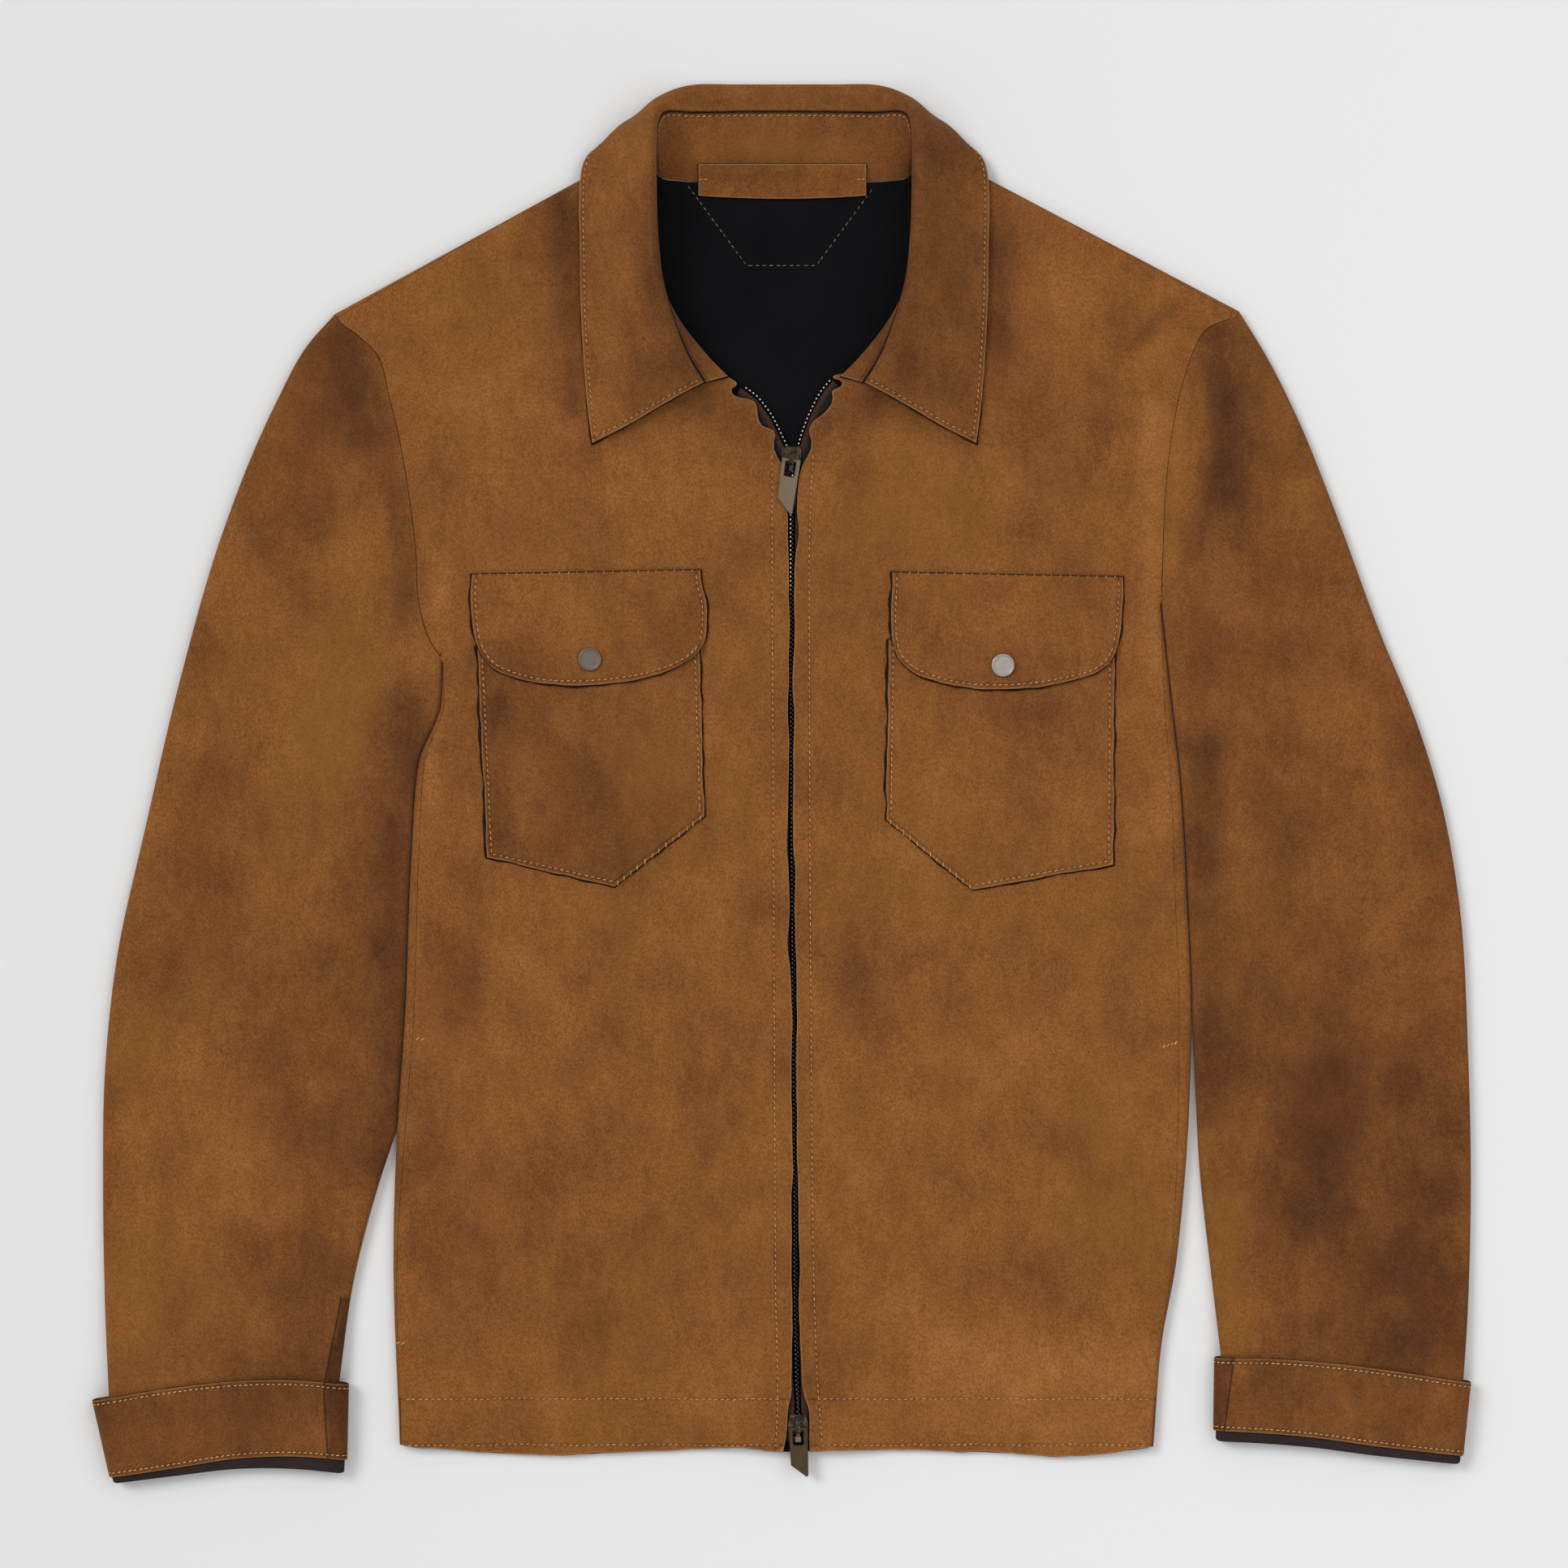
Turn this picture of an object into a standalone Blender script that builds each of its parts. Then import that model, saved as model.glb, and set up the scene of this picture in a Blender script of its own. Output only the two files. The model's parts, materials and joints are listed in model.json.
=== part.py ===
"""A suede overshirt with a two-way zip, laid flat on its back, face up.

Tables and sizes are in millimetres, and MM turns them into metres when a mesh is made.
X runs to the right as seen from above, Y towards the collar, Z up from the surface.
Left and right are those of the view from above.

Each cloth panel starts as its flat cut, a grid between its edges. The cut is then laid:
the back on the surface, the fronts on the back, and what passes an edge goes round a fold.
"""

import math
from collections import namedtuple

import bmesh
import bpy
import numpy as np
from mathutils.bvhtree import BVHTree

MM = 0.001
SIGN = {"left": -1.0, "right": 1.0}

# Walls and gaps
CLOTH = 1.6            # suede with its bonded inner cloth
TRIM = 1.4             # single suede: pockets and flaps
BAND = 1.2             # skived suede of the cuff bands and the label
TAPE = 1.0             # woven tape of the zip
GAP = 0.3              # between pieces at a seam, and under what lies on a panel

# Heights of the upper layer's outer face above the surface
REST_HEIGHT = 4.0      # where a front lies on the back
FOLD_RADIUS = 3.5      # round both sides of the body, and round the sleeves
SHOULDER_RADIUS = 3.2  # round the shoulder line
ARMHOLE_HEIGHT = 4.8   # along the seam between body and sleeve
SLEEVE_HEIGHT = 4.6    # along the middle of a sleeve
ZIP_HEIGHT = 6.8       # beside the zip
ZIP_SHELF = 15.0       # width of a front's edge that lies over the zip tape
SOFTNESS = 20.0        # how far from an edge the upper layer comes down to rest
LEAST_HEIGHT = 3.7
MOST_HEIGHT = 7.15

Point = namedtuple("Point", "x y")

# The body's sides, from the hem to the armpit: its outline, and how far in from it the side
# seam lies on the upper layer.
SideRow = namedtuple("SideRow", "y outline seam_inset")
SIDES = {
    "left": [
        SideRow(-362, -209.5, 0.6), SideRow(-260, -213.0, 2.2), SideRow(-190, -211.0, 4.6),
        SideRow(-127, -206.8, 5.2), SideRow(-40, -203.3, 4.4), SideRow(10, -199.5, 3.6),
        SideRow(45, -186.8, 1.6), SideRow(68.26, -186.0, 0.0),
    ],
    "right": [
        SideRow(-363, 203.2, 0.6), SideRow(-306, 207.8, 0.6), SideRow(-260, 216.0, 3.0),
        SideRow(-127, 224.0, 7.0), SideRow(-60, 221.5, 6.6), SideRow(0, 218.0, 5.6),
        SideRow(54, 212.0, 3.6), SideRow(100.6, 207.0, 0.0),
    ],
}
SIDE_STEPS = 2          # rows of the cut for each row of the table

# The armhole seams, from the armpit to the shoulder line. Each of these points is a corner of
# the body's edge and of the sleeve's.
ARMHOLES = {
    "left": [
        Point(-186, 68), Point(-188, 70.87), Point(-193, 78), Point(-198.6, 97), Point(-200.8, 130),
        Point(-204, 155), Point(-208, 180), Point(-215.5, 213), Point(-222, 235),
        Point(-233.5, 246), Point(-243.5, 254.2), Point(-245, 257),
    ],
    "right": [
        Point(207, 100), Point(207.98, 103.36), Point(210.2, 111), Point(211, 130),
        Point(211.2, 160), Point(213.8, 192), Point(219.5, 220), Point(226, 239),
        Point(231.5, 248.2), Point(241, 253), Point(248.5, 255.7), Point(250, 258.5),
    ],
}
NECK_POINT = {"left": Point(-75.7, 349.5), "right": Point(77.7, 349.35)}
SHOULDER_INSET = 2.4    # of the shoulder seam from the outline at the sleeve, none at the neck

HEM = {
    "left": [
        Point(-209.5, -362), Point(-181, -365), Point(-135, -368), Point(-55, -366), Point(0.4, -366),
    ],
    "right": [
        Point(203.2, -363), Point(167, -368), Point(110, -366.2), Point(69, -365), Point(15, -365.6),
    ],
}

# The fronts' edges beside the zip, closed and then open towards the collar
FrontEdgeRow = namedtuple("FrontEdgeRow", "y centre half_gap")
FRONT_EDGES = [
    FrontEdgeRow(-366, 7.7, 7.3), FrontEdgeRow(-357, 8.6, 6.3), FrontEdgeRow(-344, 8.6, 5.9),
    FrontEdgeRow(-326, 7.9, 2.9), FrontEdgeRow(-283, 7.1, 2.3), FrontEdgeRow(-216, 6.9, 2.3),
    FrontEdgeRow(-82, 5.8, 2.4), FrontEdgeRow(30, 5.0, 2.2), FrontEdgeRow(145, 4.9, 2.3),
    FrontEdgeRow(163, 4.9, 3.2), FrontEdgeRow(173, 4.9, 6.4), FrontEdgeRow(184, 4.9, 7.2),
]
OPEN_EDGES = {
    "left": [Point(-6.5, 193), Point(-13.8, 203.5), Point(-27.5, 216.5)],
    "right": [Point(15.0, 193), Point(22.8, 203), Point(30.5, 217.0)],
}
# The same number of rows as the side's levels, then the armhole's points
FRONT_LEVELS = (-366, -357, -344, -326, -283, -230, -170, -110, -50, 10, 60, 105, 145, 163, 173, 184)

# The collar from the middle of the back to its front edge, one side, X from CENTRE_X.
# neck: the seam to the body; top: the stand's upper edge; crown to edge: the fall, outwards.
CENTRE_X = 1.0
CollarSection = namedtuple("CollarSection", "neck seam_gap top crown bend tuck edge")
COLLAR = [
    CollarSection((0, 329.2, 0.8), 0.7, (0, 367.5, 4.1), (0, 376.5, 4.6), (0, 382.0, 2.7),
                  (0, 374, 0.8), (0, 337, 0.8)),
    CollarSection((26, 329.4, 0.8), 0.7, (26, 367.4, 4.1), (26, 376.5, 4.6), (26, 382.0, 2.7),
                  (27, 374, 0.8), (28, 337, 0.8)),
    CollarSection((46, 330.4, 0.8), 0.7, (49, 367.0, 4.8), (50, 376.3, 5.8), (51, 381.6, 3.2),
                  (53, 373, 0.8), (53, 339, 0.8)),
    CollarSection((58, 333.0, 0.8), 0.8, (61, 364.0, 9.0), (63, 371.5, 11.2), (66.5, 375.2, 5.6),
                  (69, 368, 0.9), (64.5, 347.5, 0.8)),
    CollarSection((66.6, 338.4, 0.9), 1.0, (66.5, 356.5, 16.0), (69, 362.5, 19.0), (79.5, 364.8, 9.5),
                  (85, 361, 2.5), (81, 356.5, 1.0)),
    CollarSection((73.9, 347.6, 3.2), 1.1, (69.7, 346.5, 21.0), (72.5, 350.5, 25.5), (86, 356.0, 17.0),
                  (94.5, 354.6, 8.0), (99, 349.5, 2.8)),
    CollarSection((73.4, 339.0, 5.2), 1.1, (69.9, 335.5, 22.5), (72.2, 337, 27.5), (86, 340.5, 20.5),
                  (99.5, 341.5, 12.0), (109.5, 339.0, 6.5)),
    CollarSection((73.8, 322.0, 4.6), 1.1, (69.8, 320, 22.5), (72, 320, 27.5), (86, 319.5, 20.0),
                  (99.5, 318.8, 12.2), (112, 317.5, 7.8)),
    CollarSection((73.2, 300.0, 3.4), 1.1, (69.2, 300, 21.0), (71, 299.3, 25.8), (84.5, 296.5, 19.0),
                  (98.5, 293.5, 11.6), (111.5, 290.5, 6.8)),
    CollarSection((68.8, 277.0, 3.4), 1.1, (66.8, 276.5, 19.5), (68.2, 275.5, 23.6), (82.5, 270.5, 17.6),
                  (97.5, 265, 11.0), (111, 259.5, 6.2)),
    CollarSection((58.6, 254.5, 5.2), 1.1, (60.6, 253.5, 17.6), (62.6, 252, 21.0), (78, 245, 15.6),
                  (94.5, 237.5, 9.8), (109.5, 231, 5.6)),
    CollarSection((43.5, 235.0, 7.9), 1.1, (52.6, 234, 14.4), (55.4, 232.6, 17.0), (72, 223.5, 12.8),
                  (91, 212.8, 8.2), (107.5, 205.5, 5.4)),
    CollarSection((27.0, 220.8, 8.0), 1.1, (43.4, 219.4, 9.6), (46.8, 217.8, 11.2), (66, 207.5, 9.0),
                  (87, 195.3, 6.8), (105, 186.3, 5.3)),
]
NECK_CORNER = 5         # the table's row at the shoulder fold
COLLAR_STATIONS = (0, 1, 2, 3, 3.5, 4, 4.5, 5, 5.5, 6, 7, 8, 9, 10, 11, 12)
STAND_ROWS = (0.0, 0.14, 0.4, 0.7, 1.0)
STAND_OVER_FALL = 2.85  # least mid height of the stand where the fall lies under it
FALL_STEPS = (2, 2, 2, 4)   # rows from top to crown, to bend, to tuck and to edge

SLEEVE_OUTER = {
    "left": [
        Point(-245, 257), Point(-260, 240), Point(-278, 207), Point(-307, 136), Point(-329, 60),
        Point(-349, -25), Point(-364.5, -96), Point(-371, -158), Point(-372, -220),
        Point(-371, -283), Point(-368.5, -336),
    ],
    "right": [
        Point(250, 258.5), Point(265, 234), Point(283, 198), Point(301, 153.5), Point(327.5, 82),
        Point(347.5, 33), Point(361, -11), Point(370, -60), Point(375.6, -149), Point(377, -229),
        Point(375.2, -290), Point(372.6, -327),
    ],
}
# A sleeve lies beside the body down to a row of the side's table, then turns away from it.
BESIDE_BODY = 1.0
SLEEVE_LEAVES = {"left": 2, "right": 3}
SLEEVE_INNER = {
    "left": [Point(-222, -223), Point(-235, -274), Point(-242.5, -328)],
    "right": [Point(226.2, -170), Point(228.4, -211), Point(234, -262), Point(240, -314)],
}
SLEEVE_INNER_ROWS = {"left": 4, "right": 5}
CUFF_FOLD = {
    "left": [
        Point(-364.5, -381), Point(-332, -377), Point(-297, -373.2), Point(-262, -373.5),
        Point(-241.5, -375.5),
    ],
    "right": [
        Point(369, -370.5), Point(323, -365.8), Point(290, -361.5), Point(262, -359.2),
        Point(239, -358),
    ],
}
CUFF_TOP = {
    "left": [
        Point(-368.5, -336), Point(-335, -330.5), Point(-297, -326.5), Point(-268, -326),
        Point(-242.5, -328),
    ],
    "right": [
        Point(372.6, -327), Point(330, -320.5), Point(300, -316.8), Point(268, -314.5),
        Point(240, -314),
    ],
}
# How far a turned-back end stands off sideways at its top, at the outer and the inner edge
CuffFlare = namedtuple("CuffFlare", "outer inner")
CUFF_FLARES = {"left": CuffFlare(6.0, 2.0), "right": CuffFlare(1.0, 0.4)}
CUFF_RADIUS = 2.7
CUFF_ROWS = 3
CUFF_STACK = GAP + CLOTH + GAP + BAND
BAND_FROM_FOLD = 0.12   # share of the turned-back depth that shows the inner cloth
ARC_POINTS = 5          # round each edge of a sleeve

# Creases of the upper layer: a ridge, or with a height below 0 a trough, from one point to
# another, fading over its width.
Crease = namedtuple("Crease", "x1 y1 x2 y2 width height")
CREASES = [
    Crease(-194, 92, -182, 112, 9, 1.4),
    Crease(-190, 46, -186, 4, 8, 1.2),
    Crease(-222, 150, -232, 60, 16, 1.3),
    Crease(-258, 190, -276, 120, 22, 1.0),
    Crease(-240, -10, -262, -120, 24, 1.2),
    Crease(-318, -60, -300, -170, 26, 0.9),
    Crease(-345, -200, -300, -262, 20, 1.1),
    Crease(-215, 215, -178, 262, 15, 1.1),
    Crease(206, 118, 186, 150, 11, 1.2),
    Crease(222, 170, 236, 60, 16, 1.5),
    Crease(228, 20, 246, -110, 20, 1.3),
    Crease(262, 190, 292, 96, 24, 1.0),
    Crease(320, 10, 306, -120, 26, 1.0),
    Crease(348, -190, 296, -250, 22, 1.1),
    Crease(214, 222, 178, 268, 14, 1.2),
    Crease(-118, -120, -96, -280, 34, 0.6),
    Crease(96, -110, 120, -270, 36, 0.7),
    Crease(-60, 170, -92, 150, 20, 0.6),
    Crease(70, 172, 96, 150, 20, 0.6),
]

# Patch pockets with a pointed bottom, and their flaps: corners, outer ones towards the sleeve
Pocket = namedtuple("Pocket", "top_outer top_inner low_outer low_inner point")
POCKETS = {
    "left": Pocket(Point(-167, 73), Point(-45.4, 69.4), Point(-161.5, -40.5), Point(-42.7, -18),
                   Point(-91.7, -56.5)),
    "right": Pocket(Point(182, 68.1), Point(57.9, 75.7), Point(181.1, -44.5), Point(57, -20),
                    Point(104.1, -58.3)),
}
POCKET_ROWS = 8
Flap = namedtuple("Flap", "top_outer side_outer low_outer round_outer lowest "
                          "round_inner low_inner side_inner top_inner")
FLAPS = {
    "left": Flap(Point(-170.4, 114.8), Point(-169.8, 93), Point(-162.5, 70), Point(-148, 59.6),
                 Point(-112, 54), Point(-75, 58.2), Point(-50, 70), Point(-41.8, 94),
                 Point(-44.3, 117.5)),
    "right": Flap(Point(186.9, 113.5), Point(185.4, 92), Point(177.5, 70), Point(161, 58.6),
                  Point(122, 52.5), Point(86, 57), Point(64.5, 69), Point(57.2, 93),
                  Point(59.2, 115.3)),
}
FLAP_ROWS = 7
FLAP_COLUMNS = 11
POCKET_MARGIN = 1.03    # the flap clears the pocket as if it were this much wider

# The snap caps: radius and height of the turned outline, from the rim's foot to the middle
SNAPS = {"left": Point(-105.2, 67.8), "right": Point(120.6, 64.5)}
SnapRing = namedtuple("SnapRing", "radius height")
SNAP_RINGS = [
    SnapRing(5.7, 0.0), SnapRing(6.2, 0.4), SnapRing(6.2, 1.2), SnapRing(5.8, 1.6),
    SnapRing(5.2, 1.6), SnapRing(4.8, 1.15),
]
SNAP_SIDES = 24

# The zip: its middle line, and how far from it the middle of each row of teeth lies
CHAIN_LEVEL = 4.4
TEETH_WIDTH = 1.7
TEETH_HEIGHT = 2.4
TAPE_WIDTH = 10.5
TeethRow = namedtuple("TeethRow", "y centre spread")
TEETH = [
    TeethRow(-360.5, 8.4, 3.4), TeethRow(-354.5, 8.6, 2.6), TeethRow(-346, 8.6, 1.1),
    TeethRow(-326, 7.9, 1.0), TeethRow(-283, 7.1, 1.0), TeethRow(-216, 6.9, 1.0),
    TeethRow(-82, 5.8, 1.0), TeethRow(30, 5.0, 1.0), TeethRow(145, 4.9, 1.0),
    TeethRow(178, 4.9, 1.1), TeethRow(184.5, 4.9, 3.2), TeethRow(191, 4.9, 5.8),
    TeethRow(204, 4.9, 14.6), TeethRow(217.0, 4.4, 25.0),
]

# Sliders and pull tabs. Ahead is towards the tab's free end. The fork is the end where the two
# rows of teeth part, 1 ahead or -1 behind. The tab leans by an angle in degrees, and ends in a
# slant between its long and its short side.
Slider = namedtuple("Slider", "x y fork lean tab_long tab_short")
SLIDERS = {
    "top": Slider(4.9, 179.4, -1.0, -8.6, 29.8, 21.6),
    "bottom": Slider(8.6, -350.2, 1.0, 1.5, 26.6, 20.0),
}
SLIDER_HALF_WIDTH = 5.3
SLIDER_HALF_LENGTH = 4.7
PLATE_LOW = (2.0, 2.9)
PLATE_HIGH = (5.9, 6.75)
POST_HALF_WIDTH = 0.6
POST_LENGTH = 2.4
BAIL_HALF_WIDTH = 1.2
BAIL_LEVELS = (9.05, 10.0)
BAIL_AHEAD = (3.8, 4.7)
BAIL_BEHIND = (-3.5, -2.6)
HINGE_AHEAD = 2.7
HINGE_HEIGHT = 8.0
TAB_THICKNESS = 1.5
TAB_HALF_WIDTH = 5.2
TAB_END_BAR = 0.75      # half depth of the bar inside the bail
SLOT_HALF_WIDTH = 2.85
SLOT_END = 9.0
TAB_BEVEL = 0.35

# The bare label over the back neck seam
LABEL_HALF_WIDTH = 46.0
LABEL_TOP = 339.0
LABEL_LOW = 321.8
LABEL_SAG = 1.7


# Lines, grids and shells

def smooth(knots, values, where):
    """Read a smooth line through values at their knots.

    A line of numbers has no rise or fall beyond its values. A line of points is free to swing.

    Args:
        knots: rising positions of the known values.
        values: one number or one point for each knot.
        where: positions to read at.

    Returns:
        The values there, one for each position.
    """
    knots = np.asarray(knots, float)
    where = np.atleast_1d(np.asarray(where, float))
    values = np.asarray(values, float)
    flat = values.ndim == 1
    values = values[:, None] if flat else values
    spans = np.diff(knots)[:, None]
    slopes = np.diff(values, axis=0) / spans
    before, after = slopes[:-1], slopes[1:]
    middle = (after * spans[:-1] + before * spans[1:]) / (spans[1:] + spans[:-1])
    if flat:
        steepest = 2 * np.minimum(np.abs(before), np.abs(after))
        middle = np.where(before * after > 0, np.clip(middle, -steepest, steepest), 0.0)
    tangents = np.vstack([slopes[:1], middle, slopes[-1:]])
    i = np.clip(np.searchsorted(knots, where, side="right") - 1, 0, len(spans) - 1)
    span = spans[i]
    t = np.clip((where[:, None] - knots[i][:, None]) / span, 0.0, 1.0)
    read = (
        (2 * t**3 - 3 * t**2 + 1) * values[i] + (t**3 - 2 * t**2 + t) * span * tangents[i]
        + (3 * t**2 - 2 * t**3) * values[i + 1] + (t**3 - t**2) * span * tangents[i + 1]
    )
    return read[:, 0] if flat else read


def lengths_along(points):
    """Work out the length from the first point to each of the others along their line."""
    steps = np.linalg.norm(np.diff(np.asarray(points, float), axis=0), axis=1)
    return np.concatenate([[0.0], np.cumsum(steps)])


def line_through(points, count):
    """Space points evenly along the smooth curve through a few given ones."""
    reach = lengths_along(points)
    fine = smooth(reach, points, np.linspace(0, reach[-1], 300))
    reach = lengths_along(fine)
    return smooth(reach, fine, np.linspace(0, reach[-1], count))


def joined(*stretches):
    """Join stretches that share their end points into one line."""
    return np.vstack([stretches[0]] + [stretch[1:] for stretch in stretches[1:]])


def refined(knots, steps):
    """Split each span of a rising list of numbers into equal steps."""
    places = np.arange((len(knots) - 1) * steps + 1) / steps
    return np.interp(places, np.arange(len(knots)), knots)


def moved_aside(line, distance):
    """Move a plan line to the right of its way, or to the left for a distance below 0.

    Each stretch moves square to itself, and the corners lie where the moved stretches meet.
    """
    along = np.diff(line, axis=0)
    along /= np.linalg.norm(along, axis=1, keepdims=True)
    square = np.stack([along[:, 1], -along[:, 0]], axis=1)
    before = np.vstack([square[:1], square])
    after = np.vstack([square, square[-1:]])
    corner = (before + after) / (1 + np.sum(before * after, axis=1, keepdims=True))
    return line + corner * np.reshape(distance, (-1, 1))


def grid_between(first, last, low, high):
    """Fill four edge lines that meet at their ends with a grid of points.

    Args:
        first: the edge at the first column, from low to high.
        last: the edge at the last column, from low to high.
        low: the edge at the first row, from first to last.
        high: the edge at the last row, from first to last.

    Returns:
        Points as an array of rows by columns by coordinates.
    """
    def shares(a, b):
        return (lengths_along(a) / lengths_along(a)[-1] + lengths_along(b) / lengths_along(b)[-1]) / 2

    v = shares(first, last)[:, None, None]
    u = shares(low, high)[None, :, None]
    across = (1 - u) * first[:, None] + u * last[:, None]
    along = (1 - v) * low[None] + v * high[None]
    corners = (1 - v) * ((1 - u) * first[0] + u * last[0]) + v * ((1 - u) * first[-1] + u * last[-1])
    return across + along - corners


def spaced_columns(grid, near_first, near_last, own=None):
    """Read each row again at set distances from its ends, with even columns between.

    Args:
        grid: points as rows by columns by coordinates.
        near_first: distances of columns from the first column.
        near_last: distances of columns from the last column.
        own: for each row the share in which it keeps the spacing of its own columns.

    Returns:
        The new grid, with as many columns.
    """
    between = grid.shape[1] - len(near_first) - len(near_last)
    own = np.zeros(len(grid)) if own is None else own
    rows = []
    for row, keep in zip(grid, own):
        reach = lengths_along(row)
        even = np.linspace(near_first[-1], reach[-1] - near_last[-1], between + 2)[1:-1]
        places = np.concatenate([near_first, even, reach[-1] - np.array(near_last)[::-1]])
        places = (1 - keep) * places + keep * reach
        rows.append(np.stack([np.interp(places, reach, row[:, axis]) for axis in (0, 1)], axis=1))
    return np.array(rows)


def normals_of(grid):
    """Work out the unit normal at each point of a grid, from its neighbours."""
    normal = np.cross(np.gradient(grid, axis=1), np.gradient(grid, axis=0))
    return normal / np.linalg.norm(normal, axis=2, keepdims=True)


def make_material(name, colour, roughness, metallic=0.0):
    """Make a plain material with a colour, a roughness and a metallic value."""
    material = bpy.data.materials.new(name)
    material.use_nodes = True
    shader = material.node_tree.nodes["Principled BSDF"]
    shader.inputs["Base Color"].default_value = (*colour, 1.0)
    shader.inputs["Roughness"].default_value = roughness
    shader.inputs["Metallic"].default_value = metallic
    material.diffuse_color = (*colour, 1.0)
    return material


def add_object(name, points, faces, material, sharp=35.0):
    """Add one closed piece.

    Args:
        name: the object's name.
        points: its corners, in millimetres.
        faces: corner numbers of each face.
        material: its material.
        sharp: the angle in degrees past which an edge stays sharp.

    Returns:
        The new object.
    """
    mesh = bpy.data.meshes.new(name)
    mesh.from_pydata([tuple(point) for point in np.asarray(points) * MM], [], faces)
    form = bmesh.new()
    form.from_mesh(mesh)
    bmesh.ops.recalc_face_normals(form, faces=form.faces)
    form.to_mesh(mesh)
    form.free()
    mesh.shade_smooth()
    mesh.set_sharp_from_angle(angle=math.radians(sharp))
    mesh.materials.append(material)
    piece = bpy.data.objects.new(name, mesh)
    bpy.context.collection.objects.link(piece)
    return piece


def add_wall(name, outer, inner, material, closed=False):
    """Close two grids of points into one wall.

    Args:
        name: the object's name.
        outer: the wall's outer face, rows by columns.
        inner: its inner face.
        material: its material.
        closed: whether the last column joins the first, as round a tube.

    Returns:
        The new object.
    """
    rows, columns = outer.shape[:2]
    behind = rows * columns
    turns = columns if closed else columns - 1

    def at(row, column):
        return row * columns + column % columns

    faces = []
    for row in range(rows - 1):
        for column in range(turns):
            quad = (at(row, column), at(row, column + 1), at(row + 1, column + 1), at(row + 1, column))
            faces.append(quad)
            faces.append(tuple(corner + behind for corner in reversed(quad)))
    rims = [[at(row, column) for column in range(turns + 1)] for row in (0, rows - 1)]
    if not closed:
        rims += [[at(row, column) for row in range(rows)] for column in (0, columns - 1)]
    for rim in rims:
        faces += [(a, b, b + behind, a + behind) for a, b in zip(rim, rim[1:])]
    points = np.vstack([outer.reshape(-1, 3), inner.reshape(-1, 3)])
    return add_object(name, points, faces, material)


def combine(piece, tool, operation):
    """Join a tool to a piece or cut it out of it, and keep the tool as a hidden guide."""
    tool.hide_render = True
    tool.display_type = "WIRE"
    change = piece.modifiers.new(operation.title(), "BOOLEAN")
    change.operation = operation
    change.object = tool


# Folds and the height of the upper layer

def side_outline(side, y):
    """Read the body's outline at a height, past the armpit the armhole seam."""
    rows = SIDES[side]
    seam = ARMHOLES[side]
    below = smooth([row.y for row in rows], [row.outline for row in rows], y)
    above = np.interp(y, [point.y for point in seam], [point.x for point in seam])
    return np.where(np.asarray(y) > rows[-1].y, above, below)


def shoulder_line(side):
    """Give the shoulder fold's start at the sleeve and its outward direction."""
    start = np.array(ARMHOLES[side][-1], float)
    along = np.array(NECK_POINT[side], float) - start
    outward = np.array([-along[1], along[0]]) / np.linalg.norm(along)
    return start, outward * np.sign(outward[1])


def past_fold(side, plan):
    """Work out how far points lie past the nearest fold of one side of the body.

    Args:
        side: left or right.
        plan: points seen from above.

    Returns:
        The distance outwards, the outward direction and the fold's radius.
    """
    armpit = np.array(ARMHOLES[side][0], float)
    below = plan[..., 1] <= SIDES[side][-1].y + 1e-6
    outline = side_outline(side, np.minimum(plan[..., 1], armpit[1]).ravel()).reshape(plan.shape[:-1])
    beside = SIGN[side] * (plan[..., 0] - outline)
    to_armpit = armpit - plan
    away = np.maximum(np.linalg.norm(to_armpit, axis=-1), 1e-9)
    side_past = np.where(below, beside, -away)
    straight = np.zeros_like(plan)
    straight[..., 0] = SIGN[side]
    side_way = np.where(below[..., None], straight, to_armpit / away[..., None])
    start, outward = shoulder_line(side)
    shoulder_past = (plan - start) @ outward
    on_shoulder = shoulder_past > side_past
    past = np.where(on_shoulder, shoulder_past, side_past)
    way = np.where(on_shoulder[..., None], outward, side_way)
    return past, way, np.where(on_shoulder, SHOULDER_RADIUS, FOLD_RADIUS)


def crease_height(plan):
    """Add up the creases' heights at points seen from above."""
    total = np.zeros(plan.shape[:-1])
    for crease in CREASES:
        start = np.array([crease.x1, crease.y1], float)
        run = np.array([crease.x2, crease.y2], float) - start
        share = np.clip((plan - start) @ run / (run @ run), 0, 1)
        away = np.linalg.norm(plan - start - share[..., None] * run, axis=-1)
        total += crease.height * np.exp(-((away / crease.width) ** 2))
    return total


def falling(distance):
    """Give how much of an edge's height is left at a distance from it."""
    return np.exp(-((np.maximum(distance, 0.0) / SOFTNESS) ** 2))


def draped_height(rest, edges, plan):
    """Work out the height of cloth that rests low and climbs to its edges.

    Args:
        rest: the height away from all edges.
        edges: for each edge its height and the distance from it.
        plan: the points seen from above.

    Returns:
        The outer face's height at each point.
    """
    lift = sum(((height - rest) * falling(distance)) ** 4 for height, distance in edges) ** 0.25
    nearness = np.maximum.reduce([falling(distance) for height, distance in edges])
    creases = crease_height(plan) * np.clip(1.6 * (1 - nearness), 0, 1)
    return np.clip(rest + lift + creases, LEAST_HEIGHT, MOST_HEIGHT)


def front_edge(side, y):
    """Read the X of a front's edge beside the zip, opening towards the collar."""
    opened = OPEN_EDGES[side]
    knots = [row.y for row in FRONT_EDGES] + [point.y for point in opened]
    edge = [row.centre + SIGN[side] * row.half_gap for row in FRONT_EDGES]
    return smooth(knots, edge + [point.x for point in opened], y)


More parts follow.
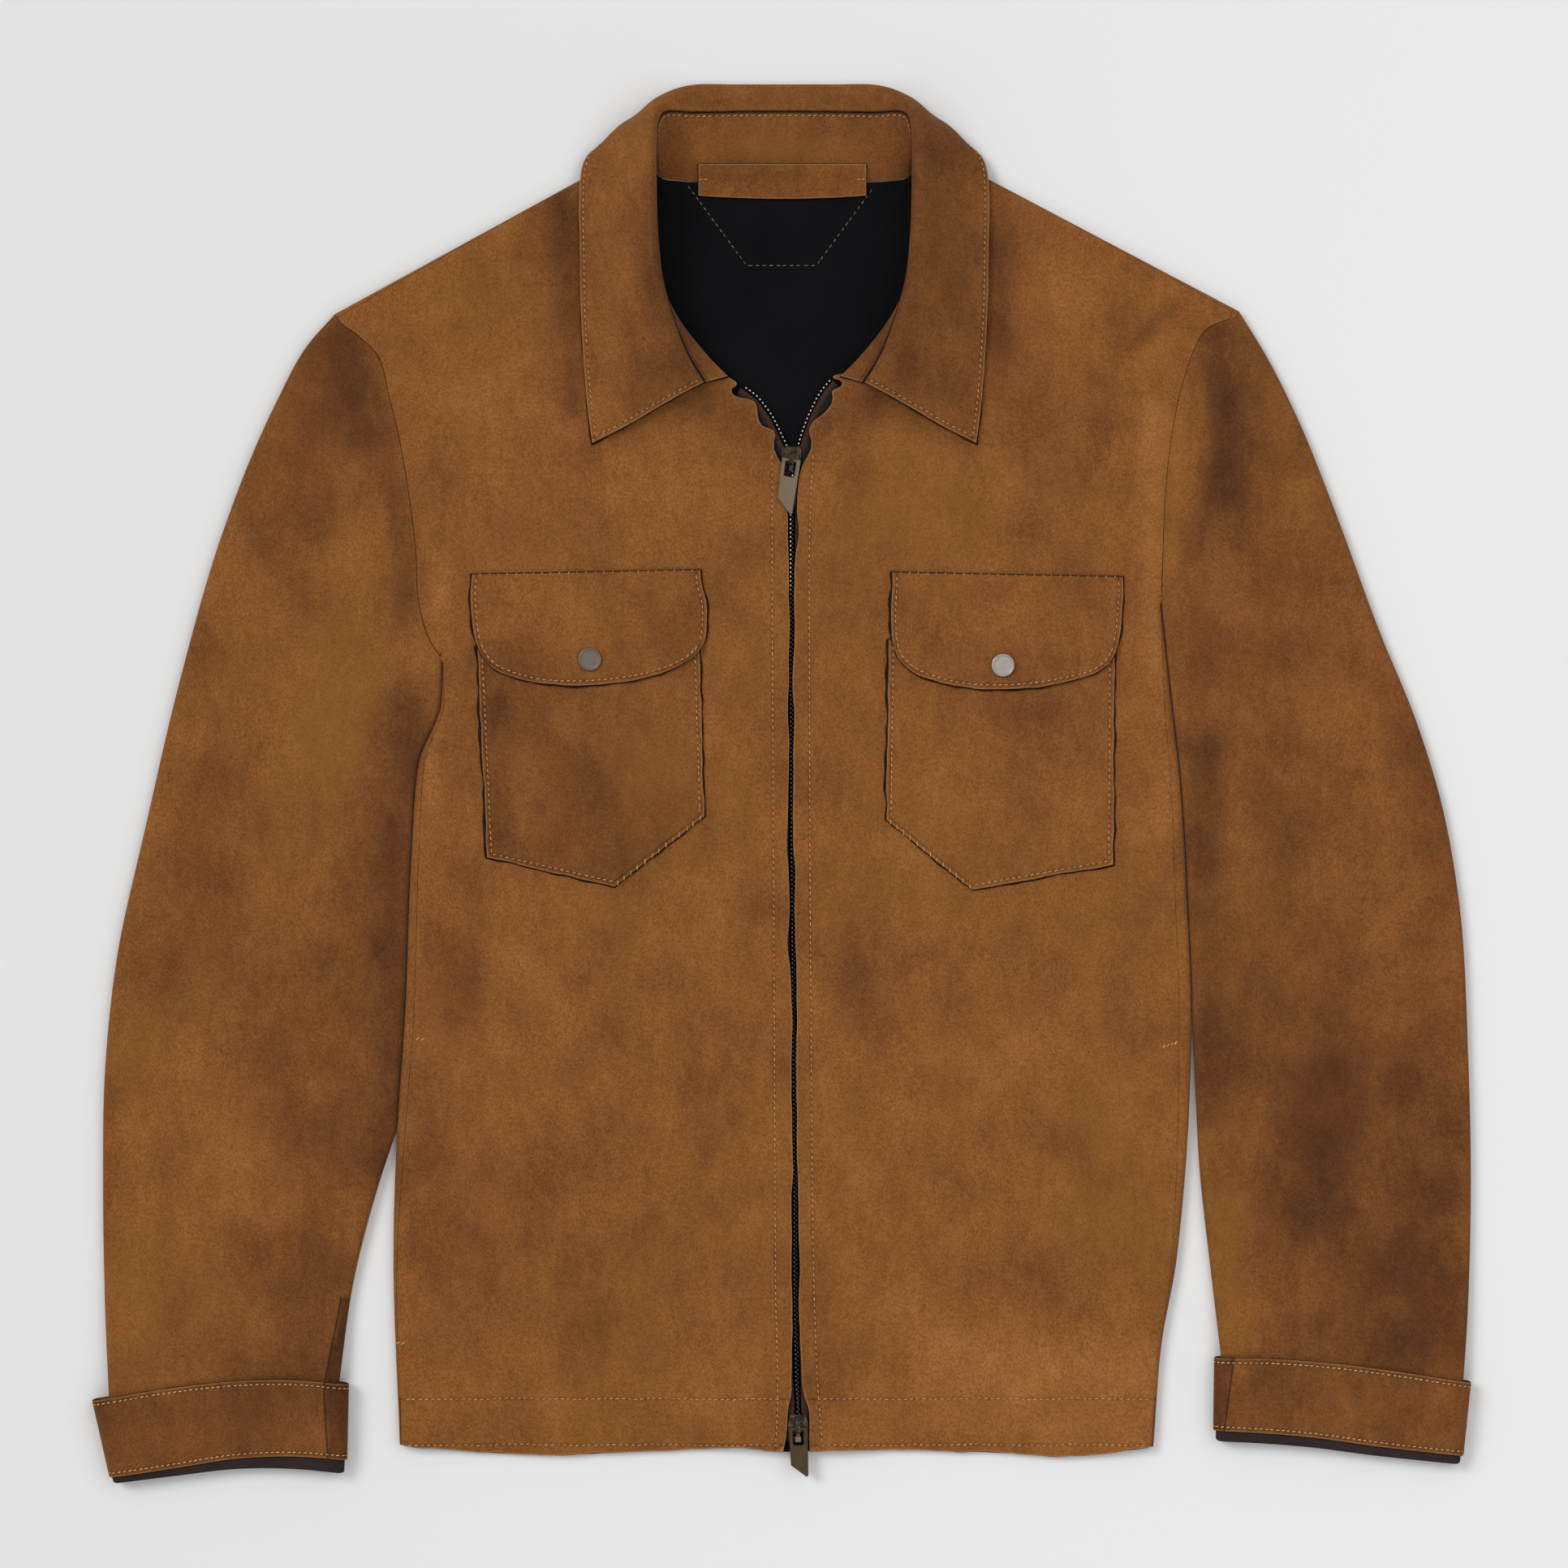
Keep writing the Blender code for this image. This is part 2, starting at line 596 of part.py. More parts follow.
def upper_height(side, plan):
    """Work out the height of a front's outer face at points inside the outline."""
    y = plan[..., 1].ravel()
    boundary = side_outline(side, y).reshape(plan.shape[:-1])
    from_side = SIGN[side] * (boundary - plan[..., 0]) - FOLD_RADIUS
    above = np.clip((plan[..., 1] - SIDES[side][-1].y + 6) / 24, 0, 1)
    side_height = 2 * FOLD_RADIUS + (ARMHOLE_HEIGHT - 2 * FOLD_RADIUS) * above**2 * (3 - 2 * above)
    start, outward = shoulder_line(side)
    from_shoulder = -(plan - start) @ outward - SHOULDER_RADIUS
    from_zip = SIGN[side] * (plan[..., 0] - front_edge(side, y).reshape(plan.shape[:-1])) - ZIP_SHELF
    edges = [(side_height, from_side), (2 * SHOULDER_RADIUS, from_shoulder), (ZIP_HEIGHT, from_zip)]
    return draped_height(REST_HEIGHT, edges, plan)


def body_top(side, plan):
    """Work out the height of the body's top at points seen from above, 0 beside it."""
    past, _, radius = past_fold(side, plan)
    inside = np.clip(past + radius, 0, radius)
    rounded = radius + np.sqrt(radius**2 - inside**2)
    return np.where(past > 0, 0.0, np.where(past > -radius, rounded, upper_height(side, plan)))


def laid(side, cut, depth, upper):
    """Lay points of a flat cut down, and round the folds where they pass them.

    Args:
        side: left or right.
        cut: the flat cut's points.
        depth: how far inside the outer face the points lie.
        upper: whether the cut starts on the upper layer.

    Returns:
        The points in space.
    """
    past, way, radius = past_fold(side, cut)
    turned = np.clip(past + radius, 0, math.pi * radius) / radius
    beyond = np.maximum(past + radius - math.pi * radius, 0.0)
    on_fold = past > -radius
    shift = np.where(on_fold, -radius + (radius - depth) * np.sin(turned) - beyond - past, 0.0)
    plan = cut + way * shift[..., None]
    arc = (radius - depth) * np.cos(turned)
    height = upper_height(side, plan) - depth
    if upper:
        z = np.where(on_fold, radius + arc, height)
    else:
        z = np.where(on_fold, np.where(beyond > 0, height, radius - arc), depth)
    return np.concatenate([plan, z[..., None]], axis=-1)


def seam_past(inset, radius, upper):
    """Turn a seam's inset from the outline into the cut's distance past the fold."""
    around = np.arcsin(np.clip(1 - inset / radius, 0, 1)) * radius
    straight = np.maximum(inset - radius, 0.0)
    if upper:
        return -radius + around - straight - GAP / 2
    return -radius + math.pi * radius - around + straight - GAP / 2


# Body

def side_edge(side, upper):
    """Make the cut's edge from the hem up the side seam to the armpit."""
    table = SIDES[side]
    knots = [row.y for row in table]
    y = refined(knots, SIDE_STEPS)
    outline = smooth(knots, [row.outline for row in table], y)
    inset = smooth(knots, [row.seam_inset for row in table], y)
    return np.stack([outline + SIGN[side] * seam_past(inset, FOLD_RADIUS, upper), y], axis=1)


def armhole_edge(side, towards):
    """Make the line beside the armhole seam, from the armpit up to the shoulder fold.

    Args:
        side: left or right.
        towards: 1 for the sleeve's edge, -1 for the body's.

    Returns:
        The line's points.
    """
    return moved_aside(np.array(ARMHOLES[side], float), SIGN[side] * towards * GAP / 2)


def neck_edge(side, stations, towards):
    """Make the body's edge along the neck seam.

    Args:
        side: left or right.
        stations: places in the collar's table, in the order of the line.
        towards: 1 where the body lies to the right of the line on the right side, or -1.

    Returns:
        The line's points.
    """
    line = collar_line("neck", SIGN[side] * np.array(stations))[:, :2]
    gaps = smooth(range(len(COLLAR)), [row.seam_gap for row in COLLAR], stations)
    return moved_aside(line, towards * SIGN[side] * gaps)


def beside_shoulder(side, point, past):
    """Move a point square to the shoulder fold until it lies a distance past it."""
    start, outward = shoulder_line(side)
    return point + outward * (past - (point - start) @ outward)


FRONT_NEAR_SIDE = (0.0, 2.75, 5.5, 9.0, 16.0)
FRONT_NEAR_ZIP = (0.0, 15.0, 28.0)
FRONT_COLUMNS = 12
BACK_NEAR_SIDE = (0.0, 2.75, 5.5, 8.25, 11.0, 16.0)
SHOULDER_COLUMNS = 6
WRAP_ROWS = 5
NECK_STRIP = 4.0


def front_cut(side):
    """Make a front's flat cut, rows from hem to shoulder, columns from the side to the zip."""
    armhole = armhole_edge(side, -1)
    armhole[-1] = beside_shoulder(side, armhole[-2], seam_past(SHOULDER_INSET, SHOULDER_RADIUS, True))
    outer = joined(side_edge(side, True), armhole)
    closed = np.stack([front_edge(side, FRONT_LEVELS), FRONT_LEVELS], axis=1)
    stations = [place for place in COLLAR_STATIONS if place >= NECK_CORNER and place != NECK_CORNER + 0.5]
    neck = neck_edge(side, stations, -1)[::-1]
    neck[-1] = beside_shoulder(side, np.array(NECK_POINT[side], float), seam_past(0.0, SHOULDER_RADIUS, True))
    inner = np.vstack([closed, np.array(OPEN_EDGES[side], float), neck[1:]])
    shoulder = np.linspace(outer[-1], inner[-1], FRONT_COLUMNS)
    hem = line_through(HEM[side], FRONT_COLUMNS)
    hem[0], hem[-1] = outer[0], inner[0]
    return spaced_columns(grid_between(outer, inner, hem, shoulder), FRONT_NEAR_SIDE, FRONT_NEAR_ZIP)


def back_cut():
    """Make the back's flat cut, with what goes round the sides and over the shoulders."""
    at_sleeve = seam_past(SHOULDER_INSET, SHOULDER_RADIUS, False)
    at_neck = seam_past(0.0, SHOULDER_RADIUS, False)
    edges, tops, seams, hems = {}, {}, {}, {}
    for side in SIGN:
        armhole = armhole_edge(side, -1)[:-1]
        edges[side] = joined(side_edge(side, False), armhole)
        neck = neck_edge(side, [place for place in COLLAR_STATIONS if place <= NECK_CORNER], 1)[::-1]
        foot = neck - np.array([0.0, NECK_STRIP])
        foot[0] = beside_shoulder(side, np.array(NECK_POINT[side], float), -SHOULDER_RADIUS)
        neck[0] = beside_shoulder(side, np.array(NECK_POINT[side], float), at_neck)
        shoulder_foot = np.linspace(armhole[-1], foot[0], SHOULDER_COLUMNS)
        shoulder = np.linspace(beside_shoulder(side, armhole[-1], at_sleeve), neck[0], SHOULDER_COLUMNS)
        tops[side] = joined(shoulder_foot, foot)
        seams[side] = joined(shoulder, neck)
        hems[side] = np.vstack([edges[side][:1], HEM[side][1:]])
    top = joined(tops["left"], tops["right"][::-1])
    seam = joined(seams["left"], seams["right"][::-1])
    low = line_through(np.vstack([hems["left"], hems["right"][::-1]]), len(top))
    low[0], low[-1] = edges["left"][0], edges["right"][0]
    cut = grid_between(edges["left"], edges["right"], low, top)
    own = np.clip((np.arange(len(cut)) - len(cut) + len(ARMHOLES["left"])) / (len(ARMHOLES["left"]) - 1), 0, 1)
    cut = spaced_columns(cut, BACK_NEAR_SIDE, BACK_NEAR_SIDE, own)
    share = np.linspace(0, 1, WRAP_ROWS)[1:, None, None]
    return np.concatenate([cut, (1 - share) * top[None] + share * seam[None]])


def add_body(suede):
    """Add the back and both fronts, and return their outer faces by name."""
    cut = back_cut()
    half = cut.shape[1] // 2
    faces = []
    for depth in (0.0, CLOTH):
        left = laid("left", cut[:, :half], depth, False)
        right = laid("right", cut[:, half:], depth, False)
        faces.append(np.concatenate([left, right], axis=1))
    add_wall("back", faces[0], faces[1], suede)
    outer = {"back": faces[0]}
    for side in SIGN:
        cut = front_cut(side)
        outer[side] = laid(side, cut, 0.0, True)
        add_wall(f"front_{side}", outer[side], laid(side, cut, CLOTH, True), suede)
    return outer


def tree_of(*grids):
    """Make a search tree of the faces of some grids."""
    points, faces = [], []
    for grid in grids:
        rows, columns = grid.shape[:2]
        corner = len(points) + np.arange(rows * columns).reshape(rows, columns)
        quads = np.stack([corner[:-1, :-1], corner[:-1, 1:], corner[1:, 1:], corner[1:, :-1]], axis=-1)
        points += [tuple(point) for point in grid.reshape(-1, 3)]
        faces += quads.reshape(-1, 4).tolist()
    return BVHTree.FromPolygons(points, faces)


def top_at(tree, plan):
    """Read the height of the faces in a tree at points seen from above, 0 beside them."""
    heights = []
    for x, y in plan.reshape(-1, 2):
        spot = tree.ray_cast((x, y, 100.0), (0.0, 0.0, -1.0))[0]
        heights.append(0.0 if spot is None else spot.z)
    return np.array(heights).reshape(plan.shape[:-1])


def resting_height(tree, plan):
    """Work out the least heights at a grid's points that keep all its faces above a tree's.

    Args:
        tree: a search tree of the faces below.
        plan: the grid's points seen from above.

    Returns:
        The height at each point.
    """
    height = top_at(tree, plan)
    shares = np.linspace(0, 1, 9)
    v, u = np.meshgrid(shares, shares, indexing="ij")
    weights = [(1 - v) * (1 - u), (1 - v) * u, v * u, v * (1 - u)]
    for row in range(height.shape[0] - 1):
        for column in range(height.shape[1] - 1):
            corners = [(row, column), (row, column + 1), (row + 1, column + 1), (row + 1, column)]
            spots = sum(w[..., None] * plan[corner] for w, corner in zip(weights, corners))
            spanned = sum(w * height[corner] for w, corner in zip(weights, corners))
            short = max(0.0, (top_at(tree, spots) - spanned).max())
            for corner in corners:
                height[corner] += short
    return height


# Sleeves

def sleeve_plan(side):
    """Make a sleeve's plan, rows from the armhole to the cuff's fold, outer edge first."""
    table = SIDES[side][SLEEVE_LEAVES[side]:]
    levels = refined([row.y for row in table], SIDE_STEPS)[::-1]
    beside = side_outline(side, levels) + SIGN[side] * BESIDE_BODY
    beside_line = np.stack([beside, levels], axis=1)
    leaving = np.vstack([beside_line[-1:], np.array(SLEEVE_INNER[side], float)])
    inner = joined(beside_line, line_through(leaving, SLEEVE_INNER_ROWS[side]))
    outer = line_through(SLEEVE_OUTER[side], len(inner))
    armhole = armhole_edge(side, 1)[::-1]
    count = len(armhole)
    top = line_through(CUFF_TOP[side], count)
    fold = line_through(CUFF_FOLD[side], count)
    outer[0], inner[0] = armhole[0], armhole[-1]
    upper = grid_between(outer, inner, armhole, top)
    share = np.linspace(0, 1, CUFF_ROWS + 1)[1:, None, None]
    return np.concatenate([upper, (1 - share) * top[None] + share * fold[None]])


def sleeve_ring(side, plan, row, beyond, offset, flare):
    """Place one ring of points round a sleeve.

    Args:
        side: left or right.
        plan: the sleeve's plan.
        row: the plan's row, or a place between two rows.
        beyond: how far past that row, along the sleeve.
        offset: how far outside the sleeve's outer face.
        flare: the share of the cuff's sideways flare.

    Returns:
        The ring's points, from under the outer edge over the top and back underneath.
    """
    low = min(int(row), len(plan) - 2)
    line = plan[low] + (row - low) * (plan[low + 1] - plan[low])
    way = plan[low + 1] - plan[low]
    way /= np.linalg.norm(way, axis=1, keepdims=True)
    line = line + beyond * way
    reach = lengths_along(line)
    width = reach[-1]
    cuff_row = len(plan) - 1 - CUFF_ROWS
    near_cuff = np.clip((row - cuff_row + 2) / 2, 0, 1)
    near_cuff = near_cuff**2 * (3 - 2 * near_cuff)
    past_shoulder = np.clip(row / 3, 0, 1)
    at_fold = FOLD_RADIUS + (CUFF_RADIUS - FOLD_RADIUS) * near_cuff
    radius_out = at_fold + (SHOULDER_RADIUS - FOLD_RADIUS) * (1 - past_shoulder)
    radius_in = at_fold
    lift = CUFF_STACK * near_cuff
    flares = CUFF_FLARES[side]
    turn = np.linspace(-math.pi / 2, math.pi / 2, ARC_POINTS)
    armhole = lengths_along(plan[0])
    shares = (armhole[2:-2] - SHOULDER_RADIUS) / (armhole[-1] - SHOULDER_RADIUS - FOLD_RADIUS)
    first = radius_out - flare * flares.outer
    last = width - radius_in + flare * flares.inner
    middle = first + (last - first) * shares
    across = np.concatenate([
        first - (radius_out + offset) * np.cos(turn), middle,
        last + (radius_in + offset) * np.cos(turn[::-1]), middle[::-1],
    ])
    inside = np.clip(across, 0, width)
    points = np.stack([np.interp(inside, reach, line[:, axis]) for axis in (0, 1)], axis=1)
    first_way = (line[1] - line[0]) / np.linalg.norm(line[1] - line[0])
    last_way = (line[-1] - line[-2]) / np.linalg.norm(line[-1] - line[-2])
    points += np.minimum(across, 0)[:, None] * first_way
    points += np.maximum(across - width, 0)[:, None] * last_way
    over = slice(ARC_POINTS, ARC_POINTS + len(middle))
    from_armhole = np.full(len(middle), row * 30.0)
    edges = [
        (2 * radius_out, middle - first), (2 * radius_in, last - middle),
        (ARMHOLE_HEIGHT, from_armhole),
    ]
    z = np.concatenate([
        radius_out + (radius_out + offset) * np.sin(turn),
        draped_height(SLEEVE_HEIGHT, edges, points[over]) + offset,
        radius_in + (radius_in + offset) * np.sin(turn[::-1]), np.full(len(middle), -offset),
    ])
    return np.concatenate([points, (z + lift)[:, None]], axis=1)


def add_sleeve(side, suede, band_suede):
    """Add a sleeve with its end turned back, and the band on the turned-back end."""
    plan = sleeve_plan(side)
    last = len(plan) - 1
    top = last - CUFF_ROWS
    bend = np.radians([45.0, 90.0, 135.0])
    back = np.linspace(last, top, CUFF_ROWS + 1)
    faces = []
    for start, end in ((0.0, GAP), (-CLOTH, GAP + CLOTH)):
        radius = (end - start) / 2
        rings = [sleeve_ring(side, plan, row, 0.0, start, 0.0) for row in range(last + 1)]
        rings += [
            sleeve_ring(side, plan, last, radius * math.sin(angle), GAP / 2 - radius * math.cos(angle), 0.0)
            for angle in bend
        ]
        rings += [sleeve_ring(side, plan, row, 0.0, end, (last - row) / CUFF_ROWS) for row in back]
        faces.append(np.array(rings))
    add_wall(f"sleeve_{side}", faces[0], faces[1], suede, closed=True)
    rows = np.linspace(last - BAND_FROM_FOLD * CUFF_ROWS, top, CUFF_ROWS + 1)
    band = [
        np.array([sleeve_ring(side, plan, row, 0.0, offset, (last - row) / CUFF_ROWS) for row in rows])
        for offset in (CUFF_STACK, CUFF_STACK - BAND)
    ]
    add_wall(f"cuff_band_{side}", band[0], band[1], band_suede, closed=True)


# Collar

def collar_line(name, stations):
    """Read one line of the collar's table at stations from the left front edge to the right."""
    values = [getattr(row, name) for row in COLLAR]
    line = smooth(range(len(COLLAR)), values, np.abs(stations))
    line[:, 0] = CENTRE_X + np.sign(stations) * line[:, 0]
    return line


def add_collar(body, suede):
    """Add the stand and the fall.

    Args:
        body: a search tree of the body's outer faces.
        suede: the material.

    Returns:
        The stand's mid surface.
    """
    half = np.array(COLLAR_STATIONS, float)
    stations = np.concatenate([-half[:0:-1], half])
    routes = np.stack([collar_line(name, stations) for name in CollarSection._fields if name != "seam_gap"])
    shares = np.array(STAND_ROWS)[:, None, None]
    stand = (1 - shares) * routes[0] + shares * routes[1]
    stand[1:, :, 2] = np.maximum(stand[1:, :, 2], STAND_OVER_FALL)
    places = np.concatenate([[0]] + [part + np.arange(1, steps + 1) / steps for part, steps in enumerate(FALL_STEPS)])
    columns = []
    for column in range(len(stations)):
        knots = lengths_along(routes[1:, column])
        where = np.interp(places, range(len(knots)), knots)
        columns.append(smooth(knots, routes[1:, column], where))
    fall = np.stack(columns, axis=1)
    on_body = np.abs(stations) > NECK_CORNER
    for grid in (stand[2:], fall[2:]):
        least = np.where(on_body, top_at(body, grid[..., :2]) + GAP, 0.0) + CLOTH / 2
        grid[..., 2] = np.maximum(grid[..., 2], least)
    seam = len(stand) - 1
    normal = normals_of(np.concatenate([stand, fall[1:]])) * CLOTH / 2
    step = fall[1] - fall[0]
    fall[0] += step * GAP / np.linalg.norm(step, axis=-1, keepdims=True)
    add_wall("collar_stand", stand + normal[:seam + 1], stand - normal[:seam + 1], suede)
    add_wall("collar_fall", fall + normal[seam:], fall - normal[seam:], suede)
    return stand


def add_label(stand, suede):
    """Add the bare label that lies over the back neck seam."""
    rows, columns = 5, 11
    share = np.linspace(-1, 1, columns)
    middle = stand.shape[1] // 2
    profile = stand[:, middle]
    levels = []
    for v in np.linspace(0, 1, rows):
        low = LABEL_LOW - LABEL_SAG * (1 - share**2)
        y = low + (LABEL_TOP - low) * v
        ground = np.interp(y, profile[:, 1], profile[:, 2]) + CLOTH / 2
        ground = np.maximum(np.where(y < profile[0, 1], CLOTH, ground), CLOTH)
        levels.append(np.stack([CENTRE_X - 1.0 + LABEL_HALF_WIDTH * share, y, ground + 2 * GAP], axis=1))
    lower = np.array(levels)
    upper = lower + np.array([0.0, 0.0, BAND])
    add_wall("neck_label", upper, lower, suede)


# Pockets

def add_patch(name, below, plan, suede):
    """Add a piece of single suede that lies on others.

    Args:
        name: the object's name.
        below: a search tree of the faces it lies on.
        plan: its points seen from above.
        suede: the material.

    Returns:
        The piece's upper face.
    """
    lower = resting_height(below, plan) + GAP
    faces = [np.concatenate([plan, (lower + thick)[..., None]], axis=-1) for thick in (TRIM, 0.0)]
    add_wall(name, faces[0], faces[1], suede)
    return faces[0]


def add_pocket(side, front, suede):
    """Add a patch pocket on a front's outer face, and return its upper face."""
    corners = Pocket(*[np.array(corner, float) for corner in POCKETS[side]])
    outer = np.linspace(corners.low_outer, corners.top_outer, POCKET_ROWS)
    inner = np.linspace(corners.low_inner, corners.top_inner, POCKET_ROWS)
    low = joined(np.linspace(corners.low_outer, corners.point, 5), np.linspace(corners.point, corners.low_inner, 5))
    top = np.linspace(corners.top_outer, corners.top_inner, len(low))
    plan = grid_between(outer, inner, low, top)
    return add_patch(f"pocket_{side}", tree_of(front), plan, suede)


def add_flap(side, front, pocket, suede):
    """Add a flap over a front's and a pocket's outer faces, and return its upper face."""
    flap = Flap(*[np.array(corner, float) for corner in FLAPS[side]])
    outer = line_through([flap.low_outer, flap.side_outer, flap.top_outer], FLAP_ROWS)
    inner = line_through([flap.low_inner, flap.side_inner, flap.top_inner], FLAP_ROWS)
    bottom = [flap.low_outer, flap.round_outer, flap.lowest, flap.round_inner, flap.low_inner]
    low = line_through(bottom, FLAP_COLUMNS)
    top = np.linspace(flap.top_outer, flap.top_inner, FLAP_COLUMNS)
    plan = grid_between(outer, inner, low, top)
    middle = pocket.mean(axis=(0, 1)) * np.array([1.0, 1.0, 0.0])
    spread = (pocket - middle) * np.array([POCKET_MARGIN, POCKET_MARGIN, 1.0]) + middle
    return add_patch(f"flap_{side}", tree_of(front, spread), plan, suede)


def add_snap(side, flap, metal):
    """Add the turned cap of a snap on a flap's upper face."""
    middle = np.array(SNAPS[side], float)
    angle = np.arange(SNAP_SIDES) * 2 * math.pi / SNAP_SIDES
    circle = np.stack([np.cos(angle), np.sin(angle)], axis=1)
    footprint = middle + SNAP_RINGS[1].radius * circle
    foot = top_at(tree_of(flap), footprint).max() + GAP
    rings = [
        np.concatenate([middle + ring.radius * circle, np.full((SNAP_SIDES, 1), foot + ring.height)], axis=1)
        for ring in SNAP_RINGS
    ]
    count = SNAP_SIDES
    faces = [tuple(range(count)), tuple(range(len(rings) * count - 1, (len(rings) - 1) * count - 1, -1))]
    for ring in range(len(rings) - 1):
        base = ring * count
        for a in range(count):
            b = (a + 1) % count
            faces.append((base + a, base + b, base + count + b, base + count + a))
    add_object(f"snap_{side}", np.vstack(rings), faces, metal)


# Zip

def add_strip(name, side, near, far, levels, material):
    """Add a strip along one row of teeth.

    Args:
        name: the object's name.
        side: left or right.
        near: its near edge's distance from the middle of the row of teeth, outwards.
        far: its far edge's distance.
        levels: its lower and upper height.
        material: its material.
    """
    line = np.array([(row.centre + SIGN[side] * row.spread, row.y) for row in TEETH])
    edges = [moved_aside(line, SIGN[side] * distance) for distance in (near, far)]
    faces = []
    for level in levels:
        flat = np.stack(edges, axis=1)
        faces.append(np.concatenate([flat, np.full(flat.shape[:2] + (1,), level)], axis=2))
    add_wall(name, faces[1], faces[0], material)


def add_zip_row(side, tape, brass):
    """Add one tape of the zip and its row of teeth."""
    half = TEETH_WIDTH / 2
    teeth = (CHAIN_LEVEL - TEETH_HEIGHT / 2, CHAIN_LEVEL + TEETH_HEIGHT / 2)
    woven = (CHAIN_LEVEL - TAPE / 2, CHAIN_LEVEL + TAPE / 2)
    add_strip(f"zip_chain_{side}", side, -half, half, teeth, brass)
    add_strip(f"zip_tape_{side}", side, half + GAP, half + GAP + TAPE_WIDTH, woven, tape)


def rectangle(half_width, start, end):
    """Give a rectangle's corners as across and ahead."""
    return [(-half_width, start), (half_width, start), (half_width, end), (-half_width, end)]


def add_metal_plate(name, outline, levels, place, material):
    """Add a plate that lies at a slider or a hinge.

    Args:
        name: the object's name.
        outline: its corners as across and ahead of its place.
        levels: its lower and upper height over its place.
        place: the X, Y and Z of its origin, and its lean in degrees.
        material: its material.

    Returns:
        The new object.
    """
    count = len(outline)
    points = [(across, -ahead, z) for z in levels for across, ahead in outline]
    faces = [tuple(range(count)), tuple(range(2 * count - 1, count - 1, -1))]
    faces += [(a, (a + 1) % count, (a + 1) % count + count, a + count) for a in range(count)]
    plate = add_object(name, points, faces, material)
    plate.location = [value * MM for value in place[:3]]
    plate.rotation_euler.z = math.radians(place[3])
    return plate


def add_slider(place, brass):
    """Add a slider: two plates joined by a post, and the bail that carries the tab."""
    slider = SLIDERS[place]
    w, h = SLIDER_HALF_WIDTH, SLIDER_HALF_LENGTH
    plan = [(-w + 1, -h), (w - 1, -h), (w, 1 - h), (w, 0.5), (w - 1.2, h), (1.2 - w, h), (-w, 0.5), (-w, 1 - h)]
    plan = [(across, ahead * -slider.fork) for across, ahead in plan]
    where = (slider.x, slider.y, 0.0, 0.0)
    body = add_metal_plate(f"zip_slider_{place}", plan, PLATE_HIGH, where, brass)
    fork = sorted((slider.fork * h, slider.fork * (h - POST_LENGTH)))
    leg = (PLATE_HIGH[0] + 0.2, BAIL_LEVELS[1] - 0.2)
    bridge = rectangle(BAIL_HALF_WIDTH + 0.01, BAIL_BEHIND[0] - 0.01, BAIL_AHEAD[1] + 0.01)
    additions = [
        (plan, PLATE_LOW),
        (rectangle(POST_HALF_WIDTH, *fork), (PLATE_LOW[0] + 0.2, PLATE_HIGH[1] - 0.2)),
        (rectangle(BAIL_HALF_WIDTH, *BAIL_AHEAD), leg),
        (rectangle(BAIL_HALF_WIDTH, *BAIL_BEHIND), leg),
        (bridge, BAIL_LEVELS),
    ]
    for number, (outline, levels) in enumerate(additions):
        combine(body, add_metal_plate(f"slider_guide_{place}_{number}", outline, levels, where, brass), "UNION")


def add_tab(place, metal):
    """Add a pull tab with its origin on the axis of the bar that hangs in the bail."""
    slider = SLIDERS[place]
    w = TAB_HALF_WIDTH
    where = (slider.x, slider.y - HINGE_AHEAD, HINGE_HEIGHT, slider.lean)
    outline = [(-w, -TAB_END_BAR), (w, -TAB_END_BAR), (w * 0.96, slider.tab_long - 1.0),
               (w * 0.8, slider.tab_long), (-w * 0.85, slider.tab_short)]
    levels = (-TAB_THICKNESS / 2, TAB_THICKNESS / 2)
    tab = add_metal_plate(f"pull_tab_{place}", outline, levels, where, metal)
    slot = rectangle(SLOT_HALF_WIDTH, TAB_END_BAR, SLOT_END)
    cutter = add_metal_plate(f"slot_guide_{place}", slot, (levels[0] - 1, levels[1] + 1), where, metal)
    combine(tab, cutter, "DIFFERENCE")
    rounding = tab.modifiers.new("Rounding", "BEVEL")
    rounding.width = TAB_BEVEL * MM
    rounding.segments = 1
    rounding.limit_method = "ANGLE"


def main():
    """Build the overshirt."""
    for old in list(bpy.data.objects):
        bpy.data.objects.remove(old, do_unlink=True)
    suede = make_material("suede", (0.225, 0.082, 0.018), 0.92)
    band_suede = make_material("band_suede", (0.21, 0.085, 0.02), 0.92)
    tape = make_material("zip_tape", (0.012, 0.011, 0.012), 0.85)
    brass = make_material("antique_brass", (0.30, 0.20, 0.09), 0.38, 1.0)
    metal = make_material("brushed_metal", (0.42, 0.36, 0.28), 0.35, 1.0)
    cap = make_material("snap_metal", (0.55, 0.53, 0.50), 0.40, 1.0)
    outer = add_body(suede)
    for side in SIGN:
        add_sleeve(side, suede, band_suede)
        pocket = add_pocket(side, outer[side], suede)
        flap = add_flap(side, outer[side], pocket, suede)
        add_snap(side, flap, cap)
        add_zip_row(side, tape, brass)
    stand = add_collar(tree_of(*outer.values()), suede)
    add_label(stand, suede)
    for place in SLIDERS:
        add_slider(place, brass)
        add_tab(place, metal)


main()
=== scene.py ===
"""A suede overshirt with a two-way zip, laid flat on its back, dressed around its CAD frame.

Tables and sizes are in millimetres, and MM turns them into metres when a mesh is made.
X runs to the right as seen from above, Y towards the collar, Z up from the surface.
Each cloth panel starts as its flat cut, which is then laid down and round the folds.
"""

from __future__ import annotations

import json
import logging
import math
from collections.abc import Callable
from dataclasses import dataclass, field, replace
from enum import Enum
from typing import Union

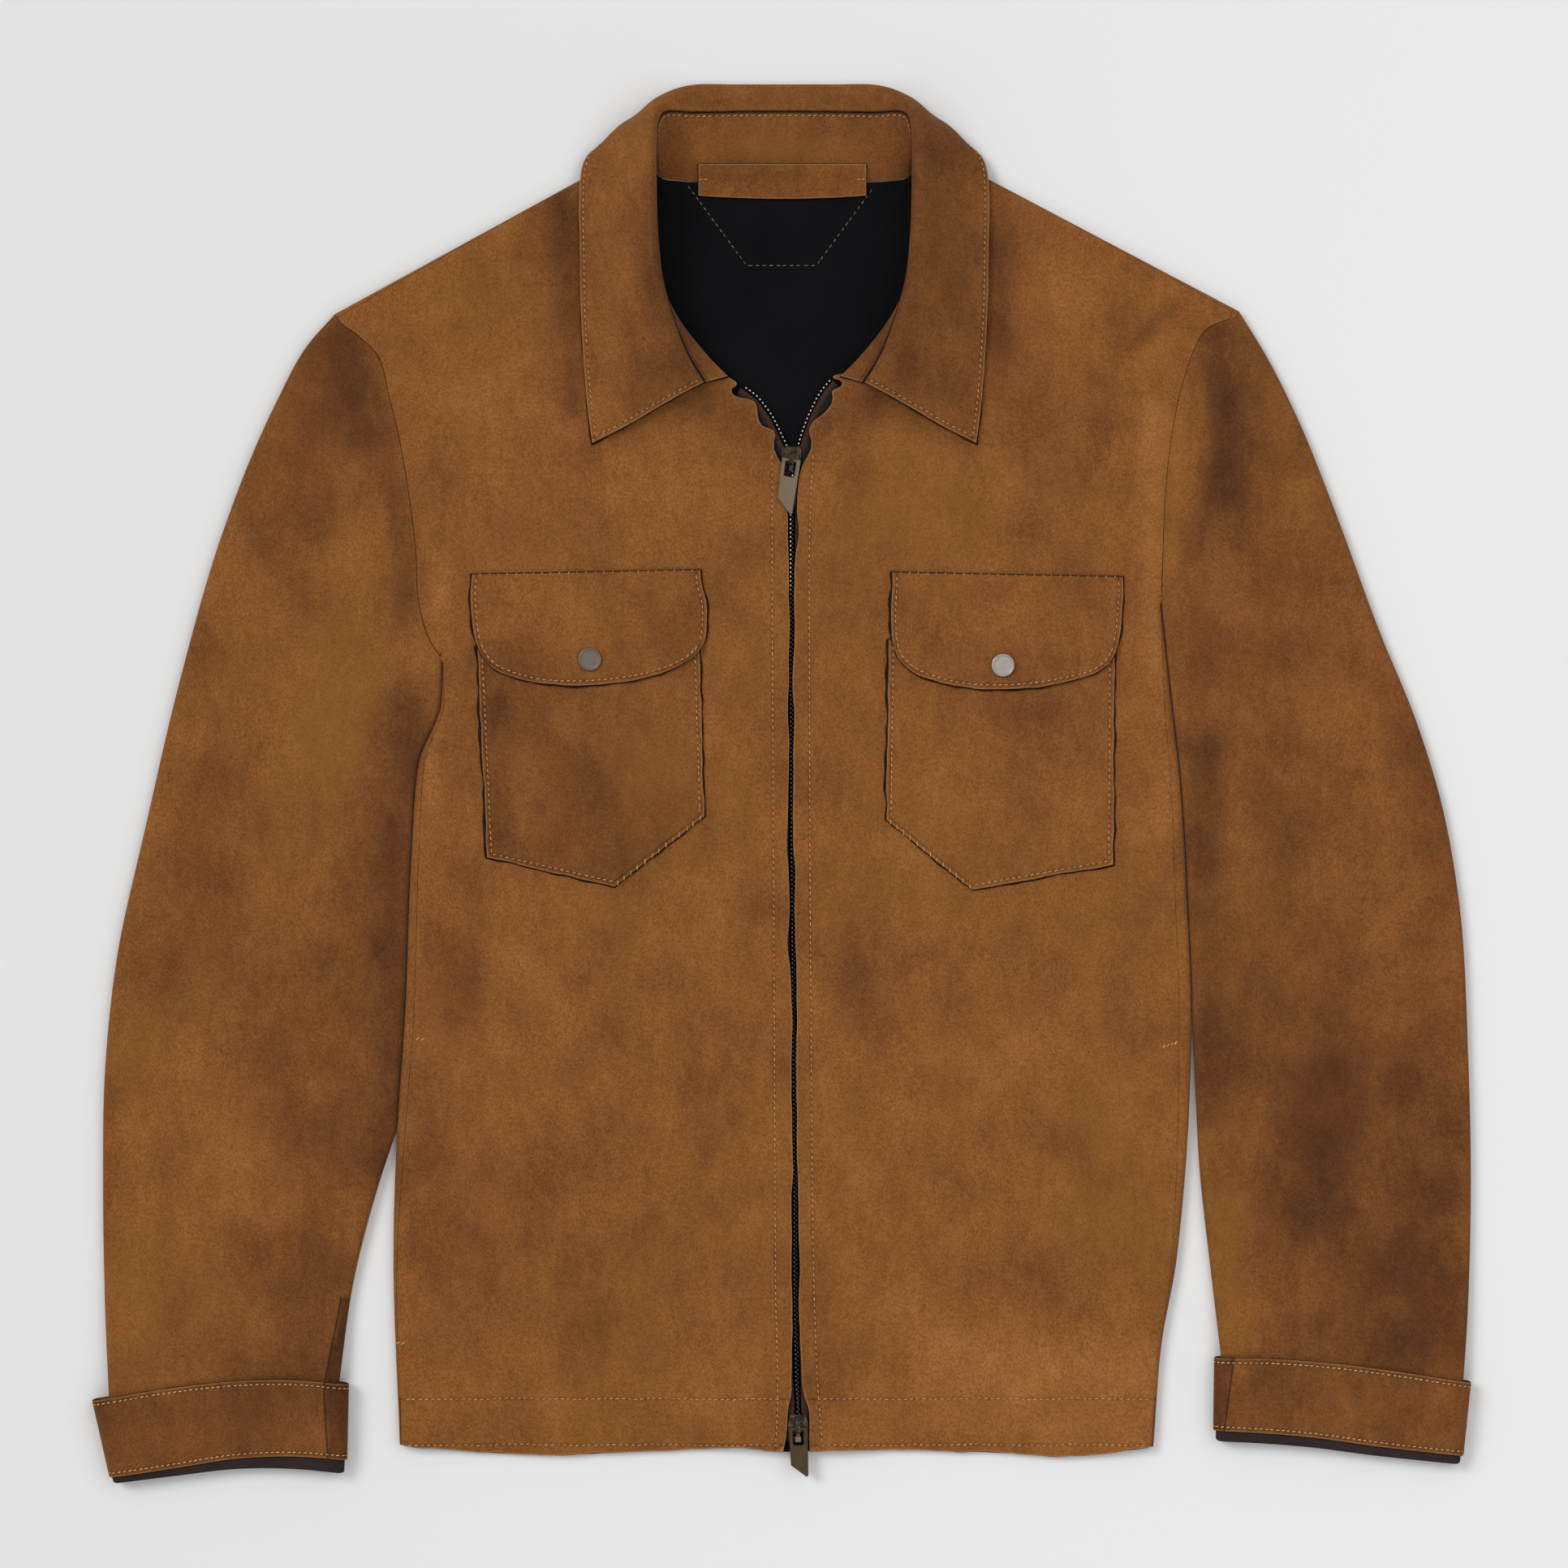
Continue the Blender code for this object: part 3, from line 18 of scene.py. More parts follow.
import bpy
import numpy as np
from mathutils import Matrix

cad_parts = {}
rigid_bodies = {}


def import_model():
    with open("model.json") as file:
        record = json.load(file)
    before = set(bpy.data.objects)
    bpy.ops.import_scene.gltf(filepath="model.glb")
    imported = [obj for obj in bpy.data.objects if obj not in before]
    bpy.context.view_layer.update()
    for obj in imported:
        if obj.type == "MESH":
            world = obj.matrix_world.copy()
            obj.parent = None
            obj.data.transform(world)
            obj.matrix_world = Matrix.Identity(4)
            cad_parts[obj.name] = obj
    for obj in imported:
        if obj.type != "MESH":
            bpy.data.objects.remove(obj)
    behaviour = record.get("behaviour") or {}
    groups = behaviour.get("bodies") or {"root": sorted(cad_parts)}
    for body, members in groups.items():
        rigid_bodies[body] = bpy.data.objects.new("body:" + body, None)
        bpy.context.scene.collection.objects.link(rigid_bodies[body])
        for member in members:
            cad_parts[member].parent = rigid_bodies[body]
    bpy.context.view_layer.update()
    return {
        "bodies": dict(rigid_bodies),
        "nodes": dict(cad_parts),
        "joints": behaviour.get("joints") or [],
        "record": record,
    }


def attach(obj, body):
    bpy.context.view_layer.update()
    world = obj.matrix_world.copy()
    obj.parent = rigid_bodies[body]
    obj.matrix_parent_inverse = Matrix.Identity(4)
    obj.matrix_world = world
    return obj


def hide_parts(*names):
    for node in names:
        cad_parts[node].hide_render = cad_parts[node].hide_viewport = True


Array = np.ndarray
Line = tuple[tuple[float, ...], ...]
Pair = tuple[float, float]
Triple = tuple[float, float, float]

LOG = logging.getLogger("overshirt")
MM = 0.001              # metres in a millimetre

CLOTH = 1.6             # suede with its bonded inner cloth
TRIM = 1.4              # single suede: pockets and flaps
BAND = 1.2              # skived suede of the cuff bands and the label
TAPE = 1.0              # woven tape of the zip
GAP = 0.3               # under what lies on a panel
SEAM = 0.12             # between panels that are sewn edge to edge

REST_HEIGHT = 4.0       # outer face of the upper layer where it lies on the back
FOLD_RADIUS = 3.5       # round both sides of the body, and round the sleeves
SHOULDER_RADIUS = 3.2   # round the shoulder line
ARMHOLE_HEIGHT = 4.8    # along the seam between body and sleeve
SLEEVE_HEIGHT = 4.6     # along the middle of a sleeve
ZIP_HEIGHT = 6.8        # beside the zip
ZIP_SHELF = 15.0        # width of a front's edge that lies over the zip tape
SOFTNESS = 20.0         # how far from an edge the upper layer comes down to rest
LEAST_HEIGHT = 3.7      # of the upper layer's outer face, anywhere
MOST_HEIGHT = 7.15
CREASE_ONSET = 1.6      # how soon creases are at their full height away from an edge
EDGE_POWER = 4          # how sharply the highest edge nearby wins over the others
RIM_ROUNDING = 0.4      # of the cut edges of a panel
FAR = 99.0              # a distance from an edge or a seam that no finish reads


class Side(Enum):
    """The two halves of the garment as seen from above."""

    LEFT = -1.0
    RIGHT = 1.0

    @property
    def sign(self) -> float:
        """Give -1 on the left and 1 on the right."""
        return self.value

    @property
    def word(self) -> str:
        """Give the side's name as the nodes' names have it."""
        return self.name.lower()


class Face(Enum):
    """The parts of a cloth wall that have finishes of their own."""

    OUTER = 0
    INNER = 1
    RIM = 2


# Lines and grids

CURVE_POINTS = 600              # that a curve is measured by
EDGE_POINTS = 200               # along an edge that is given by a few points
SEWN_POINTS = 120               # along a straight row of stitches
ROW_STRIDE = 1000.0             # between rows that are read as one long line
WAVER_LENGTHS = (71.0, 43.0, 27.0, 17.0, 11.0)  # of the waves in a cut edge
WAVER_MIDDLE = 40.0             # the wave that is as high as asked for
WAVER_ENDS = 9.0                # over how far the waves die out towards both ends


def table(kind: type, *rows: tuple) -> tuple:
    """Make a table of one kind from its rows of values."""
    return tuple(kind(*row) for row in rows)


def smooth(knots: Array, values: Array, where: Array) -> Array:
    """Read a smooth line through values at their knots.

    Each span is a cubic that leaves and meets its knots at the mean slope of the spans
    beside them. A line of numbers has no rise or fall beyond its values.

    Args:
        knots: rising positions of the known values.
        values: one number or one point for each knot.
        where: positions to read at.

    Returns:
        The values there, one for each position.
    """
    knots = np.asarray(knots, float)
    where = np.atleast_1d(np.asarray(where, float))
    values = np.asarray(values, float)
    flat = values.ndim == 1
    values = values[:, None] if flat else values
    spans = np.diff(knots)[:, None]
    slopes = np.diff(values, axis=0) / spans
    before, after = slopes[:-1], slopes[1:]
    middle = (after * spans[:-1] + before * spans[1:]) / (spans[1:] + spans[:-1])
    if flat:
        steepest = 2 * np.minimum(np.abs(before), np.abs(after))
        middle = np.where(before * after > 0, np.clip(middle, -steepest, steepest), 0.0)
    tangents = np.vstack([slopes[:1], middle, slopes[-1:]])
    i = np.clip(np.searchsorted(knots, where, side="right") - 1, 0, len(spans) - 1)
    span = spans[i]
    t = np.clip((where[:, None] - knots[i][:, None]) / span, 0.0, 1.0)
    read = (
        (2 * t**3 - 3 * t**2 + 1) * values[i]
        + (t**3 - 2 * t**2 + t) * span * tangents[i]
        + (3 * t**2 - 2 * t**3) * values[i + 1]
        + (t**3 - t**2) * span * tangents[i + 1]
    )
    return read[:, 0] if flat else read


def ease(share: Array) -> Array:
    """Turn a share into a soft step: 0 below 0, 1 above 1, with level ends."""
    t = np.clip(share, 0.0, 1.0)
    return t * t * (3 - 2 * t)


def lengths_along(points: Array) -> Array:
    """Work out the length from the first point to each of the others along their line."""
    steps = np.linalg.norm(np.diff(np.asarray(points, float), axis=0), axis=1)
    return np.concatenate([[0.0], np.cumsum(steps)])


def line_through(points: Array, count: int) -> Array:
    """Space points evenly along the smooth curve through a few given ones."""
    reach = lengths_along(points)
    fine = smooth(reach, points, np.linspace(0, reach[-1], CURVE_POINTS))
    reach = lengths_along(fine)
    return smooth(reach, fine, np.linspace(0, reach[-1], count))


def joined(*stretches: Array) -> Array:
    """Join stretches that share their end points into one line."""
    return np.vstack([stretches[0]] + [stretch[1:] for stretch in stretches[1:]])


def moved_aside(line: Array, distance: float | Array) -> Array:
    """Move a plan line to the right of its way, or to the left for a distance below 0.

    Each stretch moves square to itself, and the corners lie where the moved ones meet.
    """
    along = np.diff(line[:, :2], axis=0)
    along /= np.linalg.norm(along, axis=1, keepdims=True)
    square = np.stack([along[:, 1], -along[:, 0]], axis=1)
    before = np.vstack([square[:1], square])
    after = np.vstack([square, square[-1:]])
    corner = (before + after) / (1 + np.sum(before * after, axis=1, keepdims=True))
    moved = np.array(line, float)
    moved[:, :2] += corner * np.reshape(distance, (-1, 1))
    return moved


def wavered(line: Array, amount: float, seed: int) -> Array:
    """Let a cut edge waver to both sides: sines of many lengths along it, still at its ends.

    Args:
        line: the plan line.
        amount: about how far it strays.
        seed: what the sines' starts are drawn from.

    Returns:
        The wavering line.
    """
    draw = np.random.default_rng(seed)
    reach = lengths_along(line)
    stray = np.zeros(len(line))
    for length in WAVER_LENGTHS:
        wave = np.sin(2 * math.pi * (reach / length + draw.uniform()))
        stray += (length / WAVER_MIDDLE) ** 0.6 * wave
    held = ease(reach / WAVER_ENDS) * ease((reach[-1] - reach) / WAVER_ENDS)
    return moved_aside(line, 0.5 * amount * stray * held)


def drawn(height: Callable[[Array], Array], line: Array) -> tuple[Array, Array]:
    """Put a plan line on a face given by its height.

    Args:
        height: gives the face's height at points seen from above.
        line: the plan line.

    Returns:
        The line's points, and the unit normals from the face's slopes there.
    """
    step = 0.3
    slopes = [(height(line + way) - height(line - way)) / (2 * step) for way in step * np.eye(2)]
    normals = raised(np.stack([-slopes[0], -slopes[1]], axis=-1), np.ones(len(line)))
    return raised(line, height(line)), normals / np.linalg.norm(normals, axis=1, keepdims=True)


def read_at(reach: Array, line: Array, where: Array) -> Array:
    """Read a line's points at places along it, given the place of each known point."""
    return np.stack([np.interp(where, reach, line[:, axis]) for axis in range(line.shape[1])], -1)


def grid_between(first: Array, last: Array, low: Array, high: Array, u: Array | None = None) -> Array:
    """Fill four edge lines that meet at their ends with a grid of points.

    A point is the sum of the two straight blends between opposite edges, less the blend
    of the four corners.

    Args:
        first: the edge at the first column, from low to high.
        last: the edge at the last column, from low to high.
        low: the edge at the first row, from first to last.
        high: the edge at the last row, from first to last.
        u: the share across at each row and column, or None for the edges' own.

    Returns:
        Points as an array of rows by columns by coordinates.
    """
    def shares(line: Array) -> Array:
        """Give the share of a line's length at each of its points."""
        reach = lengths_along(line)
        return reach / reach[-1]

    v = ((shares(first) + shares(last)) / 2)[:, None, None]
    if u is None:
        own = (shares(low) + shares(high)) / 2
        low_line, high_line = low[None], high[None]
        u = own[None, :]
    else:
        low_line = read_at(shares(low), low, u)
        high_line = read_at(shares(high), high, u)
    u = u[..., None]
    across = (1 - u) * first[:, None] + u * last[:, None]
    along = (1 - v) * low_line + v * high_line
    corners = (1 - v) * ((1 - u) * first[0] + u * last[0]) + v * ((1 - u) * first[-1] + u * last[-1])
    return across + along - corners


def row_lengths(grid: Array) -> Array:
    """Work out the lengths along each row of a grid."""
    steps = np.linalg.norm(np.diff(grid, axis=1), axis=2)
    return np.concatenate([np.zeros((len(grid), 1)), np.cumsum(steps, axis=1)], axis=1)


def read_inside(reach: Array, grid: Array, places: Array) -> Array:
    """Read each row of a grid at places along it, as one line of rows that lie far apart.

    Args:
        reach: the place of each of the grid's points along its row.
        grid: the values to read, rows by columns by numbers.
        places: the places in each row, none past its ends.

    Returns:
        The values there, rows by places by numbers.
    """
    shift = (reach[:, -1].max() + ROW_STRIDE) * np.arange(len(grid))[:, None]
    flat = grid.reshape(-1, grid.shape[2])
    return read_at((reach + shift).ravel(), flat, (places + shift).ravel()).reshape(places.shape + (-1,))


def read_rows(grid: Array, places: Array) -> Array:
    """Read each row of a grid at lengths along it, and go straight on past its ends."""
    reach = row_lengths(grid)
    points = read_inside(reach, grid, np.clip(places, 0.0, reach[:, -1:]))
    ends = []
    for near, far in ((0, 1), (-1, -2)):
        way = grid[:, near] - grid[:, far]
        ends.append(way / np.linalg.norm(way, axis=1, keepdims=True))
    points += np.maximum(-places, 0)[..., None] * ends[0][:, None]
    points += np.maximum(places - reach[:, -1:], 0)[..., None] * ends[1][:, None]
    return points


def normals_of(grid: Array) -> Array:
    """Work out the unit normal at each point of a grid, from its neighbours."""
    normal = np.cross(np.gradient(grid, axis=1), np.gradient(grid, axis=0))
    return normal / np.maximum(np.linalg.norm(normal, axis=2, keepdims=True), 1e-12)


def raised(plan: Array, height: Array) -> Array:
    """Put a height on each point seen from above."""
    return np.concatenate([plan[..., :2], np.asarray(height)[..., None]], axis=-1)


def edge_distance(outline: Array, plan: Array) -> Array:
    """Work out how far inside a closed outline points lie, below 0 outside.

    The distance is the least one to the outline's stretches. A point is inside when a ray
    from it crosses the outline an odd number of times.

    Args:
        outline: the outline's corners in order.
        plan: points seen from above.

    Returns:
        The distance at each point.
    """
    start = np.asarray(outline, float)
    run = np.roll(start, -1, axis=0) - start
    away = plan[..., None, :2] - start
    share = np.clip(np.sum(away * run, axis=-1) / np.sum(run * run, axis=-1), 0, 1)
    distance = np.linalg.norm(away - share[..., None] * run, axis=-1).min(axis=-1)
    end = start + run
    y = plan[..., None, 1]
    spans = (start[:, 1] > y) != (end[:, 1] > y)
    rise = np.where(run[:, 1] == 0, 1e-9, run[:, 1])
    crossing = start[:, 0] + (y - start[:, 1]) / rise * run[:, 0]
    inside = np.sum(spans & (plan[..., None, 0] < crossing), axis=-1) % 2 == 1
    return np.where(inside, distance, -distance)


class Edge(Enum):
    """The four edges of a grid."""

    FIRST_ROW = 0
    LAST_ROW = 1
    FIRST_COLUMN = 2
    LAST_COLUMN = 3

    @property
    def is_row(self) -> bool:
        """Tell whether it is a row."""
        return self in (Edge.FIRST_ROW, Edge.LAST_ROW)

    @property
    def is_last(self) -> bool:
        """Tell whether it ends the grid."""
        return self in (Edge.LAST_ROW, Edge.LAST_COLUMN)


@dataclass
class Surface:
    """One face of a cloth wall: a grid of points and the cloth's outward normals."""

    points: Array
    normals: Array

    @staticmethod
    def of(outer: Array, inner: Array) -> "Surface":
        """Take a wall's outer face, with normals that look away from its inner one."""
        normals = normals_of(outer)
        way = np.sum(normals * (outer - inner), axis=-1, keepdims=True)
        return Surface(outer, normals * np.where(way < 0, -1.0, 1.0))

    def inset(self, edge: Edge, distance: float, trim: float = 0.0) -> tuple[Array, Array]:
        """Make the line at a distance inside one edge.

        Args:
            edge: which edge.
            distance: how far inside it, along the cloth.
            trim: how much to leave out at both ends of the line.

        Returns:
            The line's points and its normals.
        """
        points, normals = self.points, self.normals
        if edge.is_row:
            points, normals = points.swapaxes(0, 1), normals.swapaxes(0, 1)
        if edge.is_last:
            points, normals = points[:, ::-1], normals[:, ::-1]
        both = np.concatenate([points, normals], axis=-1)
        line = read_inside(row_lengths(points), both, np.full((len(both), 1), distance))[:, 0]
        along = lengths_along(line[:, :3])
        end = along[-1] - trim
        kept = np.concatenate([[trim], along[(along > trim) & (along < end)], [end]])
        line = read_at(along, line, kept)
        return line[:, :3], line[:, 3:]

    def rim(self, edges: tuple[Edge, ...]) -> Array:
        """Work out how far each point lies from the nearest of some edges, along the cloth."""
        down = row_lengths(self.points.swapaxes(0, 1)).swapaxes(0, 1)
        across = row_lengths(self.points)
        reach = {
            Edge.FIRST_ROW: down, Edge.LAST_ROW: down[-1:] - down,
            Edge.FIRST_COLUMN: across, Edge.LAST_COLUMN: across[:, -1:] - across,
        }
        return np.minimum.reduce([reach[edge] for edge in edges] + [np.full(across.shape, FAR)])


# Heights and tones of the cloth


@dataclass(frozen=True)
class Stroke:
    """Something that is strongest along a straight line and fades over its width."""

    x1: float
    y1: float
    x2: float
    y2: float
    width: float
    amount: float

    def at(self, plan: Array) -> Array:
        """Give its amount at points: a bell across the straight line between its ends."""
        start = np.array([self.x1, self.y1])
        run = np.array([self.x2, self.y2]) - start
        share = np.clip((plan[..., :2] - start) @ run / max(run @ run, 1e-9), 0, 1)
        away = np.linalg.norm(plan[..., :2] - start - share[..., None] * run, axis=-1)
        return self.amount * np.exp(-((away / self.width) ** 2))


def strokes_at(strokes: tuple[Stroke, ...], plan: Array) -> Array:
    """Add up strokes at points seen from above."""
    return sum((stroke.at(plan) for stroke in strokes), np.zeros(plan.shape[:-1]))


CREASES = table(
    Stroke,
    (-194, 92, -182, 112, 9, 1.4), (-190, 46, -186, 4, 8, 1.2), (-222, 150, -232, 60, 16, 1.3),
    (-258, 190, -276, 120, 22, 1.0), (-240, -10, -262, -120, 24, 1.2), (-318, -60, -300, -170, 26, 0.9),
    (-345, -200, -300, -262, 20, 1.1), (-215, 215, -178, 262, 15, 1.1), (206, 118, 186, 150, 11, 1.2),
    (222, 170, 236, 60, 16, 1.5), (228, 20, 246, -110, 20, 1.3), (262, 190, 292, 96, 24, 1.0),
    (320, 10, 306, -120, 26, 1.0), (348, -190, 296, -250, 22, 1.1), (214, 222, 178, 268, 14, 1.2),
    (-118, -120, -96, -280, 34, 0.6), (96, -110, 120, -270, 36, 0.7), (-60, 170, -92, 150, 20, 0.6),
    (70, 172, 96, 150, 20, 0.6), (190, 243, 213, 262, 5, 1.0), (228, 214, 222, 128, 6, 0.9),
    (-181, 122, -166, 132, 7, -0.6), (-176, 100, -172, 60, 6, -0.5), (-236, 196, -214, 150, 9, 0.8),
    (-250, 60, -222, 20, 11, 0.8), (262, -30, 236, 10, 12, 0.8), (-320, -232, -270, -250, 14, 0.8),
    (-300, -290, -262, -300, 10, 0.7), (350, -120, 300, -140, 16, 0.7), (120, 20, 40, 12, 30, 0.4),
)


# Lighter and darker areas of the suede, in steps of its colour ramp. Most are its own uneven tone; the tables
# for the body, the sleeves and the collar also hold painted shade and painted highlights.
# On the body: painted shade beside the collar's leaves and below the collar, and painted highlights along the
# body's side edges and its right armhole.
BODY_TONE_AND_PAINTED_LIGHT = table(
    Stroke,
    (-195, 232, -150, 205, 26, 0.42), (-150, 150, -60, 165, 30, 0.12), (-121, 338, -114, 205, 8, -0.8),
    (117, 334, 119, 215, 8, -0.65), (-126, 335, -124, 250, 16, -0.3), (190, 240, 214, 262, 5, -0.6),
    (200, 236, 216, 246, 4, 0.4), (-212, 245, -180, 262, 6, 0.25), (-40, 214, 4, 186, 12, -0.55),
    (12, 190, 46, 214, 12, -0.55), (-100, 186, -50, 206, 9, -0.45), (52, 206, 102, 186, 9, -0.45),
    (150, 262, 156, 226, 22, 0.34), (186, 262, 168, 160, 12, -0.32), (202, 205, 203, 70, 7, 0.6),
    (205, 60, 208, -30, 6, 0.3), (127, 290, 124, 245, 16, -0.42), (-196, 48, -193, -10, 6, 0.75),
    (-196, 40, -190, 64, 7, -0.4), (-190, 96, -186, 122, 6, 0.55), (-201, -20, -203, -120, 5, 0.4),
    (-150, -66, -118, -134, 13, 0.42), (-44, -62, -26, -116, 20, 0.32), (-176, -95, -170, -130, 12, -0.3),
    (-90, -84, -76, -110, 14, -0.2), (-140, -215, -100, -300, 26, -0.3),
    (-190, -180, -194, -330, 14, -0.14), (-40, -200, -60, -330, 22, -0.12), (30, -75, 60, -130, 22, -0.24),
    (34, -180, 84, -240, 20, 0.34), (48, -290, 80, -345, 20, 0.3), (100, -318, 182, -326, 22, 0.75),
    (-120, -336, -40, -330, 16, 0.3), (160, -200, 176, -222, 10, -0.34), (120, -90, 190, -110, 24, -0.16),
    (-20, -352, -190, -352, 10, -0.12), (30, -352, 190, -352, 10, 0.3), (6, 160, 7, -330, 7, -0.16),
    (100, -150, 150, -160, 24, 0.14),
)
BACK_TONES = table(
    Stroke,
    (-150, 240, -60, 290, 40, 0.25), (40, 300, 150, 230, 36, -0.3), (-120, 60, -140, -60, 40, -0.25),
    (20, 120, 60, -40, 46, 0.25), (150, 60, 130, -120, 34, -0.2), (-60, -180, -20, -300, 50, 0.3),
    (110, -220, 160, -320, 34, 0.35), (-170, -200, -160, -330, 28, -0.35), (-10, 330, 10, 250, 20, -0.2),
)
WARM_AREAS = table(
    Stroke,
    (-80, 10, -50, 0, 24, 0.5), (60, 176, 100, 150, 30, 0.25), (127, 280, 124, 210, 26, -0.5),
    (-180, -120, -150, -250, 34, -0.35), (150, -230, 190, -260, 24, 0.25), (60, -130, 90, -190, 30, -0.25),
    (-246, 70, -250, 20, 22, 0.9), (-353, -240, -354, -330, 16, 0.6), (-240, 240, -262, 180, 24, -0.4),
    (215, 190, 213, 130, 9, 0.9), (246, -230, 243, -290, 12, 0.7), (345, 60, 352, 10, 16, -0.8),
    (300, -160, 350, -270, 34, -0.5), (290, 120, 320, 20, 30, 0.2), (-300, -40, -270, -120, 26, -0.4),
    (-96, 340, -92, 230, 14, 0.3), (96, 330, 96, 240, 14, 0.35), (-56, 348, 56, 348, 9, 0.8),
)
# Among the sleeves' strokes, those along their inner sides are painted shade where the body's edge lies over
# them.
SLEEVE_TONE_AND_PAINTED_SHADE = {
    Side.LEFT: table(
        Stroke,
        (-238, 250, -228, 190, 11, -0.95), (-250, 240, -246, 196, 14, -0.7),
        (-266, 224, -264, 150, 20, -0.4), (-218, 205, -205, 95, 6, -0.35), (-232, 120, -226, 60, 14, 0.3),
        (-262, 60, -246, 10, 20, 0.34), (-310, 130, -300, 60, 18, 0.25), (-206, 40, -214, -206, 15, -0.85),
        (-232, -60, -238, -200, 18, -0.35), (-320, -60, -270, -96, 26, -0.3),
        (-326, -165, -306, -224, 24, 0.36), (-352, -190, -356, -300, 15, 0.5),
        (-250, -268, -258, -322, 22, -0.55), (-280, -150, -262, -200, 20, -0.12),
        (-300, -275, -330, -310, 22, -0.15), (-336, 20, -346, -60, 12, 0.2),
    ),
    Side.RIGHT: table(
        Stroke,
        (236, 246, 246, 160, 11, -1.0), (258, 226, 262, 178, 20, -0.4), (222, 150, 230, 214, 4, 0.4),
        (226, 120, 236, 170, 4, -0.3), (218, 214, 213, 120, 5, 0.4), (228, 100, 232, 60, 12, -0.3),
        (229, 20, 234, -180, 12, -0.75), (282, 110, 300, 40, 24, 0.12), (300, -160, 294, -232, 22, -0.85),
        (350, -180, 356, -300, 22, -0.65), (330, -262, 322, -308, 22, -0.45),
        (250, -236, 246, -300, 14, 0.25), (345, 30, 358, -30, 14, -0.35), (255, -80, 262, -130, 18, -0.2),
        (300, -30, 330, -80, 22, 0.12), (290, 140, 320, -330, 70, -0.22), (300, -150, 310, -330, 60, -0.25),
    ),
}
POCKET_TONES = table(
    Stroke,
    (-158, 38, -154, -32, 13, -0.34), (-100, 40, -100, -40, 40, -0.12), (-150, 96, -70, 96, 40, 0.22),
    (-120, 0, -110, -40, 24, -0.15), (-62, 40, -60, -10, 16, 0.12), (124, 42, 170, 40, 12, -0.3),
    (150, -30, 160, -46, 12, -0.2), (-118, 92, -80, 80, 18, 0.16), (90, 96, 140, 90, 20, 0.1),
    (100, 0, 150, -20, 24, 0.16),
)
# On the collar: painted shade along the leaves' crown edges.
COLLAR_TONE_AND_PAINTED_SHADE = table(
    Stroke,
    (-92, 320, -96, 260, 12, 0.3), (-72, 330, -68, 250, 6, -0.35), (-60, 232, -84, 214, 12, -0.5),
    (96, 300, 98, 220, 12, -0.25), (72, 330, 68, 250, 6, -0.35), (60, 240, 84, 216, 14, -0.35),
    (-100, 205, -104, 192, 8, 0.3), (80, 350, 90, 338, 10, -0.3), (-50, 374, 50, 374, 4, -0.1),
)


@dataclass(frozen=True)
class Ripples:
    """Soft unevenness of cloth: waves of many lengths and ways, summed."""

    seed: int
    longest: float = 130.0
    shortest: float = 34.0
    count: int = 14
    height: float = 0.16

    def lift(self, plan: Array) -> Array:
        """Give the sum of the sine waves at points, shorter ones lower."""
        draw = np.random.default_rng(self.seed)
        lengths = np.geomspace(self.longest, self.shortest, self.count)
        angles = draw.uniform(0, math.pi, self.count)
        phases = draw.uniform(0, 2 * math.pi, self.count)
        total = np.zeros(plan.shape[:-1])
        for length, angle, phase in zip(lengths, angles, phases):
            along = plan[..., 0] * math.cos(angle) + plan[..., 1] * math.sin(angle)
            total += (length / self.longest) * np.sin(2 * math.pi * along / length + phase)
        return self.height * total


RIPPLES = Ripples(7)


def falling(distance: Array) -> Array:
    """Give how much of an edge's height is left at a distance from it."""
    return np.exp(-((np.maximum(distance, 0.0) / SOFTNESS) ** 2))


def draped_height(rest: float, edges: list[tuple[Array, Array]], plan: Array) -> Array:
    """Work out the height of cloth that rests low and climbs to its edges.

    Args:
        rest: the height away from all edges.
        edges: for each edge its height and the distance from it.
        plan: the points seen from above.

    Returns:
        The outer face's height at each point.
    """
    lifts = (((height - rest) * falling(distance)) ** EDGE_POWER for height, distance in edges)
    lift = sum(lifts) ** (1 / EDGE_POWER)
    nearness = np.maximum.reduce([falling(distance) for _, distance in edges])
    free = np.clip(CREASE_ONSET * (1 - nearness), 0, 1)
    height = np.clip(rest + lift + strokes_at(CREASES, plan) * free, LEAST_HEIGHT, MOST_HEIGHT)
    return height + RIPPLES.lift(plan) * free


# Meshes


def quad_faces(rows: int, columns: int, closed: bool = False) -> Array:
    """List the four corners of each face of a grid, turning outwards on its upper side."""
    corner = np.arange(rows * columns).reshape(rows, columns)
    right = np.roll(corner, -1, axis=1)
    last = columns if closed else columns - 1
    quads = [corner[:-1, :last], right[:-1, :last], right[1:, :last], corner[1:, :last]]
    return np.stack(quads, axis=-1).reshape(-1, 4)


def facing_up(outer: Array, inner: Array) -> bool:
    """Tell whether a wall's faces, in grid order, look from its inner to its outer side."""
    way = np.cross(outer[:-1, 1:] - outer[:-1, :-1], outer[1:, :-1] - outer[:-1, :-1])
    return float(np.sum(way * (outer - inner)[:-1, :-1])) > 0


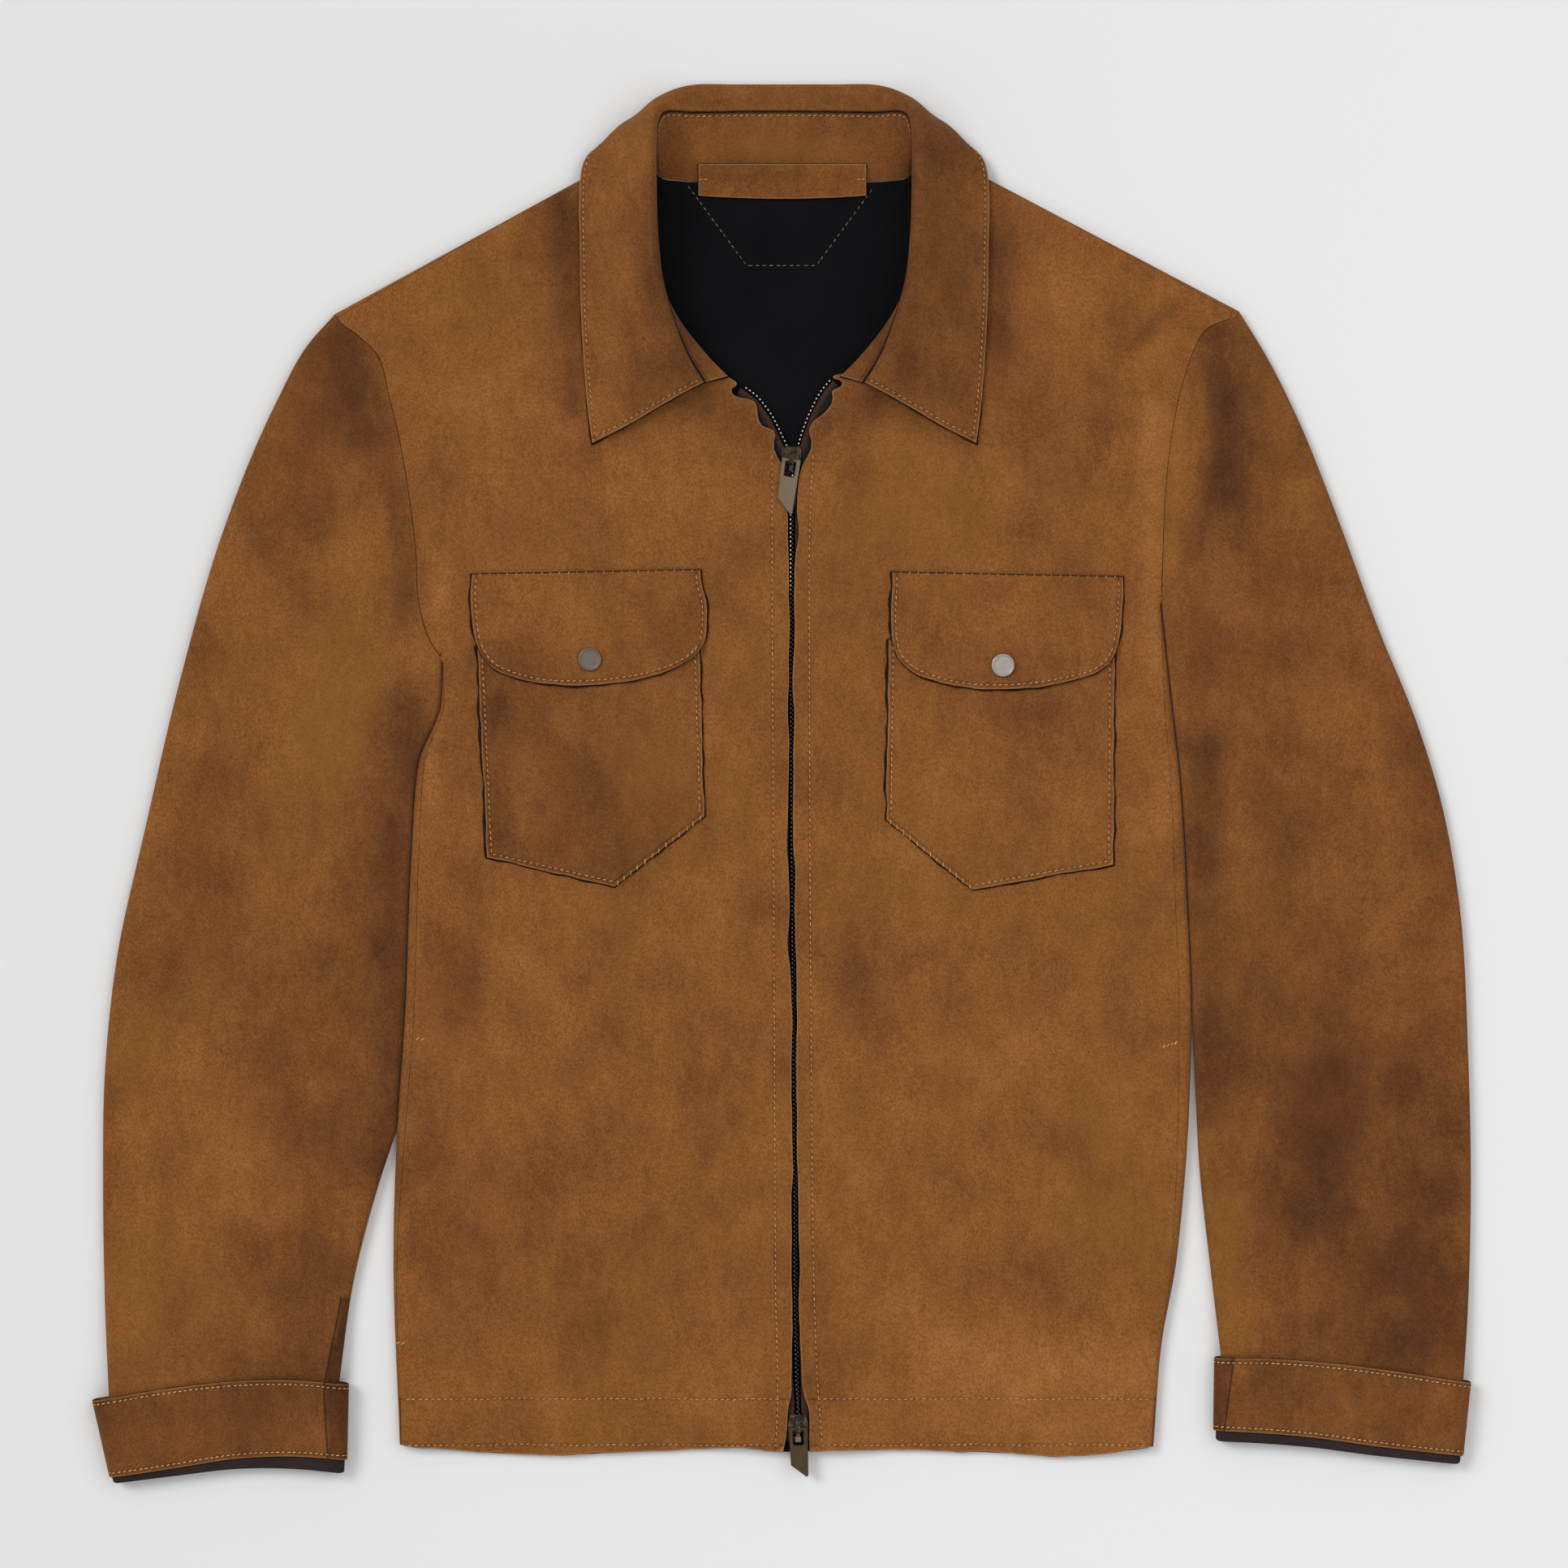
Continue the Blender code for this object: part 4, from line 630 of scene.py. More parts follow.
@dataclass
class Piece:
    """One piece of the visible garment: its mesh's corners and faces in millimetres."""

    name: str
    points: Array
    faces: Array
    parts: Array | None = None
    fields: dict[str, Array] = field(default_factory=dict)

    def build(self, finishes: list[bpy.types.Material], sharp: float = 35.0) -> bpy.types.Object:
        """Make the piece's object and let it ride on the garment.

        Args:
            finishes: its materials, in the order of the parts' numbers.
            sharp: the angle in degrees past which an edge stays sharp.

        Returns:
            The new object.
        """
        mesh = bpy.data.meshes.new(self.name)
        corners = np.asarray(self.faces, np.int32)
        mesh.vertices.add(len(self.points))
        mesh.vertices.foreach_set("co", (self.points * MM).astype(np.float32).ravel())
        mesh.loops.add(corners.size)
        mesh.loops.foreach_set("vertex_index", corners.ravel())
        mesh.polygons.add(len(corners))
        starts = np.arange(len(corners), dtype=np.int32) * corners.shape[1]
        mesh.polygons.foreach_set("loop_start", starts)
        for finish in finishes:
            mesh.materials.append(finish)
        if self.parts is not None:
            mesh.polygons.foreach_set("material_index", np.asarray(self.parts, np.int32))
        mesh.update(calc_edges=True)
        mesh.validate()
        for name, values in self.fields.items():
            kind, slot = ("FLOAT", "value") if values.ndim == 1 else ("FLOAT_VECTOR", "vector")
            layer = mesh.attributes.new(name, kind, "POINT")
            layer.data.foreach_set(slot, values.astype(np.float32).ravel())
        mesh.shade_smooth()
        mesh.set_sharp_from_angle(angle=math.radians(sharp))
        piece = bpy.data.objects.new(self.name, mesh)
        bpy.context.collection.objects.link(piece)
        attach(piece, "garment")
        LOG.info("%s: %d faces", self.name, len(corners))
        return piece


SHOWN_MEAN = 0.75       # share of what is asked for that the dark inner cloth, also painted shade, shows past a raw edge
SHOWN_PLAY = 0.35       # and how much that share changes along the edge
SHOWN_WAVES = (7.3, 3.9)    # millimetres along the edge for a radian of its two waves


@dataclass
class Marks:
    """What the finishes read at each point of a wall's outer grid."""

    # tone also carries the painted shade and painted highlights of the stroke tables
    tone: Array | float = 0.0           # how much lighter the suede is, darker below 0
    warm: Array | float = 0.0           # how much yellower it is, redder below 0
    free: tuple[Edge, ...] = ()         # the raw edges, for the distance from them
    lines: tuple[Array, ...] = ()       # distances from up to three rows of stitches
    joints: tuple[Edge, ...] = ()       # the edges that show as a dark line beside their neighbour
    seam: Array | float = FAR           # distance from one more seam, below 0 on its other side
    # how far the black inner cloth shows past raw edges: partly the real cloth, partly painted shade along
    # the edge
    shown: dict[Edge, float] = field(default_factory=dict)

    def fields(self, outer: Array) -> dict[str, Array]:
        """Give them as values for each point of a grid."""
        shape = outer.shape[:2]
        lines = list(self.lines) + [np.full(shape, FAR)] * (3 - len(self.lines))
        return {
            "tone": np.broadcast_to(self.tone, shape),
            "warm": np.broadcast_to(self.warm, shape),
            "rim": Surface(outer, outer).rim(self.free),
            "joint": Surface(outer, outer).rim(self.joints),
            "seam": np.broadcast_to(self.seam, shape),
            "lines": np.stack(lines, axis=-1),
        }

    def with_shown(self, inner: Array) -> Array:
        """Move the inner face's raw edges outwards, by an amount that changes along them: a dark line that is
        partly the inner cloth and partly painted shade.
        """
        inner = inner.copy()
        for edge, show in self.shown.items():
            grid = inner if edge.is_row else inner.swapaxes(0, 1)
            last, before = (-1, -2) if edge.is_last else (0, 1)
            way = grid[last] - grid[before]
            way /= np.linalg.norm(way, axis=1, keepdims=True)
            along = lengths_along(grid[last])
            waves = np.sin(along / SHOWN_WAVES[0] + edge.value) * np.sin(along / SHOWN_WAVES[1])
            grid[last] += way * (show * (SHOWN_MEAN + SHOWN_PLAY * waves))[:, None]
        return inner


def wall(name: str, outer: Array, inner: Array, marks: Marks, closed: bool = False) -> Piece:
    """Close two grids of points into one wall of cloth.

    The outer grid, the inner one turned over, and strips that join their edges.

    Args:
        name: the piece's name.
        outer: the outer face, rows by columns.
        inner: the inner face.
        marks: what the finishes read on the outer face, which the inner one repeats.
        closed: whether the last column joins the first, as round a tube.

    Returns:
        The piece, with the parts of Face.
    """
    rows, columns = outer.shape[:2]
    fields = marks.fields(outer)
    inner = marks.with_shown(inner)
    behind = rows * columns
    face = quad_faces(rows, columns, closed)
    corner = np.arange(behind).reshape(rows, columns)
    rims = []
    for line, turned in ((corner[0], False), (corner[-1], True)):
        line = np.append(line, line[0]) if closed else line
        rims.append(line[::-1] if turned else line)
    if not closed:
        rims += [corner[::-1, 0], corner[:, -1]]
    strips = [np.stack([a[:-1], a[:-1] + behind, a[1:] + behind, a[1:]], axis=-1) for a in rims]
    faces = np.vstack([face, face[:, ::-1] + behind] + strips)
    if not facing_up(outer, inner):
        faces = faces[:, ::-1]
    parts = np.full(len(faces), Face.RIM.value)
    parts[:len(face)] = Face.OUTER.value
    parts[len(face):2 * len(face)] = Face.INNER.value
    points = np.vstack([outer.reshape(-1, 3), inner.reshape(-1, 3)])
    spread = {key: np.concatenate([value.reshape(behind, -1)] * 2).squeeze() for key, value in fields.items()}
    return Piece(name, points, faces, parts, spread)


def round_rims(piece: bpy.types.Object) -> None:
    """Round the cut edges of a wall by a bevel."""
    rounding = piece.modifiers.new("Rounding", "BEVEL")
    rounding.width = RIM_ROUNDING * MM
    rounding.segments = 2
    rounding.limit_method = "ANGLE"
    rounding.angle_limit = math.radians(50)
    rounding.harden_normals = False


# Stitches


@dataclass(frozen=True)
class Stitch:
    """One kind of stitch: its step along the seam, its own size and its slant in degrees."""

    pitch: float = 3.35
    length: float = 2.0
    width: float = 0.55
    slant: float = 9.0


NECK_STITCH = Stitch(3.6, 2.0, 0.36, 4.0)
CUFF_STITCH = Stitch(3.0, 1.85, 0.55, 6.0)
WHIP_STITCH = Stitch(4.5, 2.7, 0.6, 112.0)
FLAP_WHIP = Stitch(4.7, 1.3, 0.42, 76.0)
TACK_STITCH = Stitch(2.1, 2.4, 0.8, 38.0)
TACK_POINTS = 12        # along a bartack


@dataclass(frozen=True)
class Bartack:
    """A few thick stitches that close the end of a seam."""

    side: Side
    start: Pair
    end: Pair
    kind: Stitch = TACK_STITCH

    def line(self) -> Array:
        """Give the line that its stitches lie along."""
        return np.linspace(self.start, self.end, TACK_POINTS)


BARTACKS = (
    Bartack(Side.LEFT, (-201.0, -139.6), (-195.2, -140.2)),
    Bartack(Side.LEFT, (-211.2, -306.0), (-205.8, -306.4)),
    Bartack(Side.RIGHT, (208.0, -144.2), (216.2, -141.8)),
    Bartack(Side.LEFT, (-43.7, 117.4), (-42.7, 117.4), Stitch(1.2, 4.6, 0.7, 92.0)),
)
NECK_POINTS = 60        # along each stretch of the outline that is sewn below the neck
NECK_OUTLINE = ((-52.2, 328.0), (-19.6, 283.7), (18.6, 283.7), (49.6, 326.0))


@dataclass
class Stitching:
    """Sewing thread on one sub-assembly: each stitch is a short rounded bar in the cloth."""

    name: str
    sunk: float = 0.1           # how deep the middle of a stitch lies under its own half height
    flatness: float = 0.7       # a stitch's height against its width
    place_play: float = 0.05    # of a stitch's place, as a share of its step
    turn_play: float = 3.0      # of its slant, in degrees
    size_play: float = 0.06     # of its length, as a share
    probe: float = 0.4          # to both sides of a stitch, for the way the seam runs
    seed: int = 11
    copies: list[tuple[Array, Array, Array, Array]] = field(default_factory=list)

    def row(self, points: Array, normals: Array, kind: Stitch = Stitch()) -> None:
        """Add stitches at even steps along a line, each with a little play.

        Args:
            points: the line on the cloth.
            normals: the cloth's unit normals there.
            kind: the stitches' sizes.
        """
        reach = lengths_along(points)
        count = int(reach[-1] / kind.pitch)
        if count < 1:
            return
        draw = np.random.default_rng(self.seed + len(self.copies))
        play = draw.normal(0, self.place_play * kind.pitch, count)
        where = (np.arange(count) + 0.5) * reach[-1] / count + play
        middle = read_at(reach, points, where)
        up = read_at(reach, normals, where)
        ahead = read_at(reach, points, where + self.probe) - read_at(reach, points, where - self.probe)
        ahead -= up * np.sum(ahead * up, axis=1, keepdims=True)
        ahead /= np.linalg.norm(ahead, axis=1, keepdims=True)
        across = np.cross(up, ahead)
        turn = np.radians(kind.slant + draw.normal(0, self.turn_play, count))[:, None]
        cos, sin = np.cos(turn), np.sin(turn)
        ahead, across = cos * ahead + sin * across, cos * across - sin * ahead
        size = draw.normal(1.0, self.size_play, (count, 1))
        thick = kind.width * self.flatness
        places = middle + up * (thick / 2 - self.sunk)
        self.copies.append((places, ahead * kind.length * size, across * kind.width, up * thick))

    def build(self, finish: bpy.types.Material) -> None:
        """Make all the stitches as one piece.

        Args:
            finish: the thread's finish.
        """
        hexagon = np.radians(np.arange(30, 390, 60))
        ring = tuple((math.cos(turn) / 2, math.sin(turn) / 2) for turn in hexagon)
        ends = ((-0.5, 0.3), (-0.38, 0.85), (0.0, 1.0), (0.38, 0.85), (0.5, 0.3))
        every = [np.concatenate(parts) for parts in zip(*self.copies)]
        piece = Piece(self.name, *swarm(*block(ring, ends), *every)).build([finish], sharp=60.0)


# Body


@dataclass(frozen=True)
class Half:
    """One half of the body as cut and laid, seen from above."""

    side: Side
    levels: tuple[float, ...]       # of the side seam, from the hem to the armpit
    outline: tuple[float, ...]      # X of the body's outline there
    seam_inset: tuple[float, ...]   # how far in from it the seam lies on the upper layer
    armhole: Line                   # from the armpit up to the shoulder line
    neck_point: Pair
    hem: Line                       # from the side to the zip
    opening: Line                   # the wavy edge beside the open zip

    def side_outline(self, y: Array) -> Array:
        """Read the body's outline at a height, past the armpit the armhole seam."""
        seam = np.array(self.armhole)
        below = smooth(self.levels, self.outline, np.ravel(y)).reshape(np.shape(y))
        above = np.interp(y, seam[:, 1], seam[:, 0])
        return np.where(np.asarray(y) > self.levels[-1], above, below)

    def shoulder_line(self) -> tuple[Array, Array]:
        """Give the shoulder fold's start at the sleeve and its outward direction."""
        start = np.array(self.armhole[-1], float)
        along = np.array(self.neck_point, float) - start
        outward = np.array([-along[1], along[0]]) / np.linalg.norm(along)
        return start, outward * np.sign(outward[1])

    def past_fold(self, plan: Array) -> tuple[Array, Array, Array]:
        """Work out how far points lie past the nearest fold of this half.

        Args:
            plan: points seen from above.

        Returns:
            The distance outwards, the outward direction and the fold's radius.
        """
        armpit = np.array(self.armhole[0], float)
        below = plan[..., 1] <= self.levels[-1] + 1e-6
        outline = self.side_outline(np.minimum(plan[..., 1], armpit[1]))
        beside = self.side.sign * (plan[..., 0] - outline)
        to_armpit = armpit - plan
        away = np.maximum(np.linalg.norm(to_armpit, axis=-1), 1e-9)
        side_past = np.where(below, beside, -away)
        straight = np.zeros_like(plan)
        straight[..., 0] = self.side.sign
        side_way = np.where(below[..., None], straight, to_armpit / away[..., None])
        start, outward = self.shoulder_line()
        shoulder_past = (plan - start) @ outward
        on_shoulder = shoulder_past > side_past
        past = np.where(on_shoulder, shoulder_past, side_past)
        way = np.where(on_shoulder[..., None], outward, side_way)
        return past, way, np.where(on_shoulder, SHOULDER_RADIUS, FOLD_RADIUS)

    def beside_shoulder(self, point: Array, past: float) -> Array:
        """Move a point square to the shoulder fold until it lies a distance past it."""
        start, outward = self.shoulder_line()
        return point + outward * (past - (point - start) @ outward)


LEFT_HALF = Half(
    Side.LEFT,
    (-362, -260, -190, -127, -40, 10, 45, 68.26),
    (-209.5, -213.0, -211.0, -206.8, -203.3, -199.5, -186.8, -186.0),
    (0.6, 2.2, 4.6, 5.2, 4.4, 3.6, 1.6, 0.0),
    ((-186, 68), (-188, 70.87), (-193, 78), (-198.6, 97), (-200.8, 130), (-204, 155), (-208, 180),
     (-215.5, 213), (-222, 235), (-233.5, 246), (-243.5, 254.2), (-245, 257)),
    (-75.7, 349.5),
    ((-209.5, -362), (-181, -365), (-135, -367.6), (-70, -365.6), (-24, -364), (0.4, -366)),
    ((-3.7, 190.6), (-4.8, 193.0), (-7.7, 194.3), (-10.7, 195.8), (-12.5, 198.4), (-13.5, 201.7),
     (-13.9, 205.4), (-15.1, 208.4), (-18.1, 209.9), (-23.2, 210.9), (-26.8, 212.5), (-27.9, 214.6),
     (-26.9, 216.4), (-25.0, 217.6), (-24.9, 219.0), (-26.6, 220.5)),
)
RIGHT_HALF = Half(
    Side.RIGHT,
    (-363, -306, -260, -127, -60, 0, 54, 100.6),
    (203.2, 207.8, 216.0, 224.0, 221.5, 218.0, 212.0, 207.0),
    (0.6, 0.6, 3.0, 7.0, 6.6, 5.6, 3.6, 0.0),
    ((207, 100), (207.3, 103.4), (207.8, 111), (208.4, 130), (209.6, 158), (213.4, 192), (219.4, 220),
     (226, 239), (231.5, 248.2), (241, 253), (248.5, 255.7), (250, 258.5)),
    (77.7, 349.35),
    ((203.2, -363), (167, -368), (110, -366.2), (69, -365), (15, -365.6)),
    ((14.8, 193.4), (16.8, 197.3), (21.2, 201.0), (24.9, 204.7), (27.0, 208.4), (27.3, 212.1),
     (27.1, 214.6), (30.1, 216.2), (32.4, 217.6), (32.6, 219.6), (30.6, 220.8), (28.4, 221.4),
     (27.6, 222.3), (28.6, 223.2)),
)


@dataclass(frozen=True)
class FrontEdgeRow:
    """The X of both fronts' edges beside the zip at a height."""

    y: float
    left: float
    right: float


@dataclass
class Body:
    """The back and both fronts: the fronts lie on the back, round folds at its edges."""

    collar: "Collar"
    halves: tuple[Half, Half] = (LEFT_HALF, RIGHT_HALF)
    side_count: int = 134           # rows up a side seam
    armhole_count: int = 66         # rows up an armhole
    shoulder_rows: int = 6          # of those, rows beside the shoulder fold
    opening_count: int = 40         # rows beside the open zip
    front_columns: int = 66
    back_columns: int = 150
    wrap_rows: int = 13             # of the back, over the shoulders
    shoulder_columns: int = 44      # of the back, along one shoulder
    closed_count: int = 130         # rows beside the shut zip
    neck_stations: tuple[int, int] = (12, 6)    # of the collar, along a front's neck edge
    neck_strip: float = 4.0
    armpit_start: float = 6.0       # below the armpit, where the side starts to rise to the armhole
    armpit_blend: float = 24.0      # over how far it does
    raw_shown: float = 0.35         # how far the inner cloth shows past the hem, a dark line that is also painted shade
    slit_inset: float = 0.3         # of the open ends' dark line
    hem_ends: Pair = (0.5, 1.5)     # left free by the hem's stitches at the side and at the zip
    shoulder_inset: float = 2.4     # of the shoulder seam from the outline at the sleeve
    fold_columns: tuple[float, ...] = (0, 0.9, 1.8, 2.7, 3.6, 4.6, 5.6, 6.6, 7.6, 8.8, 10.2, 12, 14.5)
    zip_columns: tuple[float, ...] = (0, 0.8, 2.4, 4.6, 7.2, 10, 13, 16, 19)
    closed_edges: tuple[FrontEdgeRow, ...] = table(
        FrontEdgeRow,
        (-366, 0.4, 15.0), (-357, 2.3, 14.9), (-344, 2.7, 14.5), (-332, 5.1, 11.2), (-318, 5.1, 10.4),
        (-300, 5.6, 9.6), (-283, 5.6, 9.1), (-265, 4.7, 9.5), (-247, 5.3, 9.0), (-229, 5.1, 9.0),
        (-211, 5.8, 8.2), (-176, 5.1, 7.8), (-140, 5.3, 7.8), (-105, 4.6, 7.8), (-87, 2.9, 7.3),
        (-69, 4.2, 6.9), (-51, 3.3, 6.9), (-33, 2.6, 6.1), (-16, 3.3, 6.0), (2, 3.3, 6.0), (20, 3.8, 6.1),
        (38, 2.9, 6.5), (56, 3.8, 5.7), (73, 3.7, 6.5), (91, 3.8, 6.5), (109, 3.6, 6.6), (119, 3.7, 6.8),
        (127, 3.4, 7.6), (137, 3.1, 9.3), (148, 2.9, 8.2), (160, 2.3, 8.2), (168, 1.0, 9.2),
        (175, -0.7, 11.3), (179.5, -3.1, 14.4), (183.5, -4.4, 16.0), (187.3, -4.4, 16.2),
    )
    zip_stitches: tuple[FrontEdgeRow, ...] = table(
        FrontEdgeRow,
        (-361, -3.6, 21.8), (-337, -2.6, 19.9), (-310, -2.9, 18.4), (-283, -3.6, 17.5), (-120, -4.4, 15.6),
        (20, -5.2, 14.9), (118, -5.6, 14.7), (152, -5.6, 15.4), (180, -5.6, 16.9),
    )
    hem_stitches: Pair = (-362.2, -337.0)
    slit_top: float = -335.0        # of the open ends of the side seams

    def half(self, side: Side) -> Half:
        """Give one half's sizes."""
        return self.halves[0 if side is Side.LEFT else 1]

    def front_edge(self, side: Side, y: Array) -> Array:
        """Read the X of a front's edge beside the zip, opening towards the collar."""
        opened = self.half(side).opening
        knots = [row.y for row in self.closed_edges] + [opened[0][1], opened[-1][1]]
        edge = [getattr(row, side.word) for row in self.closed_edges]
        edge += [opened[0][0], opened[-1][0]]
        return smooth(knots, edge, np.ravel(y)).reshape(np.shape(y))

    def upper_height(self, side: Side, plan: Array) -> Array:
        """Work out the height of a front's outer face: low, and climbing to its edges."""
        half = self.half(side)
        y = plan[..., 1]
        from_side = side.sign * (half.side_outline(y) - plan[..., 0]) - FOLD_RADIUS
        above = ease((y - half.levels[-1] + self.armpit_start) / self.armpit_blend)
        side_height = 2 * FOLD_RADIUS + (ARMHOLE_HEIGHT - 2 * FOLD_RADIUS) * above
        start, outward = half.shoulder_line()
        from_shoulder = -(plan - start) @ outward - SHOULDER_RADIUS
        from_zip = side.sign * (plan[..., 0] - self.front_edge(side, y)) - ZIP_SHELF
        edges = [
            (side_height, from_side), (2 * SHOULDER_RADIUS, from_shoulder), (ZIP_HEIGHT, from_zip),
        ]
        return draped_height(REST_HEIGHT, edges, plan)

    def top(self, plan: Array) -> Array:
        """Work out the height of the body's top face at points seen from above, 0 beside it."""
        heights = []
        for side in Side:
            past, _, radius = self.half(side).past_fold(plan)
            inside = np.clip(past + radius, 0, radius)
            rounded = radius + np.sqrt(np.maximum(radius**2 - inside**2, 0))
            upper = np.where(past > -radius, rounded, self.upper_height(side, plan))
            heights.append(np.where(past > 0, 0.0, upper))
        return np.where(plan[..., 0] < self.collar.centre, heights[0], heights[1])

    def laid(self, side: Side, cut: Array, depth: float, upper: bool) -> Array:
        """Lay points of a flat cut down, and round the folds where they pass them.

        On a fold the length past its start becomes an angle round its radius. Beyond half
        a turn the cloth lies straight again, on the other layer.

        Args:
            side: the half of the body.
            cut: the flat cut's points.
            depth: how far inside the outer face the points lie.
            upper: whether the cut starts on the upper layer.

        Returns:
            The points in space.
        """
        past, way, radius = self.half(side).past_fold(cut)
        turned = np.clip(past + radius, 0, math.pi * radius) / radius
        beyond = np.maximum(past + radius - math.pi * radius, 0.0)
        on_fold = past > -radius
        shift = np.where(on_fold, -radius + (radius - depth) * np.sin(turned) - beyond - past, 0.0)
        plan = cut + way * shift[..., None]
        arc = (radius - depth) * np.cos(turned)
        height = self.upper_height(side, plan) - depth
        if upper:
            z = np.where(on_fold, radius + arc, height)
        else:
            z = np.where(on_fold, np.where(beyond > 0, height, radius - arc), depth)
        return raised(plan, z)

    @staticmethod
    def seam_past(inset: Array, radius: float, upper: bool) -> Array:
        """Turn a seam's inset from the outline into the cut's distance past the fold."""
        around = np.arcsin(np.clip(1 - inset / radius, 0, 1)) * radius
        straight = np.maximum(inset - radius, 0.0)
        if upper:
            return -radius + around - straight - SEAM / 2
        return -radius + math.pi * radius - around + straight - SEAM / 2

    def side_edge(self, side: Side, upper: bool) -> Array:
        """Make the cut's edge from the hem up the side seam to the armpit."""
        half = self.half(side)
        y = np.linspace(half.levels[0], half.levels[-1], self.side_count)
        outline = smooth(half.levels, half.outline, y)
        inset = smooth(half.levels, half.seam_inset, y)
        return np.stack([outline + side.sign * self.seam_past(inset, FOLD_RADIUS, upper), y], axis=1)

    def armhole_edge(self, side: Side, towards: float, count: int) -> Array:
        """Make the line beside the armhole seam, from the armpit up to the shoulder fold.

        Args:
            side: the half of the body.
            towards: 1 for the sleeve's edge, -1 for the body's.
            count: how many points.

        Returns:
            The line's points.
        """
        seam = line_through(np.array(self.half(side).armhole, float), count)
        return moved_aside(seam, side.sign * towards * SEAM / 2)

    def front_cut(self, side: Side) -> Array:
        """Make a front's flat cut, rows from hem to shoulder, columns from the side to the zip."""
        half = self.half(side)
        armhole = self.armhole_edge(side, -1, self.armhole_count)
        past = self.seam_past(self.shoulder_inset, SHOULDER_RADIUS, True)
        armhole[-1] = half.beside_shoulder(armhole[-2], past)
        outer = joined(self.side_edge(side, True), armhole)
        y = np.linspace(self.closed_edges[0].y, self.closed_edges[-1].y, self.closed_count)
        closed = np.stack([self.front_edge(side, y), y], axis=1)
        wavy = np.vstack([closed[-1:], np.array(half.opening, float)])
        opening = line_through(wavy, self.opening_count)
        rest = len(outer) - len(closed) - len(opening) + 2
        stations = np.linspace(*self.neck_stations, rest - self.shoulder_rows)
        neck = self.collar.neck_edge(side, stations, -1)
        past = self.seam_past(0.0, SHOULDER_RADIUS, True)
        end = half.beside_shoulder(np.array(half.neck_point, float), past)
        neck = joined(neck, np.linspace(neck[-1], end, self.shoulder_rows + 1))
        neck[0] = opening[-1]
        inner = joined(wavered(joined(closed, opening), amount=0.2, seed=5), neck)
        shoulder = np.linspace(outer[-1], inner[-1], EDGE_POINTS)
        hem = wavered(line_through(half.hem, EDGE_POINTS), amount=0.3, seed=3)
        hem[0], hem[-1] = outer[0], inner[0]
        width = np.linalg.norm(inner - outer, axis=1)
        u = self.spaced_shares(width, self.fold_columns, self.zip_columns, self.front_columns)
        return grid_between(outer, inner, hem, shoulder, u)

    @staticmethod
    def spaced_shares(width: Array, near_first: tuple[float, ...], near_last: tuple[float, ...],
                      count: int) -> Array:
        """Space columns at set distances from both ends of each row, evenly between.

        Args:
            width: each row's length.
            near_first: distances from the first column.
            near_last: distances from the last column.
            count: how many columns in all.

        Returns:
            The share of the row's length at each row and column.
        """
        first = np.array(near_first, float)
        last = np.array(near_last, float)[::-1]
        between = np.linspace(0, 1, count - len(first) - len(last) + 2)[1:-1]
        width = width[:, None]
        low, high = first[-1] / width, 1 - last[0] / width
        return np.concatenate([first / width, low + (high - low) * between, 1 - last / width], axis=1)

    def back_cut(self) -> Array:
        """Make the back's flat cut, with what goes round the sides and over the shoulders."""
        at_sleeve = self.seam_past(self.shoulder_inset, SHOULDER_RADIUS, False)
        at_neck = self.seam_past(0.0, SHOULDER_RADIUS, False)
        edges, tops, seams, hems = [], [], [], []
        for side in Side:
            half = self.half(side)
            armhole = self.armhole_edge(side, -1, self.armhole_count + 1)[:-1]
            edges.append(joined(self.side_edge(side, False), armhole))
            count = self.back_columns // 2 - self.shoulder_columns + 1
            neck = self.collar.neck_edge(side, np.linspace(self.collar.corner, 0, count), 1)
            foot = neck - np.array([0.0, self.neck_strip])
            point = np.array(half.neck_point, float)
            foot[0] = half.beside_shoulder(point, -SHOULDER_RADIUS)
            neck[0] = half.beside_shoulder(point, at_neck)
            shoulder_foot = np.linspace(armhole[-1], foot[0], self.shoulder_columns)
            at_seam = half.beside_shoulder(armhole[-1], at_sleeve)
            shoulder = np.linspace(at_seam, neck[0], self.shoulder_columns)
            tops.append(joined(shoulder_foot, foot))
            seams.append(joined(shoulder, neck))
            hems.append(np.vstack([edges[-1][:1], np.array(half.hem, float)[1:]]))
        top = joined(tops[0], tops[1][::-1])
        seam = joined(seams[0], seams[1][::-1])
        low = line_through(np.vstack([hems[0], hems[1][::-1]]), 2 * EDGE_POINTS)
        low[0], low[-1] = edges[0][0], edges[1][0]
        own = lengths_along(top) / lengths_along(top)[-1]
        width = np.linalg.norm(edges[1] - edges[0], axis=1)
        u = self.spaced_shares(width, self.fold_columns, self.fold_columns, len(top))
        keep = ease((np.arange(len(width)) - self.side_count + 1) / (self.armhole_count - 1))[:, None]
        cut = grid_between(edges[0], edges[1], low, top, (1 - keep) * u + keep * own)
        share = np.linspace(0, 1, self.wrap_rows)[1:, None, None]
        return np.concatenate([cut, (1 - share) * top[None] + share * seam[None]])

    def laid_back(self, depth: float) -> Array:
        """Lay the back's cut down at a depth inside its outer face."""
        cut = self.back_cut()
        half = cut.shape[1] // 2
        left = self.laid(Side.LEFT, cut[:, :half], depth, False)
        right = self.laid(Side.RIGHT, cut[:, half:], depth, False)
        return np.concatenate([left, right], axis=1)

    def stitch_x(self, side: Side, y: Array) -> Array:
        """Read the X of the row of stitches beside the zip."""
        values = [getattr(row, side.word) for row in self.zip_stitches]
        return smooth([row.y for row in self.zip_stitches], values, np.ravel(y)).reshape(np.shape(y))

